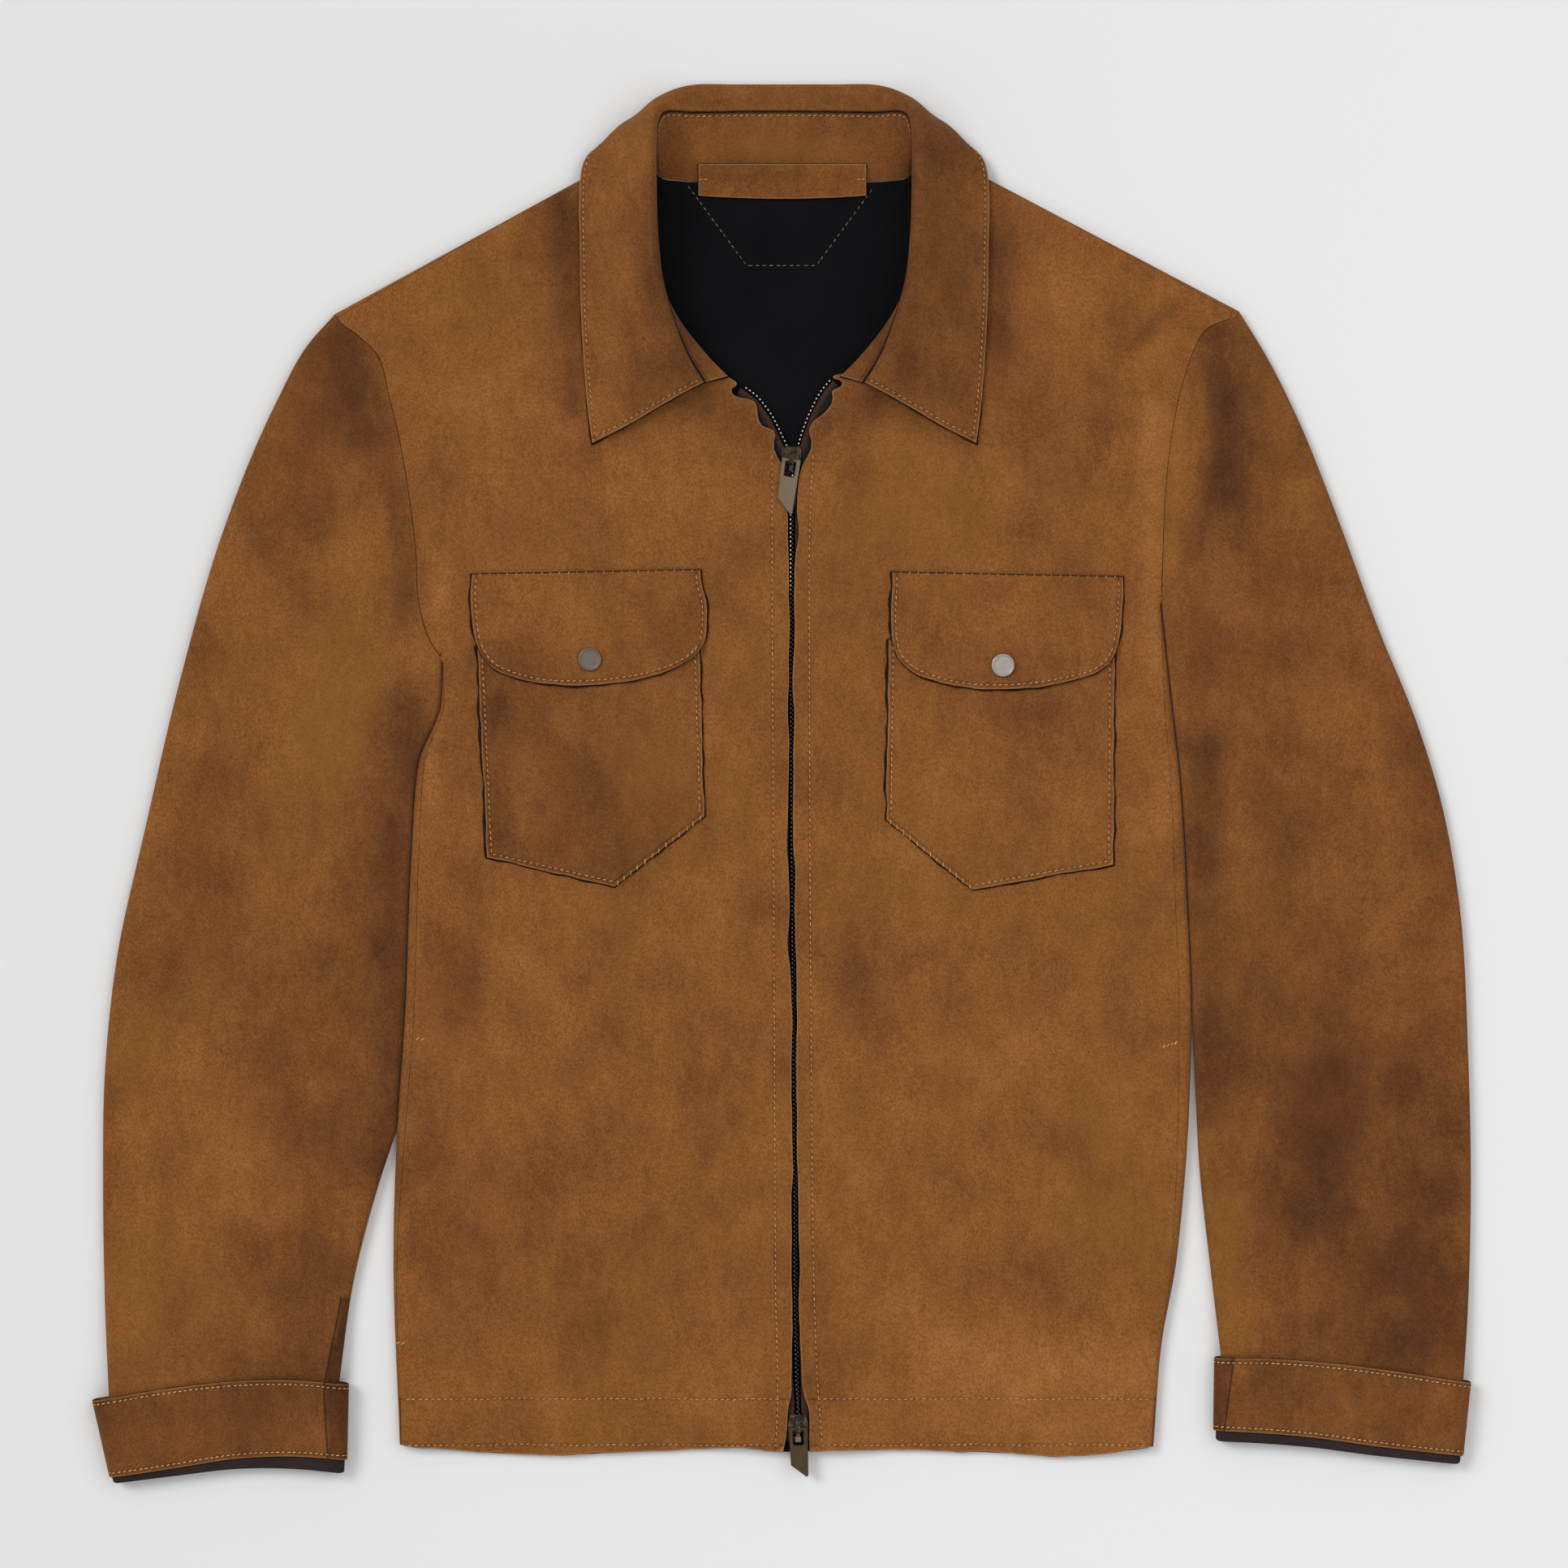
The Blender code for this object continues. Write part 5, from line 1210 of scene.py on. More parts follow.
    def front_marks(self, side: Side, plan: Array) -> Marks:
        """Work out what the suede reads on a front: tones, raw edges and rows of stitches."""
        x, y = plan[..., 0], plan[..., 1]
        beside_zip = side.sign * (x - self.stitch_x(side, np.minimum(y, self.zip_stitches[-1].y)))
        beside_zip = np.where(y > self.zip_stitches[-1].y + 1, FAR, beside_zip)
        from_side = Surface(plan, plan).rim((Edge.FIRST_COLUMN,))
        return Marks(
            # the body's tone strokes include painted shade and painted highlights
            tone=strokes_at(BODY_TONE_AND_PAINTED_LIGHT, plan), warm=strokes_at(WARM_AREAS, plan),
            free=(Edge.FIRST_ROW, Edge.LAST_COLUMN),
            lines=(beside_zip, *(y - level for level in self.hem_stitches)),
            seam=np.where(y < self.slit_top, from_side - self.slit_inset, FAR),
            shown={Edge.FIRST_ROW: self.raw_shown},
        )

    def build(self, cloth: list[bpy.types.Material], thread: "Stitching") -> None:
        """Make the back and both fronts.

        Args:
            cloth: the finishes of the outer face, the inner face and the cut edge.
            thread: the stitches to add the body's rows to.
        """
        grids = self.laid_back(0.0), self.laid_back(CLOTH)
        marks = Marks(
            tone=strokes_at(BACK_TONES, grids[0]), free=(Edge.FIRST_ROW,),
            lines=tuple(grids[0][..., 1] - level for level in self.hem_stitches),
            shown={Edge.FIRST_ROW: self.raw_shown},
        )
        back = wall("back_panel", *grids, marks).build(cloth)
        round_rims(back)
        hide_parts("back")
        for side in Side:
            cut = self.front_cut(side)
            name = f"front_{side.word}"
            grids = self.laid(side, cut, 0.0, True), self.laid(side, cut, CLOTH, True)
            front = wall(f"{name}_panel", *grids, self.front_marks(side, grids[0])).build(cloth)
            round_rims(front)
            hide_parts(name)
            self.sew_front(side, thread)

    def sew_front(self, side: Side, thread: "Stitching") -> None:
        """Add a front's rows of stitches: beside the zip, and two along the hem."""
        def height(plan: Array) -> Array:
            """Give the height of the front's outer face."""
            return self.upper_height(side, plan)

        y = np.linspace(self.zip_stitches[0].y, self.zip_stitches[-1].y, 2 * EDGE_POINTS)
        thread.row(*drawn(height, np.stack([self.stitch_x(side, y), y], axis=1)))
        at_side, at_zip = self.hem_ends
        for level in self.hem_stitches:
            inner = self.stitch_x(side, np.array([level]))[0] - side.sign * at_zip
            outline = self.half(side).side_outline(np.array([level]))[0]
            x = np.linspace(outline - side.sign * (FOLD_RADIUS + at_side), inner, SEWN_POINTS)
            line = np.stack([x, np.full(SEWN_POINTS, level)], axis=1)
            thread.row(*drawn(height, wavered(line, amount=0.3, seed=9)))
        for tack in BARTACKS:
            if tack.side is side:
                thread.row(*drawn(height, tack.line()), tack.kind)

    def sew_neck(self, thread: "Stitching") -> None:
        """Add the stitches that show on the back's inner face below the collar."""
        corners = np.array(NECK_OUTLINE, float)
        for start, end in zip(corners[:-1], corners[1:]):
            line = np.linspace(start, end, NECK_POINTS)
            up = np.tile([0.0, 0.0, 1.0], (NECK_POINTS, 1))
            thread.row(raised(line, np.full(NECK_POINTS, CLOTH)), up, NECK_STITCH)


# Collar


@dataclass(frozen=True)
class CollarSection:
    """One section across the collar, from the seam to the body out to the fall's edge."""

    neck: Triple
    seam_gap: float
    top: Triple
    crown: Triple
    bend: Triple
    tuck: Triple
    edge: Triple


@dataclass(frozen=True)
class CollarPart:
    """One cloth of the collar: its flat size, its tone and how its edges are finished."""

    name: str
    flat: Pair
    area: float
    tone: float
    darkening: float        # of the right half
    sewn: tuple[tuple[Edge, float, float], ...]     # how far inside an edge, and short of its ends
    sewn_down_to: float     # the Y that the stitches end at
    raw: tuple[Edge, ...]
    joints: tuple[Edge, ...]


@dataclass
class Collar:
    """The stand and the fall, sections from the middle of the back to the front edge."""

    centre: float = 1.0
    corner: int = 5                     # the section at the shoulder fold
    half_stations: int = 96
    stand_rows: int = 15
    fall_steps: tuple[int, ...] = (5, 7, 7, 22)
    clear_rows: tuple[int, int] = (6, 5)    # the first of each that stays above the body
    stand_over_fall: float = 2.85
    stand_climb: float = 8.0            # how fast the stand comes up to that
    leaning_over: float = 80.0          # across the middle, from the left half's tone to the right's
    shown: float = 1.2                  # how far the inner cloth shows past the raw edges, a dark line that is also painted shade
    parts: tuple[CollarPart, ...] = (
        CollarPart(
            "collar_stand", (0.04, 0.48), 0.0095, -0.5, 0.0, ((Edge.LAST_ROW, 1.9, 1.0),), 344.0,
            (Edge.FIRST_COLUMN, Edge.LAST_COLUMN), (Edge.LAST_ROW,),
        ),
        CollarPart(
            "collar_fall", (0.075, 0.55), 0.0260, -0.26, 0.12,
            ((Edge.LAST_ROW, 2.5, 2.5), (Edge.FIRST_COLUMN, 2.5, 2.0), (Edge.LAST_COLUMN, 2.5, 2.0)), 0.0,
            (Edge.LAST_ROW, Edge.FIRST_COLUMN, Edge.LAST_COLUMN), (Edge.FIRST_ROW,),
        ),
    )
    sections: tuple[CollarSection, ...] = table(
        CollarSection,
        ((0, 329.2, 0.8), 0.7, (0, 367.5, 4.1), (0, 376.5, 4.6),
         (0, 382.0, 2.7), (0, 374, 0.8), (0, 337, 0.8)),
        ((26, 329.4, 0.8), 0.7, (26, 367.4, 4.1), (26, 376.5, 4.6),
         (26, 382.0, 2.7), (27, 374, 0.8), (28, 337, 0.8)),
        ((46, 329.9, 0.8), 0.7, (49, 367.0, 4.8), (50, 376.3, 5.8),
         (51, 381.6, 3.2), (53, 373, 0.8), (53, 339, 0.8)),
        ((58.4, 330.8, 0.8), 0.8, (63.6, 367.0, 9.0), (65.8, 373.0, 11.2),
         (68.5, 375.2, 5.6), (70, 368, 0.9), (64.5, 347.5, 0.8)),
        ((67.9, 333.4, 1.0), 1.0, (68.6, 361.6, 16.0), (71.2, 365.6, 19.0),
         (79.5, 365.4, 9.5), (85, 361, 2.5), (81, 356.5, 1.0)),
        ((73.9, 347.6, 3.2), 1.1, (69.7, 346.5, 21.0), (72.5, 350.5, 25.5),
         (86, 356.0, 17.0), (94.5, 354.6, 8.0), (99, 349.5, 2.8)),
        ((73.4, 339.0, 5.2), 1.1, (69.9, 335.5, 22.5), (72.2, 337, 27.5),
         (86, 340.5, 20.5), (99.5, 341.5, 12.0), (109.5, 339.0, 6.5)),
        ((73.8, 322.0, 4.6), 1.1, (69.8, 320, 22.5), (72, 320, 27.5),
         (86, 319.5, 20.0), (99.5, 318.8, 12.2), (112, 317.5, 7.8)),
        ((73.2, 300.0, 3.4), 1.1, (69.2, 300, 21.0), (71, 299.3, 25.8),
         (84.5, 296.5, 19.0), (98.5, 293.5, 11.6), (111.5, 290.5, 6.8)),
        ((68.8, 277.0, 3.4), 1.1, (66.8, 276.5, 19.5), (68.2, 275.5, 23.6),
         (82.5, 270.5, 17.6), (97.5, 265, 11.0), (111, 259.5, 6.2)),
        ((58.6, 254.5, 5.2), 1.1, (60.6, 253.5, 17.6), (62.6, 252, 21.0),
         (78, 245, 15.6), (94.5, 237.5, 9.8), (109.5, 231, 5.6)),
        ((43.5, 235.0, 7.9), 1.1, (52.6, 234, 14.4), (55.4, 232.6, 17.0),
         (72, 223.5, 12.8), (91, 212.8, 8.2), (107.5, 205.5, 5.4)),
        ((31.0, 222.6, 8.0), 1.1, (43.4, 219.4, 9.6), (46.8, 217.8, 11.2),
         (66, 207.5, 9.0), (87, 195.3, 6.8), (105, 186.3, 5.3)),
    )

    def line(self, name: str, stations: Array) -> Array:
        """Read one line of the table at stations from the left front edge to the right."""
        values = [getattr(row, name) for row in self.sections]
        line = smooth(range(len(values)), values, np.abs(stations))
        line[:, 0] = self.centre + np.sign(stations) * line[:, 0]
        return line

    def neck_edge(self, side: Side, stations: Array, towards: float) -> Array:
        """Make the body's edge along the neck seam.

        Args:
            side: the half of the collar.
            stations: places in the collar's table, in falling order.
            towards: 1 for the back's edge, -1 for a front's.

        Returns:
            The line's points, in the order of the stations.
        """
        rising = stations[::-1]
        line = self.line("neck", side.sign * rising)[:, :2]
        gaps = smooth(range(len(self.sections)), [row.seam_gap for row in self.sections], rising)
        return moved_aside(line, towards * side.sign * gaps)[::-1]

    def surfaces(self, body: Body) -> tuple[Array, Array, Array]:
        """Work out the middle surfaces of the stand and the fall, and their normals.

        The stand is straight from the seam to its top. The fall is a smooth curve in each
        section from there over the crown and the bend to its edge. Both stay above the body.

        Args:
            body: what the collar lies on.

        Returns:
            The stand, the fall, and the unit normals of both, one after the other.
        """
        half = np.linspace(0, len(self.sections) - 1, self.half_stations)
        stations = np.concatenate([-half[:0:-1], half])
        names = ("neck", "top", "crown", "bend", "tuck", "edge")
        routes = np.stack([self.line(name, stations) for name in names])
        share = np.linspace(0, 1, self.stand_rows)[:, None, None]
        stand = (1 - share) * routes[0] + share * routes[1]
        floor = np.clip(share[1:, 0] * self.stand_climb, 0, 1) * self.stand_over_fall
        stand[1:, :, 2] = np.maximum(stand[1:, :, 2], floor)
        steps = [part + np.arange(1, count + 1) / count for part, count in enumerate(self.fall_steps)]
        places = np.concatenate([[0], *steps])
        fall = np.stack([self.across(route, places) for route in routes[1:].swapaxes(0, 1)], axis=1)
        on_body = np.abs(stations) > self.corner
        for grid in (stand[self.clear_rows[0]:], fall[self.clear_rows[1]:]):
            least = np.where(on_body, body.top(grid[..., :2]) + GAP, 0.0) + CLOTH / 2
            grid[..., 2] = np.maximum(grid[..., 2], least)
        normal = normals_of(np.concatenate([stand, fall[1:]]))
        step = fall[1] - fall[0]
        fall[0] += step * GAP / np.linalg.norm(step, axis=-1, keepdims=True)
        return stand, fall, normal

    @staticmethod
    def across(route: Array, places: Array) -> Array:
        """Read one section's smooth curve at places counted in its knots."""
        knots = lengths_along(route)
        return smooth(knots, route, np.interp(places, range(len(knots)), knots))

    def build(self, body: Body, cloth: list[bpy.types.Material], thread: Stitching) -> None:
        """Make the stand and the fall.

        Args:
            body: what the collar lies on.
            cloth: the finishes of the outer face, the inner face and the cut edge.
            thread: the stitches to add the collar's rows to.
        """
        stand, fall, normal = self.surfaces(body)
        seam = len(stand) - 1
        layers = (stand, normal[:seam + 1]), (fall, normal[seam:])
        for part, (grid, way) in zip(self.parts, layers):
            way = way * CLOTH / 2
            grids = grid + way, grid - way
            face = Surface.of(*grids)
            leaning = ease((grid[..., 0] - self.centre + self.leaning_over / 2) / self.leaning_over)
            marks = Marks(
                # the collar's strokes include painted shade along the crown edges
                tone=part.tone - part.darkening * leaning + strokes_at(COLLAR_TONE_AND_PAINTED_SHADE, grid),
                warm=strokes_at(WARM_AREAS, grid), free=part.raw,
                lines=tuple(face.rim((edge,)) - inset for edge, inset, _ in part.sewn),
                joints=part.joints, shown={edge: self.shown for edge in part.raw},
            )
            piece = wall(f"{part.name}_cloth", *grids, marks).build(cloth)
            round_rims(piece)
            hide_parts(part.name)
            for edge, inset, trim in part.sewn:
                points, ups = face.inset(edge, inset, trim)
                here = points[:, 1] > part.sewn_down_to
                thread.row(points[here], ups[here])


# Sleeves


@dataclass(frozen=True)
class SleeveCut:
    """One sleeve's outline seen from above, from the shoulder to the turned-back end."""

    side: Side
    outer: Line
    leaves: int             # the row of the body's side table where it leaves the body
    inner: Line             # from there to the cuff
    cuff_fold: Line
    cuff_top: Line
    flare_outer: float      # how far the turned-back end stands off sideways at its top
    flare_inner: float
    seam: Line              # the sleeve's own seam where it comes to the upper side
    strip: Pair             # inner cloth below the band, as shares of the turned-back depth


LEFT_SLEEVE = SleeveCut(
    Side.LEFT,
    ((-245, 257), (-260, 240), (-278, 207), (-307, 136), (-329, 60), (-349, -25), (-364.5, -96),
     (-371, -158), (-372, -220), (-371, -283), (-368.5, -336)),
    2,
    ((-222, -223), (-235, -274), (-242.5, -328)),
    ((-364.5, -381), (-332, -377), (-297, -373.2), (-262, -373.5), (-241.5, -375.5)),
    ((-368.5, -336), (-335, -330.5), (-297, -326.5), (-268, -326), (-242.5, -328)),
    6.0, 2.0, ((-241.5, -283), (-250.5, -329), (-248, -373)), (0.045, 0.125),
)
RIGHT_SLEEVE = SleeveCut(
    Side.RIGHT,
    ((250, 258.5), (265, 234), (283, 198), (301, 153.5), (327.5, 82), (347.5, 33), (361, -11),
     (370, -60), (375.6, -149), (377, -229), (375.2, -290), (372.6, -327)),
    3,
    ((226.2, -170), (228.4, -211), (234, -262), (240, -314)),
    ((369, -370.5), (323, -365.8), (290, -361.5), (262, -359.2), (239, -358)),
    ((372.6, -327), (330, -320.5), (300, -316.8), (268, -314.5), (240, -314)),
    1.0, 0.4, ((246.5, -314), (241, -356)), (0.075, 0.095),
)


@dataclass
class Sleeve:
    """A flat tube of cloth with its end turned back, and the band on that end."""

    cut: SleeveCut
    body: Body
    beside_body: float = 0.25
    upper_rows: int = 176
    cuff_rows: int = 15
    plan_columns: int = 44
    over_points: int = 46           # across the upper layer, and across the lower one
    arc_points: int = 9             # round each edge, and round the fold at the end
    beside_points: int = 60         # along the stretch beside the body
    leaving_points: int = 40        # and along the one from there to the cuff
    cuff_radius: float = 2.7
    shoulder_blend: float = 90.0    # along the sleeve, from the shoulder's radius to its own
    cuff_blend: float = 58.0        # along the sleeve, up to the turned-back end
    stack: float = GAP + CLOTH + GAP + BAND
    base_tone: float = -0.12
    band_tone: float = -0.6
    band_warmth: float = -0.2
    band_shown: float = 0.45        # how far the inner cloth shows past the band's edges, a dark line that is also painted shade
    past_seam_tone: Pair = (-0.9, -0.75)    # of the sleeve and of the band past the sleeve's seam
    seam_blend: float = 0.8         # over how far that tone comes in
    seam_reach: Pair = (2.0, 3.0)   # how far past the seam's top it goes, and above what height
    under_blend: float = 2.0        # the height above which, and over which, strokes of tone and painted shade come in
    stitch_inset: float = 2.4       # of the band's rows

    def plan(self) -> Array:
        """Make the plan, rows from the armhole to the cuff's fold, outer edge first.

        The inner edge lies beside the body's side fold, then leaves it on a smooth curve.
        """
        half = self.body.half(self.cut.side)
        levels = np.linspace(half.levels[-1], half.levels[self.cut.leaves], self.beside_points)
        beside = half.side_outline(levels) + self.cut.side.sign * self.beside_body
        beside_line = np.stack([beside, levels], axis=1)
        leaving = np.vstack([beside_line[-1:], np.array(self.cut.inner, float)])
        leaving = line_through(leaving, self.leaving_points)
        inner = line_through(joined(beside_line, leaving), self.upper_rows)
        outer = line_through(self.cut.outer, self.upper_rows)
        armhole = self.body.armhole_edge(self.cut.side, 1, self.plan_columns)[::-1]
        top = line_through(self.cut.cuff_top, self.plan_columns)
        fold = line_through(self.cut.cuff_fold, self.plan_columns)
        outer[0], inner[0] = armhole[0], armhole[-1]
        upper = grid_between(outer, inner, armhole, top)
        share = np.linspace(0, 1, self.cuff_rows + 1)[1:, None, None]
        return np.concatenate([upper, (1 - share) * top[None] + share * fold[None]])

    def rings(self, plan: Array, rows: Array, beyond: Array, offset: Array, flare: Array) -> Array:
        """Place rings of points round the sleeve.

        Each ring goes round half a turn at both edges of the plan's row, over its top at
        the draped height, and back underneath.

        Args:
            plan: the sleeve's plan.
            rows: each ring's place among the plan's rows.
            beyond: how far past that row each lies, along the sleeve.
            offset: how far outside the sleeve's outer face each lies.
            flare: each ring's share of the cuff's sideways flare.

        Returns:
            The points, rings by places round them.
        """
        low = np.minimum(rows.astype(int), len(plan) - 2)
        way = plan[low + 1] - plan[low]
        lines = plan[low] + (rows - low)[:, None, None] * way
        way = way / np.linalg.norm(way, axis=2, keepdims=True)
        lines = lines + beyond[:, None, None] * way
        width = row_lengths(lines)[:, -1:]
        spacing = np.linalg.norm(np.diff(plan[:, plan.shape[1] // 2], axis=0), axis=1)
        reach = np.interp(rows, np.arange(len(plan)), np.concatenate([[0], np.cumsum(spacing)]))[:, None]
        cuff = reach_of_row(plan, len(plan) - 1 - self.cuff_rows)
        near_cuff = ease((reach - cuff + self.cuff_blend) / self.cuff_blend)
        past_shoulder = np.clip(reach / self.shoulder_blend, 0, 1)
        radius_in = FOLD_RADIUS + (self.cuff_radius - FOLD_RADIUS) * near_cuff
        radius_out = radius_in + (SHOULDER_RADIUS - FOLD_RADIUS) * (1 - past_shoulder)
        turn = np.linspace(-math.pi / 2, math.pi / 2, self.arc_points)[None]
        offset, flare = offset[:, None], flare[:, None]
        first = radius_out - flare * self.cut.flare_outer
        last = width - radius_in + flare * self.cut.flare_inner
        middle = first + (last - first) * np.linspace(0, 1, self.over_points + 2)[None, 1:-1]
        across = np.concatenate([
            first - (radius_out + offset) * np.cos(turn), middle,
            last + (radius_in + offset) * np.cos(turn[:, ::-1]), middle[:, ::-1],
        ], axis=1)
        points = read_rows(lines, across)
        over = slice(self.arc_points, self.arc_points + self.over_points)
        from_armhole = np.broadcast_to(reach, middle.shape)
        edges = [
            (2 * radius_out, middle - first), (2 * radius_in, last - middle),
            (ARMHOLE_HEIGHT, from_armhole),
        ]
        z = np.concatenate([
            radius_out + (radius_out + offset) * np.sin(turn),
            draped_height(SLEEVE_HEIGHT, edges, points[:, over]) + offset,
            radius_in + (radius_in + offset) * np.sin(turn[:, ::-1]), np.broadcast_to(-offset, middle.shape),
        ], axis=1)
        return raised(points, z + self.stack * near_cuff)

    def cloth(self, plan: Array, start: float, end: float) -> Array:
        """Place one face of the sleeve: down it, round the fold at its end, and back.

        Args:
            plan: the sleeve's plan.
            start: how far outside the outer face it lies along the sleeve.
            end: how far outside it lies on the turned-back end.

        Returns:
            The face's points, rings by places round them.
        """
        last = len(plan) - 1
        radius = (end - start) / 2
        bend = np.radians(np.linspace(0, 180, self.arc_points)[1:-1])
        back = np.linspace(last, last - self.cuff_rows, self.cuff_rows + 1)
        rows = np.concatenate([np.arange(last + 1.0), np.full(len(bend), float(last)), back])
        beyond = np.concatenate([np.zeros(last + 1), radius * np.sin(bend), np.zeros(len(back))])
        offset = np.concatenate([
            np.full(last + 1, start), (start + end) / 2 - radius * np.cos(bend), np.full(len(back), end),
        ])
        flare = np.concatenate([np.zeros(last + 1 + len(bend)), (last - back) / self.cuff_rows])
        return self.rings(plan, rows, beyond, offset, flare)

    def band(self, plan: Array, offset: float) -> Array:
        """Place one face of the band on the turned-back end, at an offset outside it.

        Its lower edge leaves a strip of inner cloth that is wider at the sleeve's inner side.
        """
        last = len(plan) - 1
        grids = []
        for strip in self.cut.strip:
            rows = np.linspace(last - strip * self.cuff_rows, last - self.cuff_rows, self.cuff_rows + 1)
            flare = (last - rows) / self.cuff_rows
            grids.append(self.rings(plan, rows, np.zeros(len(rows)), np.full(len(rows), offset), flare))
        x = grids[0][..., 0] * self.cut.side.sign
        inward = ease((x.max(axis=1, keepdims=True) - x) / np.ptp(x, axis=1, keepdims=True))[..., None]
        return (1 - inward) * grids[0] + inward * grids[1]

    def past_seam(self, grid: Array) -> tuple[Array, Array]:
        """Tell which points lie past the sleeve's seam, and how far from it points lie."""
        line = np.array(self.cut.seam, float)
        x = np.interp(grid[..., 1], line[::-1, 1], line[::-1, 0])
        beside = self.cut.side.sign * (grid[..., 0] - x)
        beyond, above = self.seam_reach
        near = (grid[..., 1] < line[0, 1] + beyond) & (grid[..., 2] > above)
        return ease(-beside / self.seam_blend) * near, np.where(near, beside, np.copysign(FAR, beside))

    def build(self, cloth: list[bpy.types.Material], lint: bpy.types.Material,
              thread: Stitching) -> None:
        """Make the sleeve and its band.

        Args:
            cloth: the finishes of the outer face, the inner face and the cut edge.
            lint: the finish of the sleeve's inner face, which shows below the band.
            thread: the stitches to add the band's rows to.
        """
        plan = self.plan()
        word = self.cut.side.word
        outer = self.cloth(plan, 0.0, GAP)
        upper = ease((outer[..., 2] - self.under_blend) / self.under_blend)
        # the sleeve's strokes include painted shade beside the body
        tone = self.base_tone + upper * strokes_at(SLEEVE_TONE_AND_PAINTED_SHADE[self.cut.side], outer)
        past_seam, seam = self.past_seam(outer)
        marks = Marks(
            tone=tone + self.past_seam_tone[0] * past_seam * upper,
            warm=upper * strokes_at(WARM_AREAS, outer), free=(Edge.LAST_ROW,), seam=seam,
        )
        inner = self.cloth(plan, -CLOTH, GAP + CLOTH)
        sleeve = wall(f"sleeve_{word}_cloth", outer, inner, marks, closed=True)
        sleeve = sleeve.build([cloth[0], lint, cloth[2]])
        round_rims(sleeve)
        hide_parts(f"sleeve_{word}")
        faces = [self.band(plan, offset) for offset in (self.stack, self.stack - BAND)]
        face = Surface.of(*faces)
        rows = (Edge.FIRST_ROW, Edge.LAST_ROW)
        past_seam, seam = self.past_seam(faces[0])
        marks = Marks(
            tone=self.band_tone + self.past_seam_tone[1] * past_seam, warm=self.band_warmth, free=rows,
            lines=tuple(face.rim((edge,)) - self.stitch_inset for edge in rows),
            seam=seam, shown={edge: self.band_shown for edge in rows},
        )
        band = wall(f"cuff_band_{word}_cloth", *faces, marks, closed=True).build(cloth)
        round_rims(band)
        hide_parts(f"cuff_band_{word}")
        for edge in rows:
            points, normals = (np.vstack([line, line[:1]]) for line in face.inset(edge, self.stitch_inset))
            thread.row(points, normals, CUFF_STITCH)


def reach_of_row(plan: Array, row: int) -> float:
    """Give the length along the middle of a plan from its first row to another."""
    middle = plan[:, plan.shape[1] // 2]
    return float(lengths_along(middle)[row])


# Pockets


@dataclass(frozen=True)
class PocketCut:
    """A patch pocket with a pointed bottom and its flap; outer is towards the sleeve."""

    side: Side
    top_outer: Pair
    top_inner: Pair
    low_outer: Pair
    low_inner: Pair
    point: Pair
    flap_outer: Line        # from low to top
    flap_inner: Line        # from low to top
    flap_low: Line          # from the outer to the inner end
    snap: Pair
    tone: float

    def outline(self) -> Array:
        """Give the pocket's corners in order."""
        return np.array([self.top_outer, self.low_outer, self.point, self.low_inner, self.top_inner], float)


LEFT_POCKET = PocketCut(
    Side.LEFT, (-166.9, 75.5), (-45.5, 75), (-161.5, -40.5), (-42.7, -18), (-91.7, -56.5),
    ((-163.4, 68.4), (-167.6, 77.2), (-169.8, 90.0), (-170.6, 104.0), (-169.8, 114.9)),
    ((-49.0, 68.6), (-43.4, 75.5), (-41.4, 88), (-41.9, 100.5), (-44.1, 108.5), (-45.0, 117.3)),
    ((-163.4, 68.4), (-158.0, 63.0), (-149.0, 58.8), (-135.7, 55.2), (-112, 53.6), (-88.2, 55.4),
     (-70.6, 58.9), (-57.5, 63.6), (-49.0, 68.6)), (-105.2, 67.8), -0.32,
)
RIGHT_POCKET = PocketCut(
    Side.RIGHT, (181.7, 74), (58.3, 79), (181.1, -44.5), (57, -20), (104.1, -58.3),
    ((178.6, 65.4), (182.6, 72.5), (184.6, 81), (185.9, 95), (186.6, 106), (186.2, 113.5)),
    ((63.4, 68.2), (60.6, 76), (59.7, 86), (59.8, 100), (60.3, 109), (60.2, 115.9)),
    ((178.6, 65.4), (171.8, 60.4), (158, 56.2), (137.7, 52.6), (120, 51.4), (102, 52.1), (84, 55.9),
     (71, 61.2), (63.4, 68.2)), (120.6, 64.5), -0.1,
)


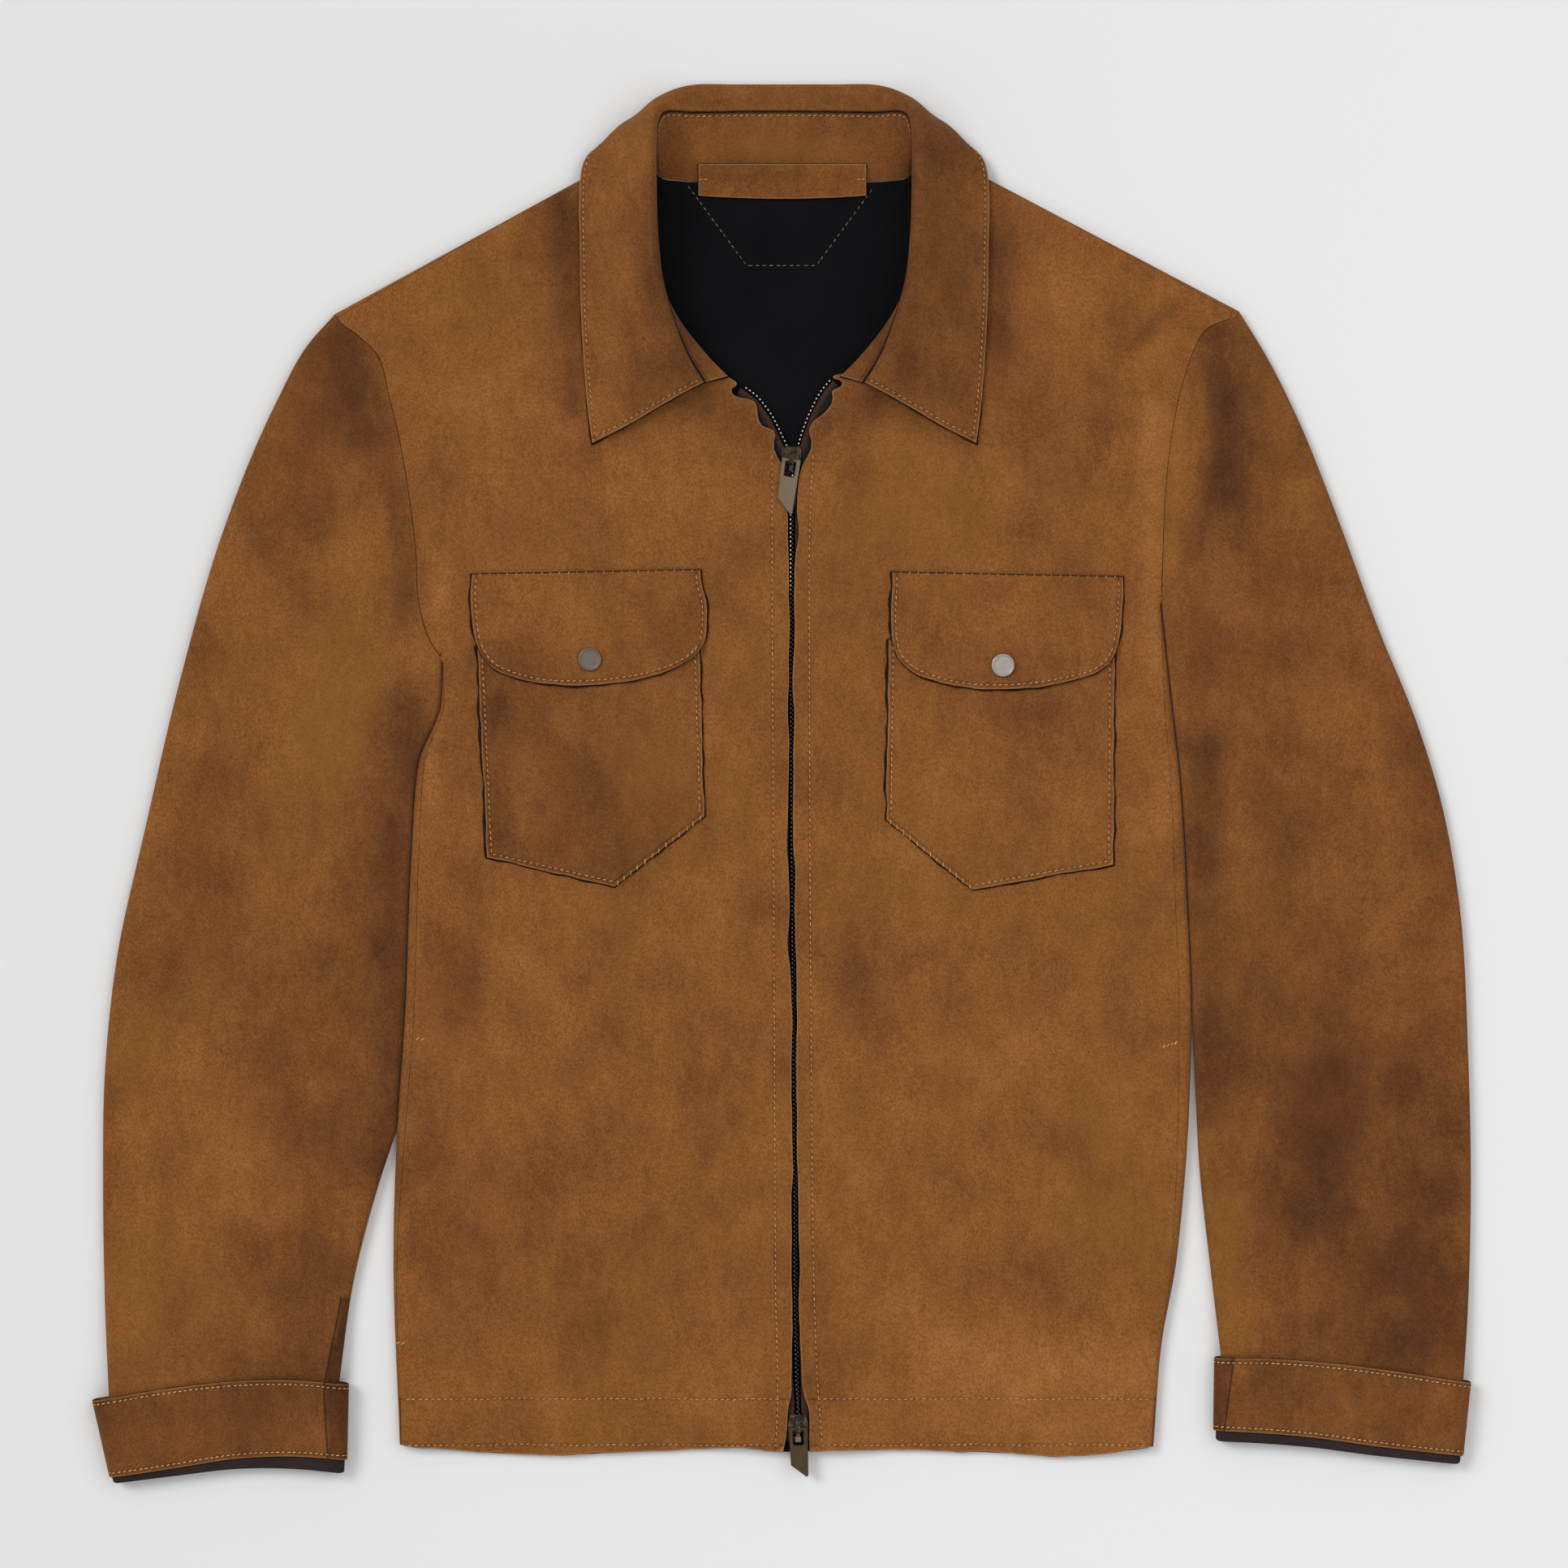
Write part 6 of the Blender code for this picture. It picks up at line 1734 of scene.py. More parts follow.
@dataclass
class ChestPocket:
    """A patch pocket, its flap over it and the snap's cap on the flap."""

    cut: PocketCut
    body: Body
    rows: int = 54
    columns: int = 51
    flap_rows: int = 30
    puff: float = 0.7           # how far the bag stands off between its seams
    puff_reach: Pair = (3.0, 22.0)      # where that starts inside them, and over how far it grows
    flap_lift: float = 0.5      # how far the flap's free edge stands off
    lift_reach: Pair = (12.0, 40.0)     # where that starts below its seam, and over how far it grows
    drape: float = 5.0          # over how far the flap comes down past the bag's edge
    shown: Pair = (1.5, 2.1)    # how far the inner cloth shows past raw edges, and past the left one: a dark line that is also painted shade
    stitch_inset: float = 2.4
    whip_insets: Pair = (0.6, 0.7)      # of the whips at the slanting edge and along the flap's top
    whip_turn: float = 52.0     # of the whip stitches from the pocket's slanting edge, in degrees
    snap_sides: int = 48
    snap_foot: float = 6.2      # the radius that the cap rests at
    snap_profile: Line = (
        (5.6, 0.0), (6.1, 0.25), (6.25, 0.6), (6.25, 1.1), (6.1, 1.45), (5.8, 1.6), (5.5, 1.6),
        (5.25, 1.45), (5.1, 1.2), (4.8, 1.12), (3.4, 1.16), (1.7, 1.2), (0.02, 1.22),
    )

    def bag_lower(self, plan: Array) -> Array:
        """Work out the bag's lower face: on the front, and crowned between its seams."""
        start, reach = self.puff_reach
        crown = ease((edge_distance(self.cut.outline(), plan) - start) / reach)
        return self.body.upper_height(self.cut.side, plan) + GAP + self.puff * crown

    def flap_lower(self, plan: Array) -> Array:
        """Work out the flap's lower face: over the bag, coming down to the front past it."""
        over = ease(edge_distance(self.cut.outline(), plan) / self.drape + 1.0)
        start, reach = self.lift_reach
        free = ease((self.cut.flap_outer[-1][1] - plan[..., 1] - start) / reach)
        ground = self.body.upper_height(self.cut.side, plan) + GAP
        return np.maximum(ground, (self.bag_lower(plan) + TRIM + GAP) * over) + self.flap_lift * free

    def bag_plan(self) -> Array:
        """Make the bag's plan, rows from the bottom to the top."""
        cut = self.cut
        half = self.columns // 2 + 1
        outer, inner, slant, rise = (
            wavered(np.linspace(start, end, count), amount, seed) for start, end, count, amount, seed in (
                (cut.low_outer, cut.top_outer, self.rows, 0.3, 21),
                (cut.low_inner, cut.top_inner, self.rows, 0.3, 22),
                (cut.low_outer, cut.point, half, 0.25, 23),
                (cut.point, cut.low_inner, half, 0.25, 24),
            )
        )
        low = joined(slant, rise)
        return grid_between(outer, inner, low, np.linspace(cut.top_outer, cut.top_inner, len(low)))

    def flap_plan(self) -> Array:
        """Make the flap's plan, rows from its free edge to its seam."""
        outer = line_through(self.cut.flap_outer, self.flap_rows)
        inner = line_through(self.cut.flap_inner, self.flap_rows)
        low = wavered(line_through(self.cut.flap_low, self.columns), amount=0.25, seed=25)
        return grid_between(outer, inner, low, np.linspace(outer[-1], inner[-1], self.columns))

    def build(self, trim: list[bpy.types.Material], metal: bpy.types.Material,
              thread: Stitching) -> None:
        """Make the bag, the flap and the cap.

        Args:
            trim: the finishes of the outer face, the inner face and the cut edge.
            metal: the cap's finish.
            thread: the stitches to add the pocket's rows to.
        """
        word = self.cut.side.word
        sides = (Edge.FIRST_COLUMN, Edge.LAST_COLUMN, Edge.FIRST_ROW)
        left = Edge.FIRST_COLUMN if self.cut.side is Side.LEFT else Edge.LAST_COLUMN
        for name, suffix, plan, lower, flat, area, below in (
            (f"pocket_{word}", "bag", self.bag_plan(), self.bag_lower, (0.126, 0.132), 0.0142,
             f"front_{word}_panel"),
            (f"flap_{word}", "cloth", self.flap_plan(), self.flap_lower, (0.130, 0.063), 0.0071,
             f"pocket_{word}_bag"),
        ):
            height = lower(plan)
            grids = raised(plan, height + TRIM), raised(plan, height)
            marks = Marks(
                tone=self.cut.tone + strokes_at(POCKET_TONES, plan), warm=strokes_at(WARM_AREAS, plan),
                free=sides, lines=(Surface(grids[0], grids[0]).rim(sides) - self.stitch_inset,),
                joints=(Edge.LAST_ROW,), shown={edge: self.shown[edge is left] for edge in sides},
            )
            piece = wall(f"{name}_{suffix}", *grids, marks).build(trim)
            round_rims(piece)
            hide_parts(name)
        self.sew(thread)
        self.build_snap(metal)

    def sew(self, thread: Stitching) -> None:
        """Add the pocket's stitches: rows inside its edges, and whips over its other seams."""
        def bag(plan: Array) -> Array:
            """Give the height of the bag's upper face."""
            return self.bag_lower(plan) + TRIM

        def flap(plan: Array) -> Array:
            """Give the height of the flap's upper face."""
            return self.flap_lower(plan) + TRIM

        cut, sign = self.cut, self.cut.side.sign
        corners = moved_aside(cut.outline(), sign * self.stitch_inset)
        for start, end in ((0, 1), (1, 2), (3, 4)):
            thread.row(*drawn(bag, np.linspace(corners[start], corners[end], SEWN_POINTS)))
        at_slant, at_top = self.whip_insets
        slant = moved_aside(np.linspace(cut.point, cut.low_inner, 80), sign * at_slant)
        thread.row(*drawn(bag, slant), replace(WHIP_STITCH, slant=-sign * self.whip_turn))
        outer, low, inner = (
            line_through(line, count) for line, count in (
                (cut.flap_outer, 60), (cut.flap_low, 160), (cut.flap_inner, 60),
            )
        )
        rim = joined(outer[::-1], low, inner)
        thread.row(*drawn(flap, moved_aside(rim[3:-3], sign * self.stitch_inset)))
        top = np.linspace(cut.flap_outer[-1], cut.flap_inner[-1], SEWN_POINTS) - np.array([0.0, at_top])
        thread.row(*drawn(flap, top[2:-2]), FLAP_WHIP)

    def build_snap(self, metal: bpy.types.Material) -> None:
        """Make the snap's cap: a profile with a raised rim, turned round its middle."""
        middle = np.array(self.cut.snap, float)
        angle = np.arange(self.snap_sides) * 2 * math.pi / self.snap_sides
        circle = np.stack([np.cos(angle), np.sin(angle)], axis=1)
        foot = (self.flap_lower(middle + self.snap_foot * circle) + TRIM).max() + GAP
        profile = np.array(self.snap_profile, float)
        plan = middle + profile[:, 0][:, None, None] * circle[None]
        height = np.broadcast_to((foot + profile[:, 1])[:, None], plan.shape[:2])
        points = raised(plan, height).reshape(-1, 3)
        faces = quad_faces(len(profile), self.snap_sides, closed=True)
        low = np.append(middle, foot)
        high = np.append(middle, foot + profile[-1, 1])
        ends = fan_faces(np.arange(self.snap_sides)[::-1], len(points))
        last = (len(profile) - 1) * self.snap_sides
        ends = np.vstack([ends, fan_faces(last + np.arange(self.snap_sides), len(points) + 1)])
        points, faces = np.vstack([points, low, high]), np.vstack([faces, ends])
        cap = Piece(f"snap_{self.cut.side.word}_cap", points, faces).build([metal])
        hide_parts(f"snap_{self.cut.side.word}")


def fan_faces(ring: Array, middle: int) -> Array:
    """Close a ring of corners by faces to its middle point, two steps of the ring at a time."""
    ring = np.asarray(ring)
    after = np.roll(ring, -1)
    beyond = np.roll(ring, -2)
    return np.stack([ring, after, beyond, np.full(len(ring), middle)], axis=-1)[::2]


# Zip


@dataclass(frozen=True)
class TeethRow:
    """The middle line of the zip at a height, and how far from it each row of teeth lies."""

    y: float
    centre: float
    spread: float


@dataclass
class Zip:
    """Two woven tapes with a row of metal teeth each: shut, and open towards the collar."""

    level: float = 4.4
    teeth_level: float = 4.2
    tooth_width: float = 1.7
    tooth_height: float = 1.9
    tooth_pitch: float = 2.4
    tooth_length: float = 1.3
    # how far towards the other row a tooth's knob stands, in half widths of it
    knob: dict[Side, float] = field(default_factory=lambda: {Side.LEFT: 0.72, Side.RIGHT: 0.3})
    tape_width: float = 10.5
    tape_count: int = 300
    tape_columns: int = 7
    rows: tuple[TeethRow, ...] = table(
        TeethRow,
        (-360.5, 8.4, 3.4), (-354.5, 8.6, 2.6), (-346, 8.6, 1.1), (-326, 7.9, 1.0), (-283, 7.1, 1.0),
        (-216, 6.9, 1.0), (-82, 5.8, 1.0), (30, 5.0, 1.0), (145, 4.9, 1.0), (178, 4.9, 1.1),
        (183.5, 5.3, 3.1), (190.5, 4.8, 5.7), (196.7, 4.4, 8.3), (202.5, 3.95, 11.1), (206.9, 3.35, 13.8),
        (211.0, 2.7, 16.5), (214.7, 1.55, 20.0), (217.2, 0.65, 22.8), (221.0, 2.0, 24.8),
    )

    def middle_line(self, side: Side, count: int) -> Array:
        """Give the middle line of one row of teeth, evenly spaced from the hem up."""
        rows = self.rows[:-1] if side is Side.LEFT else self.rows
        points = np.array([(row.centre + side.sign * row.spread, row.y) for row in rows])
        return line_through(points, count)

    def build_tape(self, side: Side, cloth: list[bpy.types.Material]) -> None:
        """Make one tape: a strip beside the teeth, as thick as its weave."""
        line = self.middle_line(side, self.tape_count)
        near = self.tooth_width / 2 + GAP
        aside = near + self.tape_width * np.linspace(0, 1, self.tape_columns)
        plan = np.stack([moved_aside(line, side.sign * distance) for distance in aside], axis=1)
        levels = self.level + TAPE / 2, self.level - TAPE / 2
        faces = [raised(plan, np.full(plan.shape[:2], level)) for level in levels]
        marks = Marks(free=(Edge.FIRST_COLUMN,))
        tape = wall(f"zip_tape_{side.word}_cloth", *faces, marks).build(cloth)
        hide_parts(f"zip_tape_{side.word}")

    def build_teeth(self, side: Side, metal: bpy.types.Material) -> None:
        """Make one row of teeth: a small rounded block at each step, turned along its line."""
        start = 0 if side is Side.LEFT else 1
        count = int(lengths_along(self.middle_line(side, 10 * EDGE_POINTS))[-1] / self.tooth_pitch)
        line = self.middle_line(side, 2 * count + 1)
        ahead = np.gradient(line, axis=0)
        ahead = raised(ahead / np.linalg.norm(ahead, axis=1, keepdims=True), np.zeros(len(line)))[start:-1:2]
        places = raised(line, np.full(len(line), self.teeth_level))[start:-1:2]
        inward = -side.sign * np.stack([ahead[:, 1], -ahead[:, 0], ahead[:, 2]], axis=1)
        w, h, t = self.tooth_width / 2, self.tooth_height / 2, self.tooth_length / 2
        k = self.knob[side] * w
        profile = (
            (-w, -0.7 * h), (0.3 * w, -h), (0.95 * w, -0.75 * h), (1.2 * w, 0.0),
            (k + 0.55 * w, 0.35 * h), (k + 0.38 * w, 0.95 * h),
            (k - 0.38 * w, 0.95 * h), (k - 0.55 * w, 0.35 * h),
        )
        ends = ((-t, 0.7), (-0.55 * t, 1.0), (0.55 * t, 1.0), (t, 0.7))
        up = np.broadcast_to([0.0, 0.0, 1.0], places.shape)
        copies = swarm(*block(profile, ends), places, ahead, inward, up)
        teeth = Piece(f"zip_teeth_{side.word}", *copies).build([metal])
        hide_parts(f"zip_chain_{side.word}")

    def build(self, cloth: list[bpy.types.Material], metals: dict[Side, bpy.types.Material]) -> None:
        """Make both tapes and both rows of teeth.

        Args:
            cloth: the finishes of the tape's upper face, lower face and edge.
            metals: each row's finish.
        """
        for side in Side:
            self.build_tape(side, cloth)
            self.build_teeth(side, metals[side])


@dataclass(frozen=True)
class Tongue:
    """The end of a slider's bail, which shows in the slot of the pull tab."""

    name: str
    x: float
    start: float                # Y where it leaves the bail's front leg
    end: float
    half_width: float = 1.35
    low: float = 6.95
    high: float = 9.0
    tip: float = 0.0            # half length of the rounded hook at its end
    tip_half_width: float = 2.3

    def build(self, metal: bpy.types.Material, tip_metal: bpy.types.Material) -> None:
        """Make the tongue as a rounded strap, and its hook as a low dome.

        Args:
            metal: the strap's finish.
            tip_metal: the hook's finish.
        """
        reach = (self.start - self.end) / 2
        self.block_at(self.name, (self.start + self.end) / 2, reach, self.half_width, metal)
        if self.tip:
            self.block_at(f"{self.name}_hook", self.end - self.tip, self.tip, self.tip_half_width, tip_metal)

    def block_at(self, name: str, y: float, reach: float, width: float, metal: bpy.types.Material) -> None:
        """Make one rounded block: an eight-cornered section that is narrower at both ends.

        Args:
            name: the piece's name.
            y: its middle.
            reach: half its length along Y.
            width: half its width.
            metal: its finish.
        """
        middle, half = (self.low + self.high) / 2, (self.high - self.low) / 2
        profile = (
            (-width, -half * 0.5), (-width * 0.8, -half), (width * 0.8, -half), (width, -half * 0.5),
            (width, half * 0.3), (width * 0.7, half), (-width * 0.7, half), (-width, half * 0.3),
        )
        shares = ((-1.0, 0.6), (-0.9, 0.85), (-0.72, 1.0), (0.72, 1.0), (0.9, 0.85), (1.0, 0.6))
        shape = block(profile, tuple((share * reach, scale) for share, scale in shares))
        frame = [np.array([row], float) for row in ((self.x, y, middle), (0, 1, 0), (-1, 0, 0), (0, 0, 1))]
        piece = Piece(name, *swarm(*shape, *frame)).build([metal], sharp=40.0)


def block(profile: Line, ends: Line) -> tuple[Array, Array]:
    """Make a small closed shape: a profile repeated along its length at a scale each time.

    Args:
        profile: an even number of corners as across and up, turning from across to up.
        ends: for each repeat its place ahead and the profile's scale there.

    Returns:
        The corners as ahead, across and up, and the faces.
    """
    ring = np.array(profile, float)
    steps = np.array(ends, float)
    flat = ring[None] * steps[:, 1, None, None]
    ahead = np.broadcast_to(steps[:, :1, None], flat.shape[:2] + (1,))
    corners = np.concatenate([ahead, flat], axis=2).reshape(-1, 3)
    count = len(ring)
    i = np.arange(count // 2 - 1)
    cap = np.stack([i, i + 1, count - 2 - i, count - 1 - i], axis=1)
    faces = [quad_faces(len(steps), count, closed=True), cap[:, ::-1], cap + (len(steps) - 1) * count]
    return corners, np.vstack(faces)


def swarm(shape: Array, faces: Array, places: Array, ahead: Array, across: Array,
          up: Array) -> tuple[Array, Array]:
    """Repeat a small shape: each corner is a place plus its own steps ahead, across and up.

    Args:
        shape: the corners as ahead, across and up.
        faces: the shape's faces.
        places: where each copy's middle lies.
        ahead: each copy's unit direction ahead.
        across: each copy's unit direction across.
        up: each copy's unit direction up.

    Returns:
        All the copies' corners and faces.
    """
    points = (
        places[:, None] + shape[None, :, 0:1] * ahead[:, None]
        + shape[None, :, 1:2] * across[:, None] + shape[None, :, 2:3] * up[:, None]
    )
    if float(np.sum(np.cross(ahead, across) * up)) < 0:
        faces = faces[:, ::-1]
    step = len(shape) * np.arange(len(places))[:, None, None]
    return points.reshape(-1, 3), (faces[None] + step).reshape(-1, faces.shape[1])


# Label


@dataclass
class Label:
    """The bare label that lies over the back neck seam."""

    half_width: float = 46.0
    top: float = 339.0
    low: float = 321.8
    sag: float = 1.7
    tack_level: float = 330.6
    tack_ends: Pair = (0.6, 5.2)    # of the stitches that hold it, from both its ends
    tack: Stitch = Stitch(2.3, 2.0, 0.7, 12.0)
    # how far the inner cloth shows past the label's edges, a dark line that is also painted shade
    shown: float = 0.5
    rows: int = 12
    columns: int = 48

    def build(self, collar: Collar, body: Body, trim: list[bpy.types.Material],
              thread: Stitching) -> None:
        """Make the label: a thin rectangle with a sagging lower edge, over the stand.

        Args:
            collar: the collar whose stand it lies on.
            body: the body that carries the collar.
            trim: the finishes of the outer face, the inner face and the cut edge.
            thread: the stitches to add those at its ends to.
        """
        stand = collar.surfaces(body)[0]
        profile = stand[:, stand.shape[1] // 2]
        share = np.linspace(-1, 1, self.columns)[None]
        low = self.low - self.sag * (1 - share**2)
        y = low + (self.top - low) * np.linspace(0, 1, self.rows)[:, None]
        x = np.broadcast_to(self.half_width * share, y.shape)
        ground = np.interp(y, profile[:, 1], profile[:, 2]) + CLOTH / 2
        ground = np.maximum(np.where(y < profile[0, 1], CLOTH, ground), CLOTH) + 2 * GAP
        plan = np.stack([x, y], axis=-1)
        grids = raised(plan, ground + BAND), raised(plan, ground)
        shown = {edge: self.shown for edge in Edge}
        marks = Marks(tone=-0.35, warm=0.1, free=tuple(Edge), shown=shown)
        piece = wall("neck_label_cloth", *grids, marks).build(trim)
        round_rims(piece)
        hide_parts("neck_label")
        stand_level = float(np.interp(self.tack_level, profile[:, 1], profile[:, 2]))
        level = stand_level + CLOTH / 2 + 2 * GAP + BAND
        up = np.tile([0.0, 0.0, 1.0], (2, 1))
        for sign in (-1, 1):
            line = [(sign * self.half_width - sign * inset, self.tack_level) for inset in self.tack_ends]
            thread.row(raised(np.array(line), np.full(2, level)), up, self.tack)


# Finishes


Value = Union[float, "Socket"]      # what shader maths takes


class Socket:
    """A node's output, so that shader maths is written as Python expressions."""

    def __init__(self, tree: bpy.types.NodeTree, output: bpy.types.NodeSocket) -> None:
        """Wrap an output of a tree's node."""
        self.tree = tree
        self.output = output

    def _maths(self, operation: str, *values: Value, clamp: bool = False) -> "Socket":
        """Add a Math node on values and give its output."""
        maths = self.tree.nodes.new("ShaderNodeMath")
        maths.operation = operation
        maths.use_clamp = clamp
        for slot, value in zip(maths.inputs, values):
            if isinstance(value, Socket):
                self.tree.links.new(value.output, slot)
            else:
                slot.default_value = value
        return Socket(self.tree, maths.outputs[0])

    def __add__(self, other: Value) -> "Socket":
        """Add."""
        return self._maths("ADD", self, other)

    def __mul__(self, other: Value) -> "Socket":
        """Multiply."""
        return self._maths("MULTIPLY", self, other)

    def __sub__(self, other: Value) -> "Socket":
        """Take away."""
        return self._maths("SUBTRACT", self, other)

    def __rsub__(self, other: Value) -> "Socket":
        """Take this from a number."""
        return self._maths("SUBTRACT", other, self)

    def __truediv__(self, other: Value) -> "Socket":
        """Divide."""
        return self._maths("DIVIDE", self, other)

    def __pow__(self, other: Value) -> "Socket":
        """Raise to a power."""
        return self._maths("POWER", self, other)

    __radd__ = __add__
    __rmul__ = __mul__

    def clamped(self) -> "Socket":
        """Keep it between 0 and 1."""
        return self._maths("ADD", self, 0.0, clamp=True)

    def least(self, other: Value) -> "Socket":
        """Take the lower of two."""
        return self._maths("MINIMUM", self, other)

    def most(self, other: Value) -> "Socket":
        """Take the higher of two."""
        return self._maths("MAXIMUM", self, other)

    def size(self) -> "Socket":
        """Drop the sign."""
        return self._maths("ABSOLUTE", self)

    def step(self, low: float, high: float) -> "Socket":
        """Rise from 0 at one value to 1 at another, with soft ends."""
        t = ((self - low) * (1.0 / (high - low))).clamped()
        return t * t * (3.0 - 2.0 * t)


class Finish:
    """A material's nodes, on a Principled shader."""

    def __init__(self, name: str) -> None:
        """Start a material of that name."""
        self.material = bpy.data.materials.new(name)
        self.material.use_nodes = True
        self.tree = self.material.node_tree
        self.shader = self.tree.nodes["Principled BSDF"]
        self.place = self.node("ShaderNodeTexCoord").outputs["Object"]

    def node(self, kind: str, settings: dict | None = None, **values: object) -> bpy.types.Node:
        """Add a node.

        Args:
            kind: its type.
            settings: attributes that are set first; stops gives a ramp's positions and colours.
            values: values or links of its sockets, with _ for a space in a socket's name.

        Returns:
            The node.
        """
        made = self.tree.nodes.new(kind)
        for key, value in (settings or {}).items():
            if key == "stops":
                ramp = made.color_ramp
                while len(ramp.elements) < len(value):
                    ramp.elements.new(0.5)
                for element, (position, colour) in zip(ramp.elements, value):
                    element.position, element.color = position, (*colour, 1.0)
            else:
                setattr(made, key, value)
        for key, value in values.items():
            self.feed(made.inputs[key.replace("_", " ")], value)
        return made

    def feed(self, slot: bpy.types.NodeSocket, value: object) -> None:
        """Set or link a socket."""
        if isinstance(value, Socket):
            value = value.output
        if isinstance(value, bpy.types.NodeSocket):
            self.tree.links.new(value, slot)
        else:
            slot.default_value = value

    def fix(self, **values: object) -> None:
        """Set or link the shader's own sockets, with _ for a space in a socket's name."""
        for key, value in values.items():
            self.feed(self.shader.inputs[key.replace("_", " ")], value)

    def noise(self, size: float, detail: float = 2.0, rough: float = 0.5, warp: float = 0.0,
              scale: Triple | None = None, turn: float = 0.0, shift: Triple = (0, 0, 0)) -> Socket:
        """Give a noise of the place on the piece.

        Args:
            size: about how far across its features are, in millimetres.
            detail: how many finer levels it has.
            rough: how strong they are.
            warp: how far it bends itself.
            scale: what the place is scaled by along X, Y and Z first, or None for nothing.
            turn: how far the place is then turned about Z, in degrees.
            shift: how far it is moved, in metres.

        Returns:
            The noise, from 0 to 1.
        """
        where = self.place
        if scale:
            where = self.node("ShaderNodeMapping", Vector=where, Scale=scale,
                              Rotation=(0, 0, math.radians(turn)), Location=shift).outputs[0]
        made = self.node("ShaderNodeTexNoise", Vector=where, Scale=1.0 / (size * MM), Detail=detail,
                         Roughness=rough, Distortion=warp)
        return Socket(self.tree, made.outputs["Fac"])

    def attribute(self, name: str) -> Socket:
        """Read a number stored at the mesh's corners."""
        made = self.node("ShaderNodeAttribute", {"attribute_name": name})
        return Socket(self.tree, made.outputs["Fac"])

    def split(self, name: str) -> list[Socket]:
        """Read three numbers stored at the mesh's corners."""
        made = self.node("ShaderNodeAttribute", {"attribute_name": name})
        parts = self.node("ShaderNodeSeparateXYZ", Vector=made.outputs["Vector"])
        return [Socket(self.tree, output) for output in parts.outputs]

    def split_place(self) -> list[Socket]:
        """Give the place's X, Y and Z in metres."""
        parts = self.node("ShaderNodeSeparateXYZ", Vector=self.place)
        return [Socket(self.tree, output) for output in parts.outputs]

    def mix(self, share: Value, low: object, high: object, way: str = "MIX") -> bpy.types.NodeSocket:
        """Mix two colours."""
        made = self.tree.nodes.new("ShaderNodeMix")
        made.data_type, made.blend_type = "RGBA", way
        sockets = [slot for slot in made.inputs if slot.enabled]
        self.feed(sockets[0], share)
        for slot, value in zip(sockets[1:], (low, high)):
            self.feed(slot, (*value, 1.0) if isinstance(value, tuple) and len(value) == 3 else value)
        return [slot for slot in made.outputs if slot.enabled][0]

    def bump(self, height: Socket, distance: float, strength: float = 1.0,
             normal: bpy.types.NodeSocket | None = None) -> bpy.types.NodeSocket:
        """Turn a height from 0 to 1 into a relief of a depth in millimetres."""
        made = self.node("ShaderNodeBump", Height=height, Distance=distance * MM, Strength=strength)
        if normal is not None:
            self.feed(made.inputs["Normal"], normal)
        return made.outputs[0]


Colour = Triple


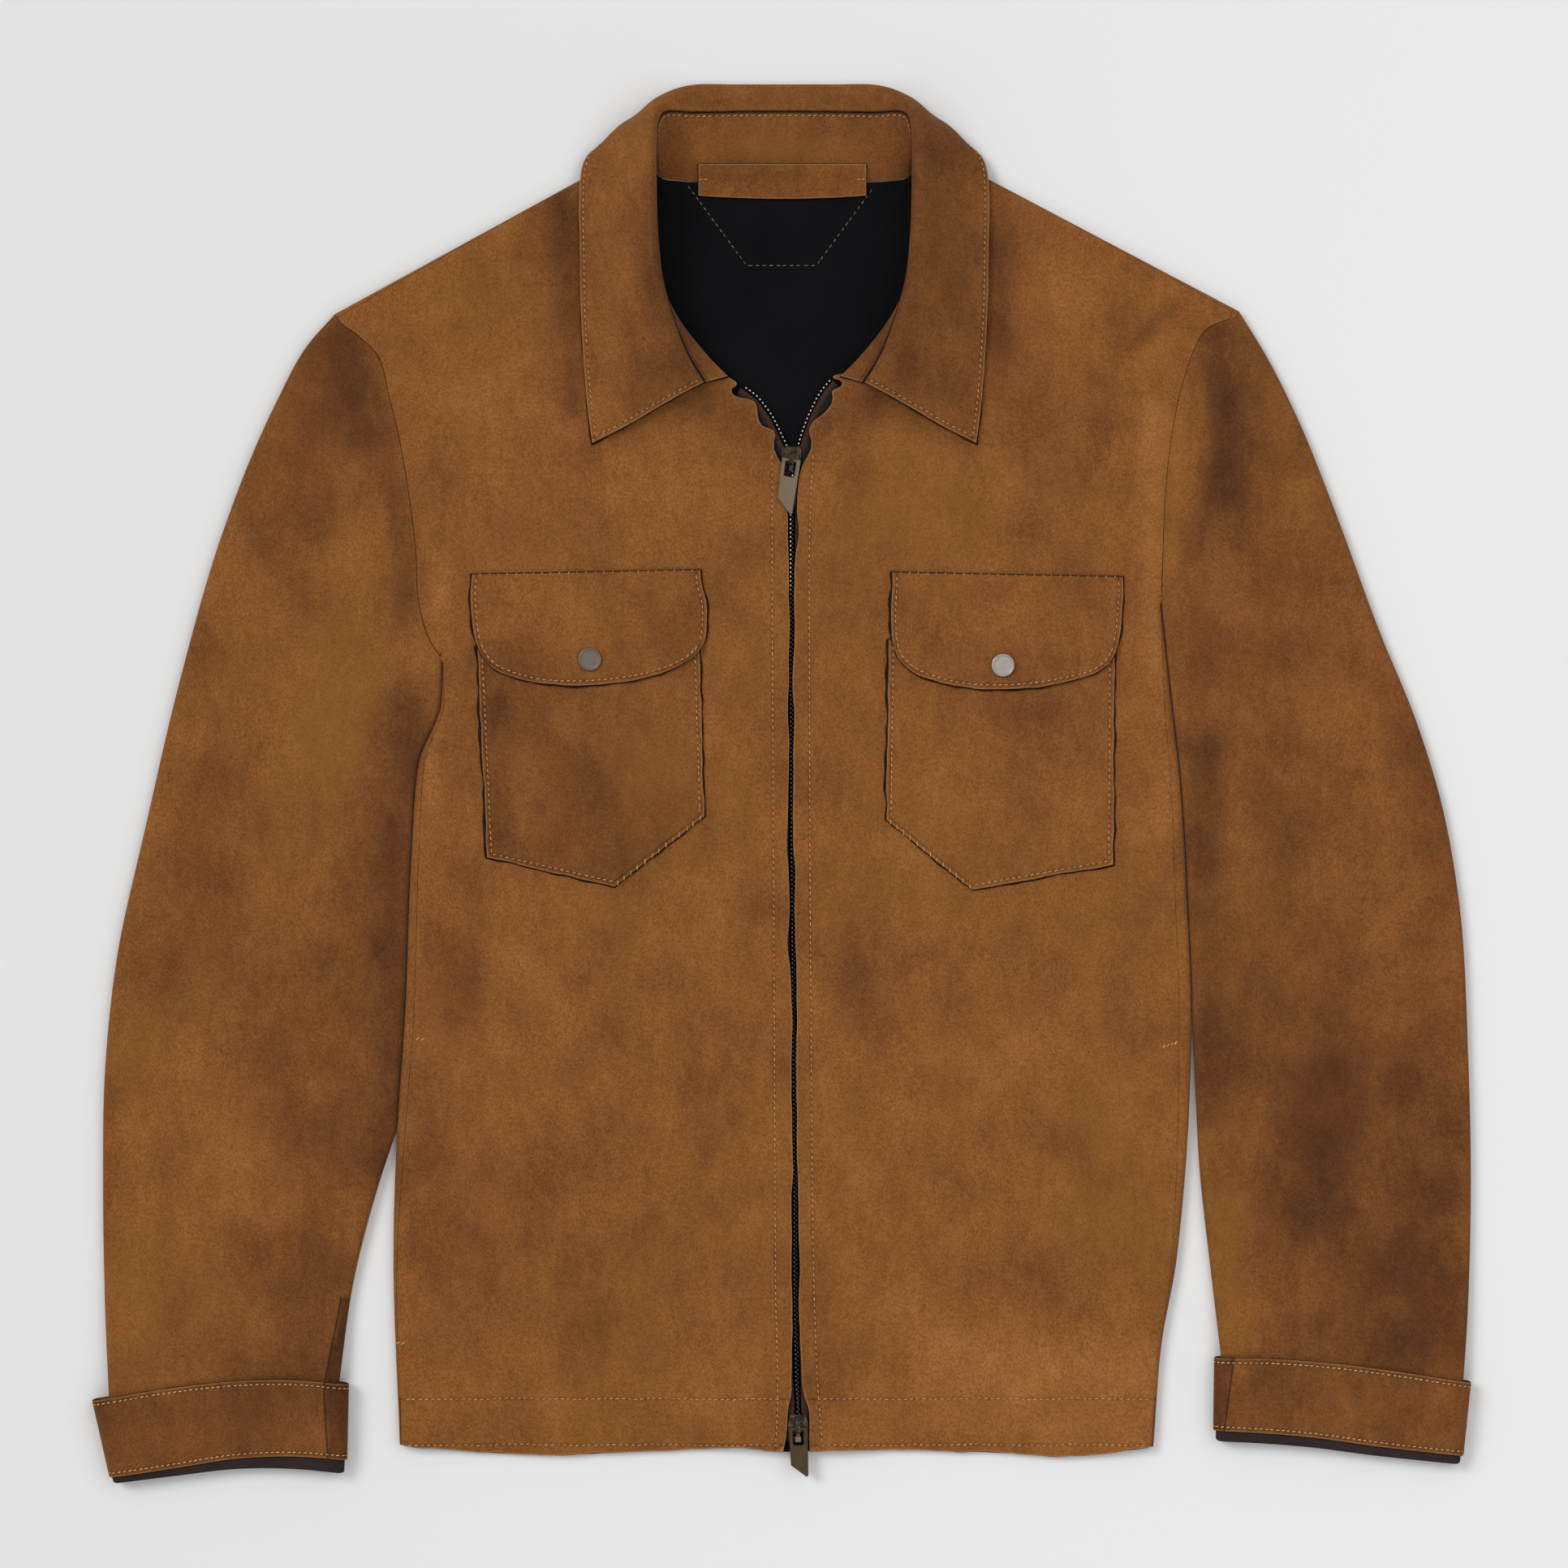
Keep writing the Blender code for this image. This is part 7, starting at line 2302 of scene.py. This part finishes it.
@dataclass(frozen=True)
class Suede:
    """Suede: cloudy brown, brushed streaks, a fine nap, pale raw edges that are worn and carry a painted
    highlight, and sunk seams with painted shade.
    """

    name: str = "suede_cloth"
    stops: tuple[tuple[float, Colour], ...] = (
        (0.0, (0.058, 0.0207, 0.0070)), (0.22, (0.109, 0.0385, 0.0115)), (0.42, (0.171, 0.0622, 0.0162)),
        (0.56, (0.219, 0.0808, 0.0196)), (0.80, (0.283, 0.1102, 0.0288)), (1.0, (0.340, 0.1425, 0.0405)),
    )
    ochre: Colour = (0.228, 0.098, 0.0175)
    red: Colour = (0.184, 0.0575, 0.0185)
    shaded: Colour = (0.79, 0.71, 0.56)     # what the darkest grain leaves of the colour
    lit: Colour = (1.21, 1.29, 1.44)        # and the lightest
    # the pale raw edge: wear, and a painted highlight where the raised edge catches the light
    pale_edge: Colour = (0.42, 0.21, 0.082)
    joint: Colour = (0.014, 0.008, 0.006)
    middle: float = 0.56        # of the colour ramp, where the tone is 0
    reach: float = 0.33         # along the ramp for one step of tone
    clouds: float = 0.50        # along the ramp, and so for the next four
    patches: float = 0.52
    brushed: float = 0.1
    mottle: float = 0.08
    sunk_line: float = 0.18     # how much darker the cloth is along a row of stitches: painted shade in its groove
    line_reach: float = 1.1     # millimetres to both sides of it
    ochre_share: float = 0.42
    red_share: float = 0.28
    pale_reach: Pair = (0.9, 0.25)      # millimetres from a raw edge, from none to full, of its wear and painted highlight
    pale_share: float = 0.6
    joint_reach: Pair = (1.1, 0.4)      # the same from a joint
    seam_reach: Pair = (0.9, 0.3)       # and from a seam
    seam_share: float = 0.65

    def build(self) -> bpy.types.Material:
        """Make the material: a ramp read by clouds, patches, streaks, nap and the piece's tone, which also
        carries painted shade and painted highlights.
        """
        finish = Finish(self.name)
        clouds = finish.noise(58.0, detail=3.0)
        patches = finish.noise(19.0, detail=4.0, rough=0.6, warp=0.1, scale=(1, 0.7, 1), turn=12,
                               shift=(0.3, 0.1, 0))
        brushed = finish.noise(5.5, detail=4.0, rough=0.6, scale=(1, 0.3, 1), turn=4)
        mottle = finish.noise(3.4, detail=3.0, rough=0.62, warp=0.2)
        nap = finish.noise(1.25, detail=3.0, rough=0.75)
        hairs = finish.noise(0.6, rough=0.6, scale=(1, 0.5, 1), turn=8)
        # tone carries the suede's own tone with the painted shade and painted highlights of the stroke tables
        tone, warm = finish.attribute("tone"), finish.attribute("warm")
        rim, lines = finish.attribute("rim"), finish.split("lines")
        line = lines[0].size().least(lines[1].size()).least(lines[2].size())
        groove = (line * -1.0 / self.line_reach + 1.0).clamped()
        # the ramp's place: noises, the tone with its painted shade and highlights, less painted shade in the
        # stitches' grooves
        shade = (
            (clouds - 0.5) * self.clouds + (patches - 0.5) * self.patches
            + (brushed - 0.5) * self.brushed + (mottle - 0.5) * self.mottle
            + tone * self.reach + self.middle - groove * self.sunk_line
        ).clamped()
        grain = (
            (nap - 0.5) * 2.4 + (hairs - 0.5) * 3.2 + (mottle - 0.5) * 0.8 + (brushed - 0.5) * 0.5 + 0.5
        ).clamped()
        colour = finish.node("ShaderNodeValToRGB", {"stops": self.stops}, Fac=shade).outputs[0]
        shades = (finish.mix(1.0, colour, much, "MULTIPLY") for much in (self.shaded, self.lit))
        colour = finish.mix(grain, *shades)
        hue = finish.noise(80.0, detail=3.0, rough=0.55, warp=0.3, scale=(1, 0.8, 1), shift=(1.7, 0.4, 0.2))
        hue = (hue - 0.5) * 2.4 + warm * 0.9
        colour = finish.mix(hue.clamped() * self.ochre_share, colour, self.ochre)
        colour = finish.mix((hue * -1.0).clamped() * self.red_share, colour, self.red)
        # pale raw edges: wear and a painted highlight, broken up by a noise that also breaks up the joints
        edge_noise = finish.noise(2.0, detail=3.0, rough=0.6)
        edge = rim.step(*self.pale_reach) * (edge_noise * 1.3).clamped()
        colour = finish.mix(edge * self.pale_share, colour, self.pale_edge)
        joint = finish.attribute("joint").step(*self.joint_reach) * (edge_noise * 0.6 + 0.6).clamped()
        joint = joint.most(finish.attribute("seam").size().step(*self.seam_reach) * self.seam_share)
        colour = finish.mix(joint, colour, self.joint)
        sunk = groove ** 2.0
        relief = nap * 0.45 + hairs * 0.15 + mottle * 0.3 + brushed * 0.25
        normal = finish.bump(sunk * -1.0 + 1.0, 0.55, 0.7)
        finish.fix(Base_Color=colour, Roughness=0.9 + nap * 0.1, Normal=finish.bump(relief, 0.3, 0.6, normal))
        finish.fix(Specular_IOR_Level=0.12, Sheen_Weight=0.12, Sheen_Roughness=0.5,
                   Sheen_Tint=(0.85, 0.56, 0.34, 1.0))
        return finish.material


@dataclass(frozen=True)
class InnerCloth:
    """The near-black cloth bonded to the suede, with a fine knit."""

    name: str = "inner_cloth"
    dark: Colour = (0.0018, 0.0020, 0.0025)
    light: Colour = (0.0078, 0.0080, 0.0092)
    fuzz: Colour = (0.026, 0.020, 0.030)

    def build(self) -> bpy.types.Material:
        """Make the material: knit loops, broad unevenness and a paler fuzz at raw edges."""
        finish = Finish(self.name)
        knit = finish.noise(0.55, scale=(1, 0.6, 1))
        broad = finish.noise(34.0, detail=3.0)
        colour = finish.mix((knit * 0.6 + broad * 0.5 - 0.05).clamped(), self.dark, self.light)
        fibres = finish.noise(0.5, detail=3.0, rough=0.65).step(0.35, 0.75)
        rim = finish.attribute("rim").step(7.0, 0.5)
        colour = finish.mix(rim * (fibres * 0.6 + 0.25), colour, self.fuzz)
        finish.fix(Base_Color=colour, Roughness=0.92 + knit * 0.06, Normal=finish.bump(knit, 0.18, 0.6))
        finish.fix(Specular_IOR_Level=0.06, Sheen_Weight=0.02, Sheen_Roughness=0.5)
        return finish.material


@dataclass(frozen=True)
class CutEdgeInShade:
    """The raw cut through suede and inner cloth: brown and black fibres, darkened as painted shade along the
    edge.
    """

    name: str = "cut_edge_in_shade"
    dark: Colour = (0.0035, 0.003, 0.003)
    light: Colour = (0.030, 0.014, 0.008)

    def build(self) -> bpy.types.Material:
        """Make the material: fibres of both layers, mixed by a fine noise."""
        finish = Finish(self.name)
        fibres = finish.noise(0.45, detail=3.0, rough=0.6)
        broad = finish.noise(6.0)
        share = (fibres * 0.7 + broad * 0.3).step(0.38, 0.62)
        finish.fix(Base_Color=finish.mix(share, self.dark, self.light), Roughness=0.9 + fibres * 0.1,
                   Specular_IOR_Level=0.1, Normal=finish.bump(fibres, 0.2, 0.6))
        return finish.material


@dataclass(frozen=True)
class Metal:
    """Aged metal: light and smooth where it is rubbed, dark and dull where it isn't; on the zip's teeth the
    light tops are a painted highlight instead.
    """

    name: str
    dark: Colour
    light: Colour
    rough: float
    cover: float = 0.5          # how much of it is dark
    grain: float = 8.0          # the brushed grain's way, in degrees from Y
    top: float | None = None    # the height in millimetres above which it is light: a painted highlight on the teeth's tops
    gloss: float = 0.5
    least_metal: float = 0.7    # where it is dark
    bright: Pair | None = None  # the Y in millimetres between which it turns bright: a painted sheen along a short stretch
    dimmest: float = 0.25       # how bright it is before that

    def build(self) -> bpy.types.Material:
        """Make the material: patina clouds and brushed grain pick between the two colours."""
        finish = Finish(self.name)
        patina = finish.noise(2.6, detail=4.0, rough=0.6, warp=0.3)
        grain = finish.noise(0.3, scale=(1, 0.05, 1), turn=self.grain)
        pits = finish.noise(0.6)
        share = (patina * 0.7 + grain * 0.3 - self.cover + 0.5).step(0.34, 0.68)
        # the teeth: a painted highlight on their tops above a height, dimmed outside a band of Y as a painted
        # sheen
        if self.top is not None:
            height = finish.split_place()[2] * (1 / MM) - self.top
            share = (height.step(-0.08, 0.05) * (patina * 0.5 + 0.75)).clamped()
        if self.bright is not None:
            reach = (finish.split_place()[1] * (1 / MM)).step(*self.bright)
            share = share * (reach * (1 - self.dimmest) + self.dimmest)
        finish.fix(
            Base_Color=finish.mix(share, self.dark, self.light),
            Metallic=share * (1 - self.least_metal) + self.least_metal,
            Roughness=(1.0 - share) * 0.22 + grain * 0.08 + self.rough,
            Normal=finish.bump(grain * 0.6 + pits * 0.4, 0.04, 0.5), Specular_IOR_Level=self.gloss,
        )
        return finish.material


@dataclass(frozen=True)
class WovenTape:
    """The zip's woven tape: near black, with reddish brown threads beside the teeth."""

    name: str = "zip_tape_weave"
    dark: Colour = (0.0035, 0.0034, 0.0038)
    light: Colour = (0.013, 0.012, 0.0125)
    cord: Colour = (0.062, 0.022, 0.012)

    def build(self) -> bpy.types.Material:
        """Make the material: ribs across the tape, and its brown cord by distance from the teeth."""
        finish = Finish(self.name)
        rib = finish.noise(0.6, scale=(0.35, 1, 1))
        fleck = finish.noise(0.8, detail=3.0, rough=0.6)
        cord = finish.attribute("rim").step(3.6, 1.6) * fleck.step(0.3, 0.6)
        colour = finish.mix(cord, finish.mix(rib, self.dark, self.light), self.cord)
        finish.fix(Base_Color=colour, Roughness=0.8 + rib * 0.15, Specular_IOR_Level=0.2,
                   Normal=finish.bump(rib, 0.15, 0.6))
        return finish.material


@dataclass(frozen=True)
class Thread:
    """Waxed sewing thread: two twisted strands, paler where they catch the light."""

    name: str
    dark: Colour
    light: Colour

    def build(self) -> bpy.types.Material:
        """Make the material: a fine twist, and stitches that differ a little from each other."""
        finish = Finish(self.name)
        twist = finish.noise(0.25, scale=(1, 0.5, 1), turn=35)
        change = finish.noise(4.5, rough=0.6)
        share = (twist * 0.45 + change * 0.75 - 0.1).step(0.25, 0.75)
        finish.fix(Base_Color=finish.mix(share, self.dark, self.light), Roughness=0.6 + twist * 0.2,
                   Specular_IOR_Level=0.3, Normal=finish.bump(twist, 0.1, 0.6))
        return finish.material


AGED_BRASS = Metal("aged_brass", (0.018, 0.013, 0.008), (0.20, 0.15, 0.085), 0.26, 0.56)
BRUSHED_BRASS = Metal("brushed_brass", (0.17, 0.128, 0.080), (0.27, 0.205, 0.135), 0.28, 0.48)
OLIVE_BRASS = Metal("olive_brass", (0.060, 0.040, 0.021), (0.115, 0.080, 0.042), 0.30, 0.50)
DULL_PEWTER = Metal("dull_pewter", (0.165, 0.138, 0.112), (0.205, 0.173, 0.142), 0.38, 0.5, 60.0)
PALE_PEWTER = Metal("pale_pewter", (0.37, 0.325, 0.300), (0.46, 0.41, 0.375), 0.38, 0.5, 60.0)
# The zip's teeth: dark, with a painted highlight on their tops that is brightest over a short stretch of each
# row
TOOTH_BRASS_WITH_GLINT = Metal("tooth_glint_left", (0.005, 0.0035, 0.003), (0.97, 0.94, 0.86), 0.20, top=5.0,
                    gloss=0.1, least_metal=0.0, bright=(100.0, 116.0), dimmest=0.12)
TEETH_METALS = {
    Side.LEFT: TOOTH_BRASS_WITH_GLINT,
    Side.RIGHT: replace(TOOTH_BRASS_WITH_GLINT, name="tooth_glint_right", dark=(0.012, 0.0065, 0.005),
                        bright=(174.0, 184.0), dimmest=0.03),
}
RUSSET_THREAD = Thread("russet_thread", (0.33, 0.150, 0.054), (0.68, 0.38, 0.160))
THREADS = {
    "body": RUSSET_THREAD,
    "neck": Thread("faded_thread", (0.12, 0.088, 0.058), (0.34, 0.27, 0.19)),
    "collar": Thread("tan_thread", (0.31, 0.150, 0.055), (0.62, 0.35, 0.145)),
    "pockets": RUSSET_THREAD,
    "cuffs": Thread("cream_thread", (0.42, 0.25, 0.085), (0.76, 0.53, 0.24)),
}
CUFF_LINING = InnerCloth("cuff_lining_cloth", (0.0075, 0.006, 0.0065), (0.050, 0.036, 0.034))


@dataclass(frozen=True)
class Paper:
    """The plain pale floor."""

    name: str = "paper"
    dark: Colour = (0.795, 0.795, 0.795)
    light: Colour = (0.805, 0.805, 0.805)

    def build(self) -> bpy.types.Material:
        """Make the material: almost even, with a faint grain."""
        finish = Finish(self.name)
        finish.fix(Base_Color=finish.mix(finish.noise(3.0), self.dark, self.light), Roughness=0.9,
                   Specular_IOR_Level=0.1)
        return finish.material


# Studio


@dataclass
class Studio:
    """A pale floor, soft lights and a camera straight above."""

    frame_width: float = 0.8597     # of the photograph at the floor, in metres
    camera_height: float = 3.0
    film_width: float = 36.0
    middle: Pair = (0.0009, -0.0004)
    sky: float = 0.50
    sun: float = 1.32               # power of the even light from the upper left
    sun_angle: float = 26.0         # how wide it is, in degrees
    sun_tilt: float = 46.0          # from straight above, in degrees
    sun_turn: float = 148.0         # the way it comes from, in degrees from X
    # name, place in metres, width and power
    lights: tuple[tuple[str, Triple, float, float], ...] = (
        ("fill", (1.4, 0.6, 2.2), 2.0, 14.0), ("low", (0.4, -1.7, 1.9), 2.0, 8.0),
    )

    def build(self) -> None:
        """Make the floor, the lights and the camera."""
        bpy.ops.mesh.primitive_plane_add(size=30.0)
        floor = bpy.context.object
        floor.name = "floor"
        floor.data.materials.append(Paper().build())
        camera = bpy.data.objects.new("camera", bpy.data.cameras.new("camera"))
        camera.data.sensor_fit = "HORIZONTAL"
        camera.data.sensor_width = self.film_width
        camera.data.lens = self.film_width * self.camera_height / self.frame_width
        camera.location = (*self.middle, self.camera_height)
        bpy.context.collection.objects.link(camera)
        bpy.context.scene.camera = camera
        for name, place, size, power in self.lights:
            self.light(name, place, size, power)
        data = bpy.data.lights.new("key", "SUN")
        data.energy, data.angle = self.sun, math.radians(self.sun_angle)
        lamp = bpy.data.objects.new("key", data)
        lamp.rotation_euler = (0.0, math.radians(self.sun_tilt), math.radians(self.sun_turn))
        bpy.context.collection.objects.link(lamp)
        world = bpy.data.worlds.new("soft")
        world.use_nodes = True
        sky = world.node_tree.nodes["Background"].inputs
        sky["Color"].default_value = (1.0, 1.0, 1.0, 1.0)
        sky["Strength"].default_value = self.sky
        bpy.context.scene.world = world
        bpy.context.scene.view_settings.view_transform = "Standard"

    @staticmethod
    def light(name: str, place: Triple, size: float, power: float) -> None:
        """Hang a square soft light that looks at the middle of the floor."""
        data = bpy.data.lights.new(name, "AREA")
        data.size, data.energy = size, power
        lamp = bpy.data.objects.new(name, data)
        lamp.location = place
        far = math.hypot(place[0], place[1])
        lamp.rotation_euler = (0.0, math.atan2(far, place[2]), math.atan2(place[1], place[0]))
        bpy.context.collection.objects.link(lamp)


def main() -> None:
    """Build the overshirt around its frame."""
    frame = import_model()
    Studio().build()
    cloth = [Suede().build(), InnerCloth().build(), CutEdgeInShade().build()]
    brass, brushed, olive, dull, bright = (
        metal.build() for metal in (AGED_BRASS, BRUSHED_BRASS, OLIVE_BRASS, DULL_PEWTER, PALE_PEWTER)
    )
    tape = WovenTape().build()
    lining = CUFF_LINING.build()
    sewn = {name: Stitching(f"stitches_{name}") for name in THREADS}
    collar = Collar()
    body = Body(collar)
    body.build(cloth, sewn["body"])
    body.sew_neck(sewn["neck"])
    for cut in (LEFT_SLEEVE, RIGHT_SLEEVE):
        Sleeve(cut, body).build(cloth, lining, sewn["cuffs"])
    for pocket, metal in ((LEFT_POCKET, dull), (RIGHT_POCKET, bright)):
        ChestPocket(pocket, body).build(cloth, metal, sewn["pockets"])
    collar.build(body, cloth, sewn["collar"])
    Label().build(collar, body, cloth, sewn["collar"])
    Zip().build([tape] * 3, {side: metal.build() for side, metal in TEETH_METALS.items()})
    spun = {thread: thread.build() for thread in dict.fromkeys(THREADS.values())}
    for name, stitches in sewn.items():
        stitches.build(spun[THREADS[name]])
    Tongue("bail_tongue_top", 4.9, 174.9, 170.6).build(brass, brass)
    Tongue("bail_tongue_bottom", 8.6, -354.7, -356.9, tip=1.7, tip_half_width=2.0).build(brass, brushed)
    for name, finish in (("zip_slider_top", brass), ("zip_slider_bottom", brass),
                         ("pull_tab_top", brushed), ("pull_tab_bottom", olive)):
        node = frame["nodes"][name]
        node.data.materials.clear()
        node.data.materials.append(finish)


if __name__ == "__main__":
    logging.basicConfig(level=logging.INFO, format="%(name)s: %(message)s")
    main()
